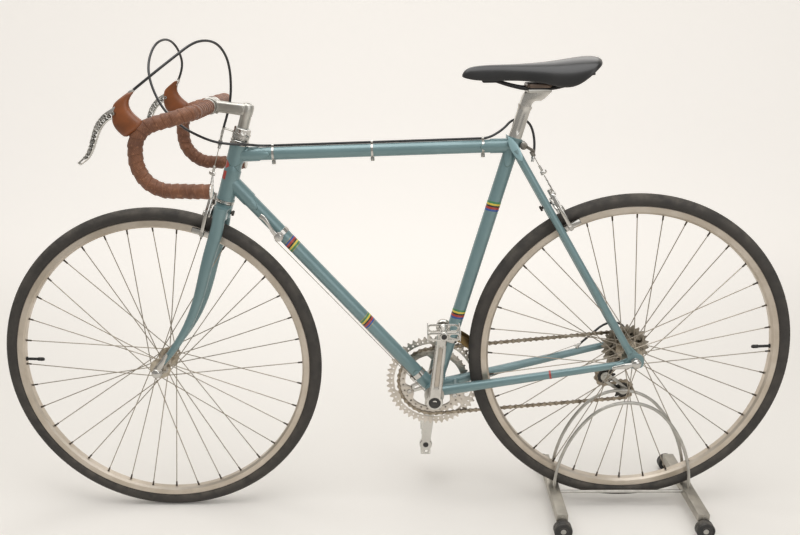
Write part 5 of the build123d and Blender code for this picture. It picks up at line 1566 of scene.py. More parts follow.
@dataclass
class DisplayStand:
    """Wheeled stand that holds the rear wheel.

    Attributes:
        spacing: Distance between the middles of its two legs.
        leg: Width of a leg.
        height: Height of a leg.
        half: Half the length of a leg.
        top: Height of the legs' upper faces.
        roller: Radius of a roller.
        roller_width: Width of a roller.
        roller_across: Place of a roller's middle across.
    """

    spacing: float = 294.0
    leg: float = 24.0
    height: float = 20.0
    half: float = 138.0
    top: float = 47.7
    roller: float = 19.0
    roller_width: float = 20.0
    roller_across: float = 150.0

    def build(self) -> None:
        """Makes every piece."""
        dress("stand_hoops", Finishes.HOOP)
        legs, brackets, wheels, pins = Shape(), Shape(), Shape(), Shape()
        centre, middle = PLACES.rear_axle.x, self.top - self.height / 2
        for end in (-1, 1):
            x = centre + end * self.spacing / 2
            legs.block((2 * self.half - 1, self.leg, self.height),
                       Matrix.Translation((x, 0, middle)) @ Matrix.Rotation(pi / 2, 4, "Z"), 1.6)
            for side in Side:
                self.leg_end(x, side, brackets, wheels, pins)
        legs.piece("stand_leg_tubes", Body.FRAME, Finishes.STAND, ("stand_legs",))
        brackets.piece("stand_brackets", Body.FRAME, Finishes.STAND)
        wheels.piece("stand_wheels", Body.FRAME, Finishes.ROLLER, ("stand_rollers",))
        pins.piece("stand_wheel_pins", Body.FRAME, Finishes.HOOP)

    def leg_end(self, x: float, side: Side, brackets: Shape, wheels: Shape, pins: Shape) -> None:
        """Turned-down end of a leg with its roller.

        Args:
            x: Middle of the leg.
            side: Its side.
            brackets: Takes the turned-down plate and its rivet.
            wheels: Takes the roller.
            pins: Takes the roller's pin.
        """
        edge = side.value * (self.half - 1.6)
        foot = self.roller - 8
        outline = [(-self.leg / 2, self.top - 1), (self.leg / 2, self.top - 1), (self.leg / 2, foot + 8),
                   (self.leg / 4, foot), (-self.leg / 4, foot), (-self.leg / 2, foot + 8)]
        brackets.plate(outline, 3.0, side_frame((x, 0), edge), bevel=0.5)
        bolt_head(brackets, side_frame((x, self.top - 8), side.value * self.half, side), 4.0, 2.4)
        place = side_frame((x, self.roller), side.value * (self.roller_across - self.roller_width / 2), side)
        wide, r = self.roller_width, self.roller
        wheels.lathe([(4.1, 0.6), (9, 0.6), (9.6, 1.6), (r - 3.5, 1.6), (r - 3, 0), (r - 1, 0.2), (r, 1.6),
                      (r, wide / 2 - 0.7), (r - 0.4, wide / 2), (r, wide / 2 + 0.7), (r, wide - 1.6),
                      (r - 1, wide - 0.2), (r - 3, wide), (r - 3.5, wide - 1.6), (9.6, wide - 1.6),
                      (9, wide - 0.6), (4.1, wide - 0.6)], place, 56)
        pins.lathe([(0, -9.6), (3.9, -9.6), (3.9, wide - 2.4), (6.2, wide - 2.3), (6.2, wide - 1.0),
                    (5.2, wide - 0.1), (0, wide - 0.1)], place, 24)


# ================================================================================================
# Studio
# ================================================================================================


@dataclass
class Studio:
    """Camera, lamps and a pale curved backdrop.

    Attributes:
        eye: Place of the camera in metres.
        yaw: Degrees that it turns to the right of straight ahead.
        pitch: Degrees that it looks down.
        roll: Degrees that it leans.
        lens: Focal length.
        shift: Framing shift.
        key: Power of the main lamp.
        fill: Power of the second lamp.
        world: Strength of the surrounding light.
    """

    eye: tuple[float, float, float] = (0.038278, -1.791035, 1.030598)
    yaw: float = -1.1734
    pitch: float = 17.4937
    roll: float = -0.7269
    lens: float = 40.223
    shift: tuple[float, float] = (0.00642, 0.04657)
    key: float = 50.0
    fill: float = 19.0
    world: float = 0.46

    def build(self) -> None:
        """Sets everything up."""
        bpy.context.scene.view_settings.view_transform = "Standard"
        self.camera()
        self.lamp("key_lamp", (-0.2, -0.35, 2.7), (3.2, 1.9), self.key)
        self.lamp("fill_lamp", (1.6, -2.7, 1.7), (2.2, 2.2), self.fill)
        self.lamp("back_lamp", (0.2, 1.7, 2.3), (1.6, 1.6), self.fill * 0.5)
        self.surroundings()
        self.backdrop()

    def camera(self) -> None:
        """Places the camera."""
        yaw, pitch, roll = (radians(value) for value in (self.yaw, self.pitch, self.roll))
        ahead = Vector((sin(yaw) * cos(pitch), cos(yaw) * cos(pitch), -sin(pitch)))
        right = Vector((cos(yaw), -sin(yaw), 0))
        up = right.cross(ahead)
        level = right * cos(roll) + up * sin(roll)
        upright = up * cos(roll) - right * sin(roll)
        data = bpy.data.cameras.new("camera")
        data.lens, data.sensor_width = self.lens, 36.0
        data.shift_x, data.shift_y = self.shift
        data.clip_start, data.clip_end = 0.05, 60.0
        made = bpy.data.objects.new("camera", data)
        rows = axes(level, upright, -ahead)
        made.matrix_world = Matrix.Translation(self.eye) @ rows
        bpy.context.scene.collection.objects.link(made)
        bpy.context.scene.camera = made

    def lamp(self, name: str, place: Point, size: tuple[float, float], power: float) -> None:
        """Adds a large soft lamp that faces the bicycle.

        Args:
            name: Its name.
            place: Where it hangs.
            size: Its width and depth.
            power: Its power in watts.
        """
        data = bpy.data.lights.new(name, "AREA")
        data.shape, data.size, data.size_y, data.energy = "RECTANGLE", size[0], size[1], power
        made = bpy.data.objects.new(name, data)
        aim = (Vector((0, 0, 0.45)) - Vector(place)).to_track_quat("-Z", "Y").to_matrix().to_4x4()
        made.matrix_world = Matrix.Translation(place) @ aim
        bpy.context.scene.collection.objects.link(made)

    def surroundings(self) -> None:
        """Plain pale light from all round."""
        world = bpy.data.worlds.new("studio")
        bpy.context.scene.world = world
        world.use_nodes = True
        net = Net(world.node_tree)
        light = net.put("ShaderNodeBackground", {"Color": shade("f4f2ee"), "Strength": self.world})
        net.put("ShaderNodeOutputWorld", {"Surface": light.outputs[0]})

    def backdrop(self) -> None:
        """Floor that curves up into a wall behind the bicycle, with a painted glow that camera, glossy and
        transmission rays see, brighter towards the wall.
        """
        near, far, bend, rise, half_width = -8.0, 2.5, 1.6, 7.0, 12.0
        verts = []
        for n in range(40):
            if n < 12:
                y, z = near + (far - near) * n / 11, 0.0
            elif n < 28:
                angle = pi / 2 * (n - 11) / 17
                y, z = far + bend * sin(angle), bend * (1 - cos(angle))
            else:
                y, z = far + bend, bend + rise * (n - 27) / 12
            verts += [Vector((x, y, z)) for x in (-half_width, half_width)]
        mesh = bpy.data.meshes.new("studio_sweep")
        mesh.from_pydata(verts, [], [(2 * n, 2 * n + 1, 2 * n + 3, 2 * n + 2) for n in range(39)])
        mesh.polygons.foreach_set("use_smooth", [True] * len(mesh.polygons))
        made = bpy.data.objects.new("studio_sweep", mesh)
        bpy.context.scene.collection.objects.link(made)
        paper = bpy.data.materials.new("studio_paper")
        paper.use_nodes = True
        net = Net(paper.node_tree)
        surface = net.put("ShaderNodeBsdfPrincipled", {"Base Color": shade("ece8e2"), "Roughness": 0.9})
        place = net.put("ShaderNodeSeparateXYZ", {0: net.put("ShaderNodeNewGeometry").outputs["Position"]})
        # painted light: a glow on the backdrop that rises from the floor towards the wall
        lift = net.sum("ADD", 0.07, net.sum("MULTIPLY", net.steps(place.outputs[1], 0.3, 2.8), 0.42))
        painted_glow = net.put("ShaderNodeEmission", {"Color": shade("f0ece8"), "Strength": lift})
        path = net.put("ShaderNodeLightPath")
        seen = net.sum("MAXIMUM", path.outputs["Is Camera Ray"], path.outputs["Is Glossy Ray"])
        seen = net.sum("MAXIMUM", seen, path.outputs["Is Transmission Ray"])
        both = net.put("ShaderNodeAddShader", {0: surface.outputs[0], 1: painted_glow.outputs[0]})
        mixed = net.put("ShaderNodeMixShader", {0: seen, 1: surface.outputs[0], 2: both.outputs[0]})
        net.put("ShaderNodeOutputMaterial", {"Surface": mixed.outputs[0]})
        mesh.materials.append(paper)


# ================================================================================================
# Steering and cockpit
# ================================================================================================


@dataclass
class Cockpit:
    """Headset, stem, taped handlebar, hoods and brake levers.

    Attributes:
        bar: Clamped middle of the handlebar, in the wheel plane.
        bar_radius: Radius of the bar.
        half_width: Place across of the hooks.
        wrap: Width of one turn of tape.
        step: Distance between points along the tape.
        lock_nut: Top of the lock nut, up the steering axis.
    """

    bar: tuple[float, float] = (-356.0, 880.0)
    bar_radius: float = 12.0
    half_width: float = 178.0
    wrap: float = 15.0
    step: float = 1.5
    lock_nut: float = 534.5

    def build(self) -> None:
        """Makes every piece."""
        dress("handlebar", Finishes.POLISHED)
        self.headset()
        self.stem()
        for side in Side:
            self.tape(side)
            self.hood(side)
            self.lever(side)

    def headset(self) -> None:
        """Cups, races, knurled ring and lock nut, turned and polished."""
        axis = PLACES.steering
        low, high = axis.cross_frame(376.8), axis.cross_frame(500.5)
        cups = Shape()
        cups.lathe([(12.8, 0.4), (17.4, 0.4), (18.6, 1.4), (18.9, 3.6), (17.6, 4.6), (18.4, 5.4), (18.9, 6.4),
                    (18.9, 7.4), (16.2, 7.6)], low, 64)
        cups.lathe([(16.2, 0.1), (18.9, 0.3), (18.9, 1.5), (17.4, 2.4), (17.2, 4.6), (18.6, 5.6), (18.9, 7.8),
                    (18.2, 8.8), (12.8, 8.8)], high, 64)
        cups.piece("headset_cup_shells", Body.FRAME, Finishes.CHROME, ("headset_cups",))

        def flats(angle: float, height: float) -> float:
            """Eight flats on the lock nut."""
            return 0.93 / cos((angle % (TURN / 8)) - TURN / 16) if height > 14.6 else 1.0

        def knurl(angle: float, height: float) -> float:
            """Fine knurl on the threaded race."""
            return 1.0 - 0.02 * (sin(angle * 40) > 0) if 4.5 < height < 10.5 else 1.0

        nuts = Shape()
        nuts.lathe([(12.9, 0.4), (15.6, 0.4), (17.3, 1.6), (17.3, 3.0), (16.0, 3.8), (16.0, 4.6), (17.3, 5.0),
                    (17.3, 10.2), (16.2, 10.8), (16.6, 12.4), (12.9, 12.4)], axis.cross_frame(509.8), 160,
                   knurl)
        nuts.lathe([(12.9, 13.2), (15.6, 13.2), (16.6, 14.2), (16.9, 14.8), (16.9, 22.8), (15.8, 24.0),
                    (14.6, 24.6), (12.9, 24.7)], axis.cross_frame(509.8), 96, flats)
        nuts.piece("headset_top_nuts", Body.STEERING, Finishes.CHROME, ("headset_nuts",))

    def stem(self) -> None:
        """Forged stem: quill, squared elbow, extension with a sunk panel, and the bar clamp."""
        axis = PLACES.steering
        bar = in_plane(self.bar)
        elbow = axis.at(self.lock_nut + 36.0)
        quill = Shape()
        quill.lathe([(11.0, 0), (11.0, 24), (12.0, 27), (12.3, 33), (12.2, 43), (10.4, 47.2), (8.2, 48.6),
                     (5.2, 48.8), (5.2, 45.0), (0, 45.0)], axis.cross_frame(self.lock_nut), 40)
        bolt_head(quill, axis.cross_frame(self.lock_nut + 44.6), 4.8, 3.0, 2.6)
        heading = (bar - elbow).normalized()
        rings, length = [], (bar - elbow).length
        for share, wide, tall in ((-0.02, 10.6, 11.6), (0.02, 11.8, 12.4), (0.2, 11.6, 12.0),
                                  (0.5, 10.6, 11.2), (0.78, 10.4, 11.4), (0.92, 11.4, 13.4)):
            place = heading_frame(elbow + heading * length * share, heading)
            section = oval(Vector(), Vector((tall, 0, 0)), sidelong(wide), 32, 3.4)
            rings.append([place @ point for point in section])
        quill.loft(rings)
        panel_turn = degrees(atan2(heading.z, heading.x))
        for side in Side:
            middle = elbow + heading * length * 0.47
            place = side_frame(middle, side.value * 11.6, Side.LEFT, panel_turn)
            quill.plate(slot_outline((-20, 0), (20, 0), 8.4), 1.6, place,
                        (slot_outline((-19, 0), (19, 0), 6.0),), 0.5)
        across = side_frame(bar, -15.0, Side.RIGHT)
        quill.lathe([(12.1, 0.2), (15.2, 0.2), (16.4, 1.4), (16.6, 3.2), (15.6, 5.0), (15.6, 25.0),
                     (16.6, 26.8), (16.4, 28.6), (15.2, 29.8), (12.1, 29.8)], across, 56)
        bolt_head(quill, side_frame((bar.x + 12.5, bar.z - 11.5), -7.5), 3.8, 3.0, 2.1)
        quill.piece("stem_forging", Body.STEERING, Finishes.ALLOY, ("stem",))

    def route(self, side: Side) -> list[Vector]:
        """Middle line of one side of the bar, from the clamp to its end.

        Args:
            side: The side.

        Returns:
            Evenly spaced points.
        """
        x, z = self.bar
        s, wide = side.value, self.half_width
        corners = [(x, s * 27.0, z), (x, s * (wide - 12), z), (x - 104, s * wide, z - 26),
                   (x - 104, s * wide, z - 136), (x + 28, s * (wide + 2), z - 139)]
        return even_path(rounded_path(corners, (36, 49, 59), 10), self.step)

    def tape(self, side: Side) -> None:
        """Overlapping turns of perforated tape with a plug at the end.

        Args:
            side: The side of the bar.
        """
        line = self.route(side)
        sides, holes_round = 32, 26.0
        verts, faces, marks = [], [], []
        for n, place in enumerate(path_frames(line)):
            for k in range(sides):
                angle = TURN * k / sides
                turned = (self.step * n / self.wrap + side.value * k / sides) % 1.0
                lip = min(1.0, (1.0 - turned) / 0.06)
                size = self.bar_radius + 0.7 + 1.8 * turned * lip ** 0.5 + 0.2 * sin(5 * angle + n * 0.21)
                verts.append(place @ Vector((size * cos(angle), size * sin(angle), 0)))
        for n in range(len(line) - 1):
            for k in range(sides):
                far = (k + 1) % sides
                faces.append((n * sides + k, n * sides + far, (n + 1) * sides + far, (n + 1) * sides + k))
                for row, column in ((n, k), (n, k + 1), (n + 1, k + 1), (n + 1, k)):
                    across = self.step * row / self.wrap + side.value * column / sides
                    marks.append((across, holes_round * column / sides))
        made = Shape().add(verts, faces)
        for ring in (verts[:sides], verts[-sides:]):
            made.add(ring, [tuple(range(sides))])
        made.piece(f"tape_wraps_{side.label}", Body.STEERING, Finishes.TAPE, ("bar_tape",), marks=marks)
        end, before = line[-1], line[-2]
        plug = Shape().lathe([(0, -8), (10, -8), (10, 0), (13.2, 0.1), (13.6, 1.2), (13.0, 2.6), (9.5, 3.6),
                              (0, 3.9)], heading_frame(end, end - before), 36)
        plug.piece(f"bar_plug_{side.label}", Body.STEERING, Finishes.PLUG)
        band = Shape().lathe([(12.2, -4.5), (14.3, -4.5), (14.7, -3.8), (14.7, 3.8), (14.3, 4.5),
                              (12.2, 4.5)], heading_frame(line[0], line[1] - line[0]), 40)
        band.piece(f"tape_end_band_{side.label}", Body.STEERING, Finishes.PLUG)

    def hood(self, side: Side) -> None:
        """Soft lever hood that swells from the bar to its horn.

        Args:
            side: The side of the bar.
        """
        x, z = self.bar
        middle = side.value * (self.half_width - 1)
        rows = (((-116.5, -42.5), (-82.0, -16.5), 13.4), ((-126.0, -34.5), (-84.5, -11.5), 14.0),
                ((-136.0, -23.5), (-92.0, -5.5), 13.6), ((-140.2, -13.0), (-99.5, 1.0), 12.6),
                ((-139.6, -1.0), (-104.5, 7.0), 11.4), ((-138.4, 10.0), (-107.5, 13.0), 10.2),
                ((-136.6, 17.8), (-109.0, 19.5), 9.2), ((-129.8, 24.6), (-107.4, 26.0), 8.2),
                ((-121.5, 30.4), (-104.4, 32.0), 7.2), ((-114.5, 35.6), (-100.6, 36.6), 6.2),
                ((-109.6, 38.8), (-98.6, 39.6), 5.2))
        rings = []
        for n, (front, back, half) in enumerate(rows):
            inward = 9.0 * (n / (len(rows) - 1)) ** 2 * side.value
            centre = Vector((x + (front[0] + back[0]) / 2, middle - inward, z + (front[1] + back[1]) / 2))
            reach = Vector(((back[0] - front[0]) / 2, 0, (back[1] - front[1]) / 2))
            rings.append(oval(centre, reach, sidelong(half), 28, 2.5))
        Shape().loft(rings).piece(f"hood_{side.label}", Body.STEERING, Finishes.HOOD, ("lever_hoods",),
                                  sharp=180, subdivide=1)

    def lever(self, side: Side) -> None:
        """Drilled brake lever, curved twice, with its pivot and a dark core inside it that paints shade into
        its holes.

        Args:
            side: The side of the bar.
        """
        x, z = self.bar
        middle = side.value * self.half_width
        front = smooth_path([(-128, 0, 17), (-146, 0, 8), (-160, 0, -3), (-172, 0, -18), (-180, 0, -38),
                             (-186, 0, -58), (-194, 0, -72), (-210, 0, -84)], 5)
        rear = smooth_path([(-205, 0, -88.6), (-190, 0, -80), (-180, 0, -66), (-171, 0, -46), (-164, 0, -30),
                            (-154, 0, -16), (-142, 0, -7), (-129, 0, -4)], 5)
        outline = seen_flat(front + rear)
        steps = 17
        holes, shade_line = [], []
        for n in range(steps):
            share = 0.12 + 0.78 * n / (steps - 1)
            a = front[round(share * (len(front) - 1))]
            b = rear[round((1 - share) * (len(rear) - 1))]
            width = (a - b).length
            mid = (a + b) / 2
            for shift in ((-0.1, 0.26) if width > 14 else (0.2,)):
                centre = mid + (a - b) * shift
                holes.append(circle_outline(1.35 if width > 9 else 1.1, 12, (centre.x, centre.z)))
            shade_line.append(Vector((x, middle, z)) + mid + (a - b) * (0.08 if width > 14 else 0.2))
        # painted shade: a dark core inside the blade makes the drilled holes read as shaded
        inside = Shape().tube(shade_line, lambda part, angle: 5.4 - 3.4 * min(1.0, part / 0.3), 12, squash=0.4)
        inside.piece(f"lever_core_{side.label}", Body.STEERING, Finishes.DARK_STEEL)
        made = Shape().plate(outline, 10.4, side_frame(self.bar, middle), holes, 1.9)
        made.piece(f"brake_lever_{side.label}", Body.STEERING, Finishes.POLISHED, ("brake_levers",), sharp=50)
        pin = Shape()
        for way in Side:
            place = side_frame((x - 133.0, z + 4.0), middle + way.value * 5.0, way)
            bolt_head(pin, place, 3.6, 9.6, 1.6)
        pin.piece(f"lever_pivot_{side.label}", Body.STEERING, Finishes.CHROME)


# ================================================================================================
# Seat
# ================================================================================================


@dataclass
class Seat:
    """Fluted post, rail clamp, rails and the padded saddle.

    Attributes:
        post_radius: Radius of the post.
        post_high: Its top.
        rail_height: Height of the rails at the clamp.
        rail_across: Place across of a rail at the clamp.
        clamp_front: Front of the clamp along the bicycle.
    """

    post_radius: float = 13.2
    post_high: float = 624.0
    rail_height: float = 907.0
    rail_across: float = 22.0
    clamp_front: float = 266.5

    def build(self) -> None:
        """Makes every piece."""
        dress("saddle_rails", Finishes.RAIL)
        self.post()
        self.clamp()
        self.saddle()

    def post(self) -> None:
        """Post with flutes down its sides and a forged neck."""
        def flutes(angle: float, height: float) -> float:
            """Eight shallow flutes between two plain bands."""
            fade = max(0.0, min(1.0, (height - 566) / 9, (618 - height) / 9))
            return 1.0 - 0.09 * fade * max(0.0, cos(4 * angle)) ** 1.5

        profile = [(0, 466)] + [(self.post_radius, 467 + n * 3.0) for n in range(50)]
        profile += [(self.post_radius, self.post_high - 6), (self.post_radius + 1.4, self.post_high - 2),
                    (self.post_radius + 1.4, self.post_high + 1), (9.0, self.post_high + 3),
                    (0, self.post_high + 3)]
        profile = [point for n, point in enumerate(profile)
                   if n < 1 or point[1] > profile[n - 1][1] or point[0] == 0]
        made = Shape().lathe(profile, PLACES.seat.cross_frame(0), 96, flutes)
        neck = smooth_path([(-17, 0, -38), (-14.5, 0, -24), (-9.5, 0, -12), (-3.5, 0, -3.4), (8, 0, -3),
                            (39, 0, -3), (44, 0, -4.6), (43, 0, -9.5), (37.5, 0, -15), (31, 0, -21),
                            (25, 0, -24.2), (14, 0, -24.6), (9.4, 0, -27.4), (6.4, 0, -33), (5.6, 0, -38)], 4,
                           closed=True)
        made.plate(seen_flat(neck), 24.0, side_frame((self.clamp_front, self.rail_height), 0), bevel=4.0)
        made.piece("seat_post_forging", Body.FRAME, Finishes.POLISHED, ("seat_post",))

    def clamp(self) -> None:
        """Clamp plates over the rails with one six-sided bolt head below them."""
        x = self.clamp_front + 18.6
        lower, upper = Shape(), Shape()
        wide = 2 * self.rail_across + 18
        lower.block((46, wide, 6.4), Matrix.Translation((x, 0, self.rail_height - 4.2)), 1.4)
        upper.block((47, wide, 9.2), Matrix.Translation((x, 0, self.rail_height + 5.4)), 3.4)
        under = Matrix.Translation((x + 4, 0, self.rail_height - 22)) @ Matrix.Rotation(pi, 4, "X")
        lower.lathe([(0, -6), (5.4, -6), (5.4, 2.4), (3.0, 3.0), (0, 3.0)], under, 6)
        lower.piece("rail_clamp_lower", Body.FRAME, Finishes.ALLOY)
        upper.piece("rail_clamp_upper", Body.FRAME, Finishes.CLAMP)

    def saddle(self) -> None:
        """Narrow racing saddle: padded cover, wrapped edge and its base below."""
        stations = (  # behind, half width, top, lowest edge, lift of the middle of its base
            (137.6, 3.0, 933.0, 929.0, 0), (140.6, 9.0, 939.5, 927.0, 0), (149, 14.0, 946.5, 924.6, 1),
            (164, 16.4, 949.8, 921.6, 2), (190, 17.6, 951.6, 920.2, 4), (220, 20.6, 952.2, 920.6, 5),
            (248, 27.5, 953.0, 920.4, 6), (276, 37.5, 954.6, 918.6, 8), (300, 48.5, 956.6, 913.4, 14),
            (320, 58.0, 959.0, 907.6, 22), (338, 65.0, 961.8, 906.4, 26), (354, 70.0, 964.0, 912.0, 24),
            (370, 73.0, 965.8, 924.0, 16), (384, 71.5, 966.2, 938.0, 8), (395, 62.0, 964.8, 948.4, 3),
            (401, 44.0, 961.8, 953.4, 1))
        cover, base = Shape(), Shape()
        rings = []
        for behind, half, top, low, lift in stations:
            ring = []
            for n in range(17):
                angle = pi * (n / 16 - 0.5)
                across, up = sin(angle), cos(angle)
                groove = 0.9 * exp(-(across / 0.12) ** 2) if 190 < behind < 380 else 0.0
                ring.append(Vector((behind, half * copysign(abs(across) ** 0.84, across),
                                    low + (top - low) * up ** 0.7 - groove)))
            ring += [Vector((behind, half * share, low + lift * (1 - share * share) + 1.5))
                     for share in (0.86, 0.6, 0.25, -0.25, -0.6, -0.86)]
            rings.append(ring)
        cover.loft(rings)
        made = cover.piece("saddle_cover", Body.FRAME, Finishes.SADDLE, ("saddle",), sharp=180, subdivide=2)
        base.block((46, 78, 5), Matrix.Translation((366, 0, 934)), 2.0)
        base.block((30, 26, 6), Matrix.Translation((192, 0, 921)), 2.0)
        base.piece("saddle_base_blocks", Body.FRAME, Finishes.SADDLE_BASE)


# ================================================================================================
# Cables
# ================================================================================================


@dataclass
class Cables:
    """Brake and gear housings on smooth lines, with their ferrules, clips, hangers and guides.

    Attributes:
        radius: Radius of a housing.
        wire: Radius of a bare wire.
        over_tube: Height of the housing over the top tube's axis.
        front_stop: End of the front housing, up the steering axis and ahead of it.
        rear_stop: End of the rear housing, up the seat stays' line and behind it.
        rear_barrel: Middle of the rear hanger's barrel on the same line.
    """

    radius: float = 2.5
    wire: float = 0.8
    over_tube: float = 15.8
    front_stop: tuple[float, float] = (493.5, 37.0)
    rear_stop: tuple[float, float] = (468.35, 26.0)
    rear_barrel: tuple[float, float] = (472.0, 26.0)

    FRONT = ((-458, -167, 921), (-420, -160, 950), (-386, -132, 978), (-360, -96, 1001), (-341, -62, 1005),
             (-327, -32, 997), (-318, -6, 975), (-316, 12, 948), (-317, 18, 918), (-320, 18, 890),
             (-327, 15, 862), (-336, 6, 834))
    LEVER = ((-458, 167, 921), (-444, 162, 947), (-444, 138, 980), (-450, 108, 1001), (-459, 76, 1006),
             (-470, 44, 995), (-476, 15, 966), (-472, -6, 937), (-459, -22, 905), (-440, -33, 874),
             (-411, -39, 846), (-378, -38, 826), (-344, -36, 812), (-308, -29, 807), (-285, -16, 805))
    REAR = ((221, 8, 827), (238, 15, 845), (260, 19, 847), (278, 15, 834), (285, 5, 796))
    GEAR = ((404, 55, 357), (430, 63, 376), (456, 72, 396), (486, 78, 400), (510, 79, 384), (513, 75, 348))

    def build(self) -> None:
        """Makes every piece."""
        steering, top, stay = PLACES.steering, PLACES.top, PLACES.stay
        black = Finishes.SLEEVE
        front = smooth_path([*self.FRONT, steering.at(*self.front_stop)], 10)
        Shape().tube(front, self.radius, 14).piece("front_brake_housing", Body.STEERING, black,
                                                   ("front_brake_cable",))
        lever = smooth_path([*self.LEVER, top.at(51, self.over_tube), top.at(68.7, self.over_tube)], 10)
        made = Shape().tube(lever, self.radius, 14).piece("rear_brake_housing_front", None, black,
                                                          ("rear_brake_lever_cable",))
        start, end = Vector(self.LEVER[9]) * MM, top.at(60, self.over_tube) * MM
        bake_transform(made)
        rear = smooth_path([top.at(69, self.over_tube), top.at(300, self.over_tube),
                            top.at(480, self.over_tube), top.at(504, self.over_tube), *self.REAR,
                            stay.at(*self.rear_stop)], 10)
        Shape().tube(rear, self.radius, 14).piece("rear_brake_housing", Body.FRAME, black,
                                                  ("rear_brake_cable",))
        loop = smooth_path(self.GEAR, 10)
        Shape().tube(loop, self.radius, 14).piece("gear_housing_loop", Body.FRAME, black, ("gear_cables",))
        self.ferrules(front, lever, rear, loop)
        self.clips()
        self.hangers()
        self.wires()

    def ferrules(self, *lines: Sequence[Vector]) -> None:
        """Bright caps on the ends of the housings.

        Args:
            *lines: Their middle lines: front brake, rear brake to the top tube, rear brake and gear loop.
        """
        front, lever, rear, loop = lines
        profile = [(0, -13.0), (3.0, -13.0), (3.0, -7.0), (3.9, -6.4), (3.9, -2.6), (3.2, -2.0), (3.2, 2.4),
                   (3.0, 3.0), (2.5, 3.1)]
        steering, frame_side = Shape(), Shape()
        for shape, here, there in ((steering, front[0], front[1]), (steering, front[-1], front[-2]),
                                   (steering, lever[0], lever[1]), (frame_side, rear[-1], rear[-2]),
                                   (frame_side, loop[0], loop[1]), (frame_side, loop[-1], loop[-2])):
            shape.lathe(profile, heading_frame(here, there - here), 20)
        steering.piece("ferrules_steering", Body.STEERING, Finishes.CHROME)
        frame_side.piece("ferrules_frame", Body.FRAME, Finishes.CHROME)

    def clips(self) -> None:
        """Three chromed bands that hold the rear brake housing on the top tube, each with its screw."""
        top, half, made = PLACES.top, 2.4, Shape()
        over, down = Run(top.at(0, self.over_tube), top.along, top.aside), -top.aside
        for along in (74.0, 272.0, 492.0):
            sleeve(made, top, 13.0, along - half, along + half, 1.0, 48, 0.6)
            sleeve(made, over, self.radius + 0.2, along - half, along + half, 0.9, 24, 0.6)
            ear = heading_frame(top.at(along, -13.6), down)
            made.block((7.6, 4.4, 8.0), Matrix.Translation(down * 4.0) @ ear, 0.6)
            made.lathe([(0, 0), (3.1, 0), (3.2, 2.2), (2.4, 3.0), (0, 3.2)],
                       side_frame(top.at(along, -18.0), -2.4), 20)
        made.piece("top_tube_bands", Body.FRAME, Finishes.CHROME, ("top_tube_clips",))

    def hangers(self) -> None:
        """Hooked hanger under the headset nut and the small one at the seat binder bolt."""
        steering, stay, seat = PLACES.steering, PLACES.stay, PLACES.seat
        front = Shape()
        front.lathe([(13.0, -1.4), (18.6, -1.4), (19.0, -0.6), (19.0, 0.6), (18.6, 1.4), (13.0, 1.4)],
                    steering.cross_frame(522.5), 48)
        hook = smooth_path([steering.at(522.5, 17.0), steering.at(523.2, 27), steering.at(523, 36),
                            steering.at(516, 38.4), steering.at(505, 37), steering.at(489.5, 37)], 8)
        front.tube(hook, 2.4, 12, squash=1.5)
        front.lathe([(1.2, -5), (4.0, -5), (4.3, -4), (4.3, 4), (4.0, 5), (1.2, 5)],
                    steering.cross_frame(493, 37), 24)
        front.piece("front_hanger", Body.STEERING, Finishes.CHROME, ("front_cable_hanger",))
        rear, bolt, end = Shape(), seat.at(550.0, 26.0), stay.at(*self.rear_barrel)
        rear.tube(smooth_path([bolt + sidelong(-13.2), bolt.lerp(end, 0.4) + Vector((4, -9, 0)),
                               end + Vector((2, -1, 6)), end], 8), 3.0, 12, squash=1.3)
        rear.lathe([(1.2, -6), (4.0, -6), (4.3, -5), (4.3, 5), (4.0, 6), (1.2, 6)],
                   stay.cross_frame(*self.rear_barrel), 24)
        rear.piece("rear_hanger", Body.FRAME, Finishes.STEEL, ("rear_cable_hanger",))
        binder, place = Shape(), seat.at(550.0, 20.0)
        for side in Side:
            binder.lathe([(0, -1), (7.2, -1), (7.6, 0), (7.6, 2.6), (6.2, 3.8), (3.0, 4.0), (3.0, 2.4),
                          (0, 2.4)], side_frame(place, side.value * 11.0, side), 28)
        binder.piece("binder_bolt", Body.FRAME, Finishes.STEEL, slot=Slot.CHROME)

    def wires(self) -> None:
        """Bare wires of the gears and brakes with the guide under the down tube."""
        down = PLACES.down
        guide = (PLACES.bracket - down.foot).length - 41
        made = Shape()
        stop = Vector(self.GEAR[0])
        line = (down.at(guide, 17, 5), PLACES.bracket + Vector((12, 8, -21)), stop + Vector((-40, -6, -12)),
                stop)
        runs = [(down.at(148, 16.8, side.value * 17), down.at(guide, 17, side.value * 5)) for side in Side]
        runs += [*zip(line, line[1:]), (down.at(guide, 17, -5), PLACES.bracket + Vector((-4, -5, -21)))]
        rods(made, runs, self.wire, 8).piece("gear_wires", Body.FRAME, Finishes.WIRE)
        steering, stay = PLACES.steering, PLACES.stay
        Shape().tube([stay.at(*self.rear_stop), stay.at(428.4, 26)], self.wire, 8).piece(
            "rear_brake_wire", Body.FRAME, Finishes.WIRE)
        Shape().tube([steering.at(*self.front_stop), steering.at(428.5, 37)], self.wire, 8).piece(
            "front_brake_wire", Body.STEERING, Finishes.WIRE)
        dress("cable_guides", Finishes.CHROME)


# ================================================================================================
# Drivetrain
# ================================================================================================


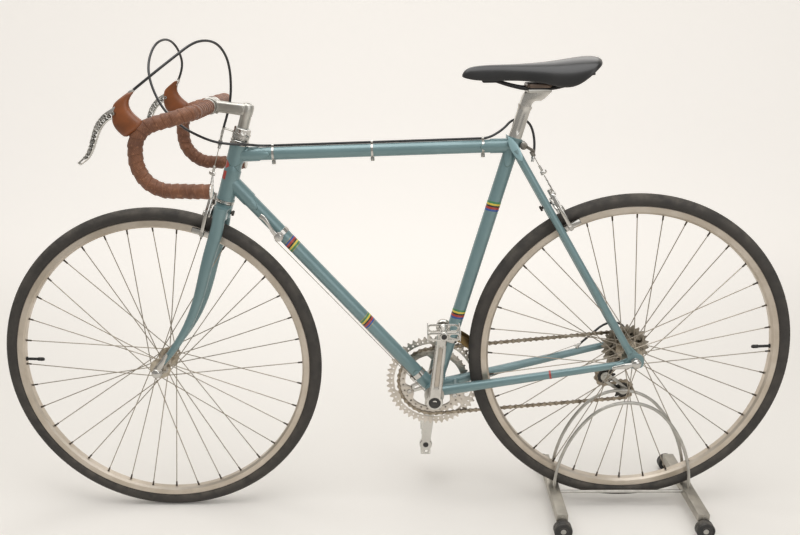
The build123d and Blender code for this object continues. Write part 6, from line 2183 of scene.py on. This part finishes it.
@dataclass
class Drivetrain:
    """Cranks, rings, pedals, chain, cogs, both derailleurs and the shift levers.

    Attributes:
        pitch: Distance between two chain pins.
        crank: Length of a crank.
        across: Place across of a crank at the spindle.
        lean: Degrees that a crank leans out.
        heading: Degrees of the left crank, from behind towards up.
        bolt_circle: Radius of the ring bolts.
        spider_step: Degrees between two arms of the spider.
        ring_teeth: Teeth of the outer and the inner ring.
        pulley_teeth: Teeth of a pulley.
        first_cog: Place across of the smallest cog and of the pulleys.
        cog_gap: Distance between two cogs.
        cogs: Teeth of the cogs, from the smallest.
        guide: Guide pulley's place from the rear axle.
        tension: Tension pulley's place from the rear axle.
    """

    pitch: float = 12.7
    crank: float = 170.0
    across: float = 70.0
    lean: float = 2.6
    heading: float = 84.4
    bolt_circle: float = 58.0
    spider_step: float = 120.0
    ring_teeth: tuple[int, int] = (50, 38)
    pulley_teeth: int = 10
    first_cog: float = 49.0
    cog_gap: float = 5.3
    cogs: tuple[int, ...] = (14, 16, 18, 21, 24)
    guide: tuple[float, float] = (-34.0, -76.0)
    tension: tuple[float, float] = (7.0, -108.0)

    def radius(self, teeth: int) -> float:
        """Radius at which the chain lies on so many teeth."""
        return self.pitch / (2 * sin(pi / teeth))

    def crank_turn(self, side: Side) -> float:
        """Angle of a crank, from behind towards up."""
        return radians(self.heading + (180 if side is Side.RIGHT else 0))

    def build(self) -> None:
        """Makes every piece."""
        for node in ("crank_spindle", "pedal_spindles"):
            dress(node, Finishes.STEEL)
        for side in Side:
            self.crank_arm(side)
        self.rings()
        self.pedal(Side.LEFT, 0.0)
        self.pedal(Side.RIGHT, 90.0)
        self.cog_stack()
        self.chain()
        self.rear_mech()
        self.front_mech()
        self.shifters()

    def crank_arm(self, side: Side) -> None:
        """Forged crank with a long flute, its boss, dust cap and pedal eye.

        Args:
            side: Its side.
        """
        s = side.value
        along, out, lean = radial(self.crank_turn(side)), sidelong(s), radians(self.lean)
        arm, face = along * cos(lean) + out * sin(lean), out * cos(lean) - along * sin(lean)
        start = PLACES.bracket + out * self.across
        sideways = face.cross(arm)
        sunk = 0.7
        section = ((-1.0, -0.55), (-1.0, 0.45), (-0.8, 1.0), (-0.42, 1.0), (-0.34, sunk), (0.34, sunk),
                   (0.42, 1.0), (0.8, 1.0), (1.0, 0.45), (1.0, -0.55), (0.84, -1.0), (-0.84, -1.0))
        plain = [(x, 1.0 if y == sunk else y) for x, y in section]
        made = Shape()
        rings = []
        for reach, half, deep, thick in ((0, 13.4, 0, 6.4), (20, 13.2, 0, 6.4), (31, 13.0, 0, 6.4),
                                         (35, 12.9, 1, 6.4), (126, 11.0, 1, 6.2), (130, 10.8, 0, 6.2),
                                         (148, 10.2, 0, 6.2), (self.crank, 10.4, 0, 6.2)):
            shape = section if deep else plain
            rings.append([start + arm * reach + sideways * x * half + face * y * thick for x, y in shape])
        made.loft(rings)
        boss = side_frame(start, s * (self.across - 9.5), side)
        made.lathe([(8.4, 0), (16.2, 0), (17.4, 2.0), (17.4, 13.6), (16.4, 15.6), (14.6, 16.0), (12.6, 15.8),
                    (11.8, 14.4), (8.4, 14.4)], boss, 64)
        eye = start + along * self.crank + out * self.crank * tan(lean)
        made.lathe([(4.4, 0), (12.8, 0), (14.2, 1.4), (14.4, 11.4), (13.0, 13.0), (4.4, 13.0)],
                   side_frame(eye, eye.y - s * 6.5, side), 48)
        if side is Side.RIGHT:
            for number in range(3):
                angle = self.heading + self.spider_step * number
                outline = slot_outline((4, 0), (self.bolt_circle, 0), 15.0, 7.8, 16)
                cut = slot_outline((26, 0), (44, 0), 3.4, 2.2, 8)
                made.plate(outline, 6.4, side_frame(start, 52.4, Side.LEFT, angle), (cut,), 1.3)
        cap = Shape().lathe([(0, 0), (11.9, 0), (11.9, 1.6), (11.3, 2.0), (10.2, 2.0), (9.6, 1.5), (5.6, 1.5),
                             (5.0, 1.1), (0, 1.1)], side_frame(start, s * (self.across + 5.4), side), 40)
        cap.lathe([(0, 0), (6.3, 0), (6.3, 0.5), (5.8, 0.9), (0, 0.9)],
                  side_frame(eye, eye.y - s * 6.2, Side.RIGHT if side is Side.LEFT else Side.LEFT), 28)
        name = side.label
        cap.piece(f"crank_cap_{name}", Body.CRANKSET, Finishes.DUST_CAP)
        floor = axes(arm, sideways, face)
        flute = Shape().plate(slot_outline((40, 0), (122, 0), 4.2, 3.6, 10), 0.4,
                              Matrix.Translation(start + face * 4.5) @ floor)
        flute.piece(f"crank_flute_{name}", Body.CRANKSET, Finishes.FLUTE)
        ring = Shape().lathe([(5.0, 0), (8.4, 0), (8.4, 1.0), (5.0, 1.0)],
                             side_frame(eye, eye.y + s * 6.4, side), 32)
        ring.piece(f"crank_eye_ring_{name}", Body.CRANKSET, Finishes.BRASS)
        made.piece(f"crank_forging_{name}", Body.CRANKSET, Finishes.POLISHED, (f"{name}_crank",), sharp=32)

    def rings(self) -> None:
        """Two toothed rings with rows of small holes, and their bolts."""
        centre, made, bolts = PLACES.bracket, Shape(), Shape()
        for teeth, across, reach, count in zip(self.ring_teeth, (47.5, 42.0), (92.2, 66.8), (50, 30)):
            pitch = self.radius(teeth)
            outline = toothed_outline(teeth, pitch - 3.6, pitch + 3.0, 0.2)
            holes = [self.lugged_hole()]
            holes += [circle_outline(1.9, 10, polar(reach, TURN * (n + 0.5) / count)) for n in range(count)]
            if teeth == self.ring_teeth[0]:
                holes += [self.arc_slot(self.heading + 60 + self.spider_step * n, 49.0, 76.0, 86.5)
                          for n in range(3)]
            made.plate(outline, 1.8, side_frame(centre, across), holes, 0.35)
        for n in range(3):
            x, z = polar(self.bolt_circle, radians(self.heading + self.spider_step * n), (centre.x, centre.z))
            made.lathe([(0, 0), (7.5, 0), (7.5, 4.0), (0, 4.0)], side_frame((x, z), 42.8, Side.RIGHT), 24)
            bolts.lathe([(0, 0), (5.6, 0), (5.6, 1.2), (4.8, 2.0), (2.8, 2.0), (2.8, 0.8), (0, 0.8)],
                        side_frame((x, z), 41.2), 24)
            bolt_head(bolts, side_frame((x, z), 55.4, Side.RIGHT), 5.2, 1.6, 2.6)
        made.piece("toothed_rings", Body.CRANKSET, Finishes.RING, ("chainrings",), sharp=45)
        bolts.piece("ring_bolts", Body.CRANKSET, Finishes.CHROME)

    def lugged_hole(self) -> Outline:
        """Edge of a ring's hole, drawn in to a lug at each bolt.

        Returns:
            Its outline.
        """
        edge = []
        for angle in angles(144):
            off = abs((degrees(angle) - self.heading + 60) % 120 - 60)
            share = min(1.0, max(0.0, (off - 8.0) / 12.0))
            reach = 51.5 + 10.5 * share * share * (3 - 2 * share)
            edge.append(polar(reach, angle))
        return edge

    def arc_slot(self, middle: float, half: float, inner: float, outer: float) -> Outline:
        """Curved window in a ring.

        Args:
            middle: Heading of its middle in degrees.
            half: Half its sweep in degrees.
            inner: Its inner radius.
            outer: Its outer radius.

        Returns:
            Its outline.
        """
        steps, mean, end = 20, (inner + outer) / 2, (outer - inner) / 2
        rows = []
        for n in range(steps + 1):
            rows.append((outer, radians(middle - half + 2 * half * n / steps)))
        for n in range(1, 6):
            rows.append((mean + end * cos(pi * n / 6),
                         radians(middle + half) + end * sin(pi * n / 6) / mean))
        for n in range(steps + 1):
            rows.append((inner, radians(middle + half - 2 * half * n / steps)))
        for n in range(1, 6):
            rows.append((mean - end * cos(pi * n / 6),
                         radians(middle - half) - end * sin(pi * n / 6) / mean))
        return [polar(*row) for row in rows]

    def pedal(self, side: Side, turn: float) -> None:
        """Cage pedal: barrel, two cut-out end plates and two toothed side plates.

        Args:
            side: Its side.
            turn: Degrees that its cage is turned.
        """
        s = side.value
        eye = PLACES.bracket + radial(self.crank_turn(side)) * self.crank
        reach = self.across + self.crank * tan(radians(self.lean))
        inner = reach + 11.0
        made = Shape()
        made.lathe([(4.55, 0), (9.4, 0), (9.9, 1.5), (9.9, 5), (8.2, 7), (7.4, 14), (7.2, 30), (8.0, 42),
                    (9.6, 46), (9.9, 50), (4.55, 50)], side_frame(eye, s * inner, side), 40)
        for across in (1.4, 52.6):
            outline = slot_outline((-24, 0), (24, 0), 8.8, 8.8, 10)
            holes = [slot_outline((-24, 0), (-16, 0), 4.6, 4.6, 8),
                     slot_outline((16, 0), (24, 0), 4.6, 4.6, 8)]
            made.plate(outline, 2.3, side_frame(eye, s * (inner + across), Side.LEFT, turn), holes, 0.5)
        for way in (-1, 1):
            teeth = [(-26.6, -9)]
            for n in range(9):
                base = -26.0 + 5.9 * n
                teeth += [(base, 8.6), (base + 1.4, 11.8), (base + 3.0, 11.8), (base + 4.4, 8.6)]
            teeth += [(26.6, -9), (22, -11.4), (-22, -11.4)]
            windows = [slot_outline((-17, -2), (-5, -2), 3.6, 3.6, 8),
                       slot_outline((5, -2), (17, -2), 3.6, 3.6, 8)]
            spin = Matrix.Rotation(radians(turn), 4, sidelong(-1))
            local = Matrix(((0, 0, 1, 0), (1, 0, 0, 0), (0, 1, 0, 0), (0, 0, 0, 1)))
            place = (Matrix.Translation((eye.x, s * (inner + 27), eye.z)) @ spin
                     @ Matrix.Translation((way * 31.6, 0, 0)) @ local)
            made.plate(teeth, 2.3, place, windows, 0.5)
        name = side.label
        body = Body.LEFT_PEDAL if side is Side.LEFT else Body.RIGHT_PEDAL
        made.piece(f"pedal_cage_{name}", body, Finishes.POLISHED, (f"{name}_pedal",))
        made = Shape().lathe([(4.0, 0), (9.4, 0), (9.8, 0.8), (9.4, 3.4), (8.0, 4.8), (5.6, 5.2), (4.0, 4.6)],
                             side_frame(eye, s * (inner + 50), side), 36)
        made.piece(f"pedal_end_{name}", body, Finishes.POLISHED)
        cap = Shape().lathe([(0, 0), (6.0, 0), (6.0, 1.2), (4.6, 2.0), (0, 2.2)],
                            side_frame(eye, s * (inner + 53.6), side), 28)
        cap.piece(f"pedal_cap_{name}", body, Finishes.DUST_CAP)

    def cog_stack(self) -> None:
        """Five toothed cogs with lightening holes on a ribbed body."""
        centre, made = PLACES.rear_axle, Shape()
        for number, teeth in enumerate(self.cogs):
            pitch = self.radius(teeth)
            outline = toothed_outline(teeth, pitch - 3.6, pitch + 2.9, 0.18)
            holes = [circle_outline(18.5, 48)]
            if pitch > 34:
                rows = 8 if pitch < 45 else 10
                size = 4.2 if pitch < 45 else 6.4
                reach = (18.5 + pitch - 3.6) / 2 + 0.6
                holes += [circle_outline(size, 16, polar(reach, angle)) for angle in angles(rows)]
            made.plate(outline, 1.8, side_frame(centre, self.first_cog - number * self.cog_gap,
                                                Side.LEFT, 7.0 * number), holes, 0.3)
        made.ring([(9.2, 24), (20.6, 24), (20.9, 25), (20.9, 50), (19.0, 51), (9.2, 51)],
                  side_frame(centre, 0, Side.RIGHT), 64)
        made.piece("cog_stack", Body.FREEWHEEL, Finishes.COG, ("freewheel",), sharp=45)

    def chain(self) -> None:
        """Roller chain: outer and inner plates in turn, with pins and rollers, round its four wheels."""
        axle, bracket = PLACES.rear_axle, PLACES.bracket
        pulley = self.radius(self.pulley_teeth)
        wheels = (((bracket.x, bracket.z), self.radius(self.ring_teeth[1]), 1, 42.0),
                  ((axle.x, axle.z), self.radius(self.cogs[0]), 1, self.first_cog),
                  ((axle.x + self.guide[0], axle.z + self.guide[1]), pulley, -1, self.first_cog),
                  ((axle.x + self.tension[0], axle.z + self.tension[1]), pulley, 1, self.first_cog))
        runs = []
        for n, (here, size, sense, across) in enumerate(wheels):
            there, far, other, beyond = wheels[(n + 1) % 4]
            step = (there[0] - here[0], there[1] - here[1])
            turn = atan2(step[1], step[0]) - asin((sense * size - other * far) / hypot(*step))
            side = (-sin(turn), cos(turn))
            runs.append((Vector((here[0] + side[0] * size * sense, across, here[1] + side[1] * size * sense)),
                         Vector((there[0] + side[0] * far * other, beyond, there[1] + side[1] * far * other)),
                         turn))
        line: list[Vector] = []
        for n, (here, size, sense, across) in enumerate(wheels):
            first = runs[n - 1][2] + pi / 2 * sense
            sweep = ((runs[n - 1][2] - runs[n][2]) * sense) % TURN
            line += [Vector((here[0] + size * cos(first - sense * sweep * k / 40), across,
                             here[1] + size * sin(first - sense * sweep * k / 40))) for k in range(41)]
            line += [runs[n][0].lerp(runs[n][1], k / 30) for k in range(1, 30)]
        line.append(line[0])
        total = sum((b - a).length for a, b in zip(line, line[1:]))
        count = 2 * round(total / self.pitch / 2)
        joints = even_path(line, total / count)[:count]
        outer, inner = Shape(), Shape()
        link, end, waist = total / count, 4.2, 2.3
        edge = [(link / 2 * (1 + cos(pi * n / 10)),
                 waist + (end - waist) * abs(cos(pi * n / 10)) ** 1.6) for n in range(11)]
        bow = [(-end * sin(pi * n / 6), end * cos(pi * n / 6)) for n in range(1, 6)]
        outline = edge + bow + [(x, -y) for x, y in edge[::-1]] + [(link - x, -y) for x, y in bow]
        for shape, gaps in ((outer, (-2.55, 2.55)), (inner, (-1.55, 1.55))):
            for gap in gaps:
                shape.loft([[Vector((x, y, gap + rise)) for x, y in outline] for rise in (-0.4, 0.4)])
        for place in (Matrix.Identity(4), Matrix.Translation((link, 0, 0))):
            outer.lathe([(0, -3.3), (1.8, -3.3), (1.8, 3.3), (0, 3.3)], place, 8)
            inner.lathe([(0, -1.2), (3.8, -1.2), (3.8, 1.2), (0, 1.2)], place, 10)
        made, aside = Shape(), sidelong(1)
        for n in range(count):
            here, there = joints[n], joints[(n + 1) % count]
            heading = (there - here).normalized()
            rows = axes(heading, aside.cross(heading), aside)
            made.copy_of(outer if n % 2 else inner, Matrix.Translation(here) @ rows)
        made.piece("roller_chain", Body.FRAME, Finishes.CHAIN, ("chain",))

    def rear_mech(self) -> None:
        """Rear derailleur: pivot bolt, linkage, spring barrel, cage and two black pulleys."""
        axle = PLACES.rear_axle
        guide, tension = axle + in_plane(self.guide), axle + in_plane(self.tension)
        bolt, stop = axle + Vector((8, 0, -29)), Vector(Cables.GEAR[-1])
        metal, wheels = Shape(), Shape()
        run, middle = tension - guide, (guide + tension) / 2
        turn, half = degrees(atan2(run.z, run.x)), run.length / 2
        outline = slot_outline((-half, 0), (half, 0), 10.6, 10.0, 14)
        cuts = [slot_outline((-half + 13, 0), (half - 13, 0), 4.4, 4.0, 8)]
        for side in Side:
            place = side_frame(middle, self.first_cog + side.value * 5.2, Side.LEFT, turn)
            metal.plate(outline, 1.7, place, cuts, 0.4)
        for place in (guide, tension):
            spots = [circle_outline(1.9, 10, polar(8.6, angle)) for angle in angles(6)]
            wheels.plate(toothed_outline(self.pulley_teeth, 17.0, 23.2, 0.24), 2.6,
                         side_frame(place, self.first_cog, Side.LEFT, 10.0), spots, 0.5)
            for side in Side:
                bolt_head(metal, side_frame(place, self.first_cog + side.value * 6.0, side), 4.6, 2.0, 2.2)
        metal.lathe([(0, 0), (4.8, 0), (4.8, 5.2), (8.8, 5.4), (9.2, 6.4), (9.2, 13.4), (8.2, 14.8),
                     (3.4, 14.8), (3.4, 12.6), (0, 12.6)], side_frame(bolt, 60.2, Side.RIGHT), 40)
        rise, middle = bolt - guide, (bolt + guide) / 2
        lean, reach = degrees(atan2(rise.z, rise.x)), rise.length / 2
        for across, wide in ((68.0, 9.0), (77.0, 7.6)):
            metal.plate(slot_outline((-reach, 0), (reach, 0), wide + 1, wide, 14), 4.0,
                        side_frame(middle, across, Side.LEFT, lean),
                        (slot_outline((-reach * 0.35, 0), (reach * 0.35, 0), 3.2, 3.0, 8),), 1.2)
        metal.lathe([(0, 0), (7.6, 0), (8.8, 1.4), (8.8, 22.0), (7.6, 24.0), (0, 24.4)],
                    side_frame(guide, 55.6, Side.RIGHT), 40)
        metal.lathe([(0, 0), (3.4, 0), (3.4, 12), (2.6, 13)],
                    heading_frame(stop, bolt + Vector((4, 71, 2)) - stop), 20)
        metal.piece("rear_mech", Body.FRAME, Finishes.ALLOY, ("rear_derailleur",))
        wheels.piece("rear_mech_pulleys", Body.FRAME, Finishes.PULLEY)

    def front_mech(self) -> None:
        """Front derailleur: band, parallel arms and a two-plate cage over the rings."""
        seat, centre = PLACES.seat, PLACES.bracket
        cage, arms = Shape(), Shape()
        ring = self.radius(self.ring_teeth[0])
        inside, outside = ring + 7.0, ring + 28.0
        for across, low, high, drop in ((36.0, 40, 70, 4.0), (54.0, 44, 68, 0.0)):
            outline = [polar(inside, radians(low + (high - low) * n / 16)) for n in range(17)]
            outline += [polar(outside - drop, radians(high - 1.2 - (high - low - 2.4) * n / 16))
                        for n in range(17)]
            cage.plate(outline, 1.5, side_frame(centre, across), bevel=0.4)
        posts = [centre + radial(radians(turn)) * (outside - 5) for turn in (46, 66)]
        rods(cage, [(post + sidelong(36), post + sidelong(54)) for post in posts], 2.2)
        cage.piece("front_mech_cage", Body.FRAME, Finishes.BRASS)
        sleeve(arms, seat, 14.0, 116.0, 128.0, 2.2, 56, 0.8)
        root = seat.at(122, 6, 13)
        top = centre + radial(radians(64)) * outside + Vector((-4, 36, -5))
        arms.tube([root, root.lerp(top, 0.5) + Vector((0, 0, 2)), top], 5.2, 14, squash=0.7)
        bolt_head(arms, side_frame(seat.at(122, -4), -15.6, Side.LEFT), 4.4, 2.4, 2.2)
        arms.lathe([(0, 0), (6.4, 0), (6.8, 1), (6.8, 12), (6.0, 13), (0, 13)],
                   side_frame((root.x + 4, root.z + 6), 15, Side.RIGHT), 28)
        arms.piece("front_mech_arms", Body.FRAME, Finishes.CHROME, ("front_derailleur",))

    def shifters(self) -> None:
        """Band on the down tube with two long slotted levers and their wing screws."""
        down, made = PLACES.down, Shape()
        sleeve(made, down, 14.0, 143.0, 153.0, 1.7, 56, 0.8)
        pivot, tip = down.at(148, 6), down.at(92, 2)
        for side in Side:
            s = side.value
            place = side_frame(pivot, s * 14.6, side)
            made.lathe([(0, 0), (9.4, 0), (9.9, 1.0), (9.9, 5.2), (9.0, 6.4), (7.4, 6.6), (7.0, 8.4),
                        (5.2, 9.4), (0, 9.6)], place, 44)
            lever = smooth_path([(pivot.x, s * 19.5, pivot.z), (pivot.x - 10, s * 20.5, pivot.z + 8),
                                 ((pivot.x + tip.x) / 2, s * 24.5, (pivot.z + tip.z) / 2 + 3),
                                 (tip.x + 8, s * 24.0, tip.z - 4), (tip.x, s * 22.5, tip.z)], 8)
            made.tube(lever, lambda share, angle: 5.0 - 1.6 * sin(pi * min(1.0, share * 1.1)) ** 2, 14,
                      squash=0.42)
            wing = heading_frame(Vector((pivot.x, s * 25.2, pivot.z)), (0, s, 0), (1, 0, 0.4))
            made.block((12.0, 3.4, 3.4), wing @ Matrix.Rotation(0.6, 4, "Z"), 0.9)
        made.piece("shift_lever_pair", Body.FRAME, Finishes.CHROME, ("shift_levers",))


# ================================================================================================
# Brakes and axle ends
# ================================================================================================


@dataclass
class Brake:
    """Centre-pull brake with its bolt, pads and straddle wire.

    Attributes:
        name: Front or rear.
        body: The body that it rides on.
        run: The line that it stands on, aside being the way that it faces.
        pads: Place of the pads along that line.
        mount: Place of its bolt.
        bolt_end: Place aside of the bolt's far end.
        back: Back face of its arms, aside from the line.
        carrier: Place of the straddle wire's carrier.
        wire: Its place aside.
        arm: Thickness of an arm.
        rim_half: Half the width of the rim.
        pad_gap: Gap between a pad and the rim.
        pivot_rise: Place of the arms' pivots, up from the pads.
        pivot_across: Their place across.
        tip_rise: Place of the arms' upper tips, up from the pads.
        tip_across: Their place across.
    """

    name: str
    body: Body
    run: Run
    pads: float
    mount: float
    bolt_end: float
    back: float
    carrier: float
    wire: float
    arm: float = 8.0
    rim_half: float = 10.5
    pad_gap: float = 3.0
    pivot_rise: float = 44.0
    pivot_across: float = 30.0
    tip_rise: float = 76.0
    tip_across: float = 20.0

    @property
    def rows(self) -> Matrix:
        """Rotation whose X runs across, Y along the line and Z aside."""
        return axes(self.run.along.cross(self.run.aside), self.run.along, self.run.aside)

    def facing(self, along: float, aside: float, across: float = 0.0) -> Matrix:
        """Matrix at a place by the line whose local Z faces aside.

        Args:
            along: Distance along the line.
            aside: Distance aside from it.
            across: Distance across.

        Returns:
            The placing matrix.
        """
        return Matrix.Translation(self.run.at(along, aside, across)) @ self.rows

    def build(self) -> None:
        """Makes every piece."""
        self.arms()
        self.bolt()
        self.pad_pair()
        self.straddle()

    def arms(self) -> None:
        """Two curved arms on a back plate, with their pivots, tips and springs."""
        edge = smooth_path([(24.8, -7.5, 0), (31.5, -7.5, 0), (35.6, 8, 0), (36.8, 30, 0), (36.4, 48, 0),
                            (31, 62, 0), (25.5, 79.6, 0), (16.4, 79.6, 0), (18.2, 66, 0), (24, 54, 0),
                            (26.2, 32, 0), (24.8, 8, 0)], 3, closed=True)
        arm = Shape().plate([(point.x, point.y) for point in edge], self.arm - 0.4, Matrix.Identity(4),
                            (circle_outline(2.2, 12, (30.5, 22)),), 1.6)
        metal, middle = Shape(), self.facing(self.pads, self.back + self.arm / 2)
        for way in (Matrix.Identity(4), Matrix.Scale(-1, 4, Vector((1, 0, 0)))):
            metal.copy_of(arm, middle @ way)
        top = self.mount - self.pads + 7
        plate = [(-35, 39), (35, 39), (35.5, 45), (33, 50.5), (12, top), (-12, top), (-33, 50.5), (-35.5, 45)]
        metal.plate(plate, 4.6, self.facing(self.pads, self.back - 2.5), bevel=1.0)
        pivot, front = self.pads + self.pivot_rise, self.back + self.arm
        for side in Side:
            across = side.value * self.pivot_across
            metal.lathe([(0, 0), (7.0, 0), (7.2, 1.4), (6.0, 2.2), (5.4, 3.4), (0, 3.6)],
                        self.facing(pivot, front - 0.5, across), 28)
            metal.lathe([(0, 0), (4.2, 0), (4.2, 3.2), (2.8, 4.2), (0, 4.3)],
                        self.facing(self.pads + self.tip_rise, front - 1, side.value * self.tip_across), 20)
            coil, turns = 8.2, [TURN * k / 12 for k in range(22)]
            spring = [self.run.at(pivot + coil * sin(turn), self.back + 1.0 + 0.5 * n / 9,
                                  across + coil * cos(turn))
                      for n, turn in enumerate(turns)]
            spring.append(self.run.at(self.pads + 14, self.back + 1.2, side.value * 27))
            metal.tube(spring, 0.9, 8)
        bolt_head(metal, self.facing(self.mount, self.back - 0.5), 7.0, 6.0)
        metal.piece(f"{self.name}_brake_arms", self.body, Finishes.CHROME, (f"{self.name}_brake",))

    def bolt(self) -> None:
        """Bolt through the frame, with its nut at the far end."""
        far = self.run.at(self.mount, self.bolt_end)
        shape = Shape().tube([self.run.at(self.mount, self.back - 3), far], 2.9, 16)
        nut = Matrix.Translation(far) @ self.rows @ Matrix.Rotation(pi, 4, "Y")
        bolt_head(shape, nut @ Matrix.Translation((0, 0, -3)), 6.0, 4.6)
        shape.piece(f"{self.name}_brake_bolt", self.body, Finishes.DARK_STEEL)

    def pad_pair(self) -> None:
        """Pads with cross grooves in open holders, on posts through the arms."""
        rubber, holder, ahead = Shape(), Shape(), self.back + self.arm / 2
        face = self.rim_half + self.pad_gap
        for side in Side:
            s = side.value
            rows = axes(self.run.aside, self.run.along * s, sidelong(s))
            for shape, size, shift, depth, bevel in (
                    *((rubber, (6.1, 10.6, 6.6), -20.2 + 6.75 * n, 3.4, 0.6) for n in range(7)),
                    (rubber, (46, 9.4, 4.0), 0.0, 6.0, 0.6), (holder, (45, 11.0, 3.4), 0.0, 7.4, 0.9)):
                place = self.run.at(self.pads, ahead + shift, s * (face + depth))
                shape.block(size, Matrix.Translation(place) @ rows, bevel)
            post = [self.run.at(self.pads, ahead, s * across) for across in (21, 34.5)]
            holder.tube(post, 3.4, 20)
            bolt_head(holder, Matrix.Translation(self.run.at(self.pads, ahead, s * 31)) @ rows, 5.4, 4.0)
        rubber.piece(f"{self.name}_pads", self.body, Finishes.PAD, (f"{self.name}_brake_pads",))
        holder.piece(f"{self.name}_pad_holders", self.body, Finishes.CHROME)

    def straddle(self) -> None:
        """Twisted straddle wire and the carrier that pulls it."""
        made = Shape()
        tip, face = self.pads + self.tip_rise + 2, self.back + self.arm + 1.6
        left, right = (self.run.at(tip, face, side.value * self.tip_across) for side in Side)
        top = self.run.at(self.carrier - 2, self.wire)
        line = smooth_path([left, top + Vector((0, -5, -2)), top + Vector((0, 0, 3)),
                            top + Vector((0, 5, -2)), right], 10)
        frames, twist = path_frames(line), 1.2
        for phase in (0.0, pi):
            strand = [place @ Vector((*polar(0.55, phase + n * twist), 0)) for n, place in enumerate(frames)]
            made.tube(strand, 0.65, 6)
        made.lathe([(0, -5.2), (4.0, -5.2), (4.4, -4.4), (4.4, 4.4), (4.0, 5.2), (0, 5.2)],
                   self.facing(self.carrier, self.wire), 24)
        made.lathe([(0, 0), (2.2, 0), (2.6, 1), (2.6, 12), (1.6, 13), (0, 13)],
                   self.run.cross_frame(self.carrier + 3, self.wire), 20)
        bolt_head(made, self.facing(self.carrier, self.wire + 5), 3.6, 2.6)
        made.piece(f"{self.name}_straddle", self.body, Finishes.CHROME)


@dataclass
class AxleEnds:
    """Axle with lock nuts, a domed nut on the right and a curved quick-release lever on the left.

    Attributes:
        name: Front or rear.
        body: The body that it rides on.
        centre: The axle's middle.
        gap: Half the space between the dropouts.
        turn: Degrees at which the closed lever points.
        dropout: Thickness of a dropout.
    """

    name: str
    body: Body
    centre: Vector
    gap: float
    turn: float
    dropout: float = 5.0

    def build(self) -> None:
        """Makes every piece."""
        outer, centre = self.gap + self.dropout, self.centre
        made = Shape().tube([centre + sidelong(-outer), centre + sidelong(outer)], 4.75, 20)
        for side in Side:
            made.lathe([(4.6, 0), (7.9, 0), (7.9, 4.8), (4.6, 4.8)],
                       side_frame(centre, side.value * (self.gap - 4.9), side), 32,
                       lambda a, z: 1.0 - 0.03 * (sin(a * 8) > 0))
        made.lathe([(0, 0), (8.8, 0), (8.9, 3.0), (8.4, 5.4), (6.6, 8.2), (4.4, 9.8), (2.0, 10.6), (0, 10.7)],
                   side_frame(centre, outer + 0.1, Side.RIGHT), 48,
                   lambda a, z: 1.0 - 0.04 * (sin(a * 14) > 0) if z < 4 else 1.0)
        made.lathe([(0, 0), (9.8, 0), (9.9, 3.0), (8.0, 4.4), (9.9, 6.0), (10.4, 10.6), (9.2, 13.8),
                    (6.0, 15.9), (0, 16.6)], side_frame(centre, -outer - 0.1), 48)
        way, base = radial(radians(self.turn)), centre + sidelong(-outer)
        lever = smooth_path([base + way * reach + sidelong(across) for reach, across in (
            (0, -9.5), (9, -12.4), (24, -13.2), (38, -11.6), (50, -11.0))], 8)
        rings = []
        for n, point in enumerate(lever):
            share = n / (len(lever) - 1)
            ahead = (lever[min(n + 1, len(lever) - 1)] - lever[max(n - 1, 0)]).normalized()
            broad = ahead.cross(sidelong(1)).normalized()
            wide = 4.0 + 2.2 * sin(pi * min(1.0, share * 1.15 + 0.05)) * share ** 0.4
            wide *= 1.0 if share < 0.94 else 0.72
            rings.append(oval(point, broad * wide, broad.cross(ahead) * 1.7, 16))
        made.loft(rings)
        made.piece(f"{self.name}_axle_ends", self.body, Finishes.CHROME, (f"{self.name}_axle",))


def main() -> None:
    """Builds the studio and every sub-assembly in order."""
    logging.basicConfig(level=logging.INFO, format="%(name)s: %(message)s")
    assemblies = (
        Studio(), FrameSet(), Wheel("front", PLACES.front_axle, Body.FRONT_WHEEL, 178.0),
        Wheel("rear", PLACES.rear_axle, Body.REAR_WHEEL, 2.0), DisplayStand(), Cockpit(), Seat(), Cables(),
        Drivetrain(), Brake("front", Body.STEERING, PLACES.steering, 308.5, 361.0, -22.0, 22.0, 428.5, 37.0),
        Brake("rear", Body.FRAME, PLACES.stay, 308.35, 366.0, -13.0, 16.0, 428.35, 26.0),
        AxleEnds("front", Body.STEERING, PLACES.front_axle, 50.0, 60.0),
        AxleEnds("rear", Body.FRAME, PLACES.rear_axle, 60.0, 190.0))
    for assembly in assemblies:
        before = set(bpy.data.objects)
        assembly.build()
        LOG.info("%s: %d pieces", type(assembly).__name__, len(set(bpy.data.objects) - before))


if __name__ == "__main__":
    main()
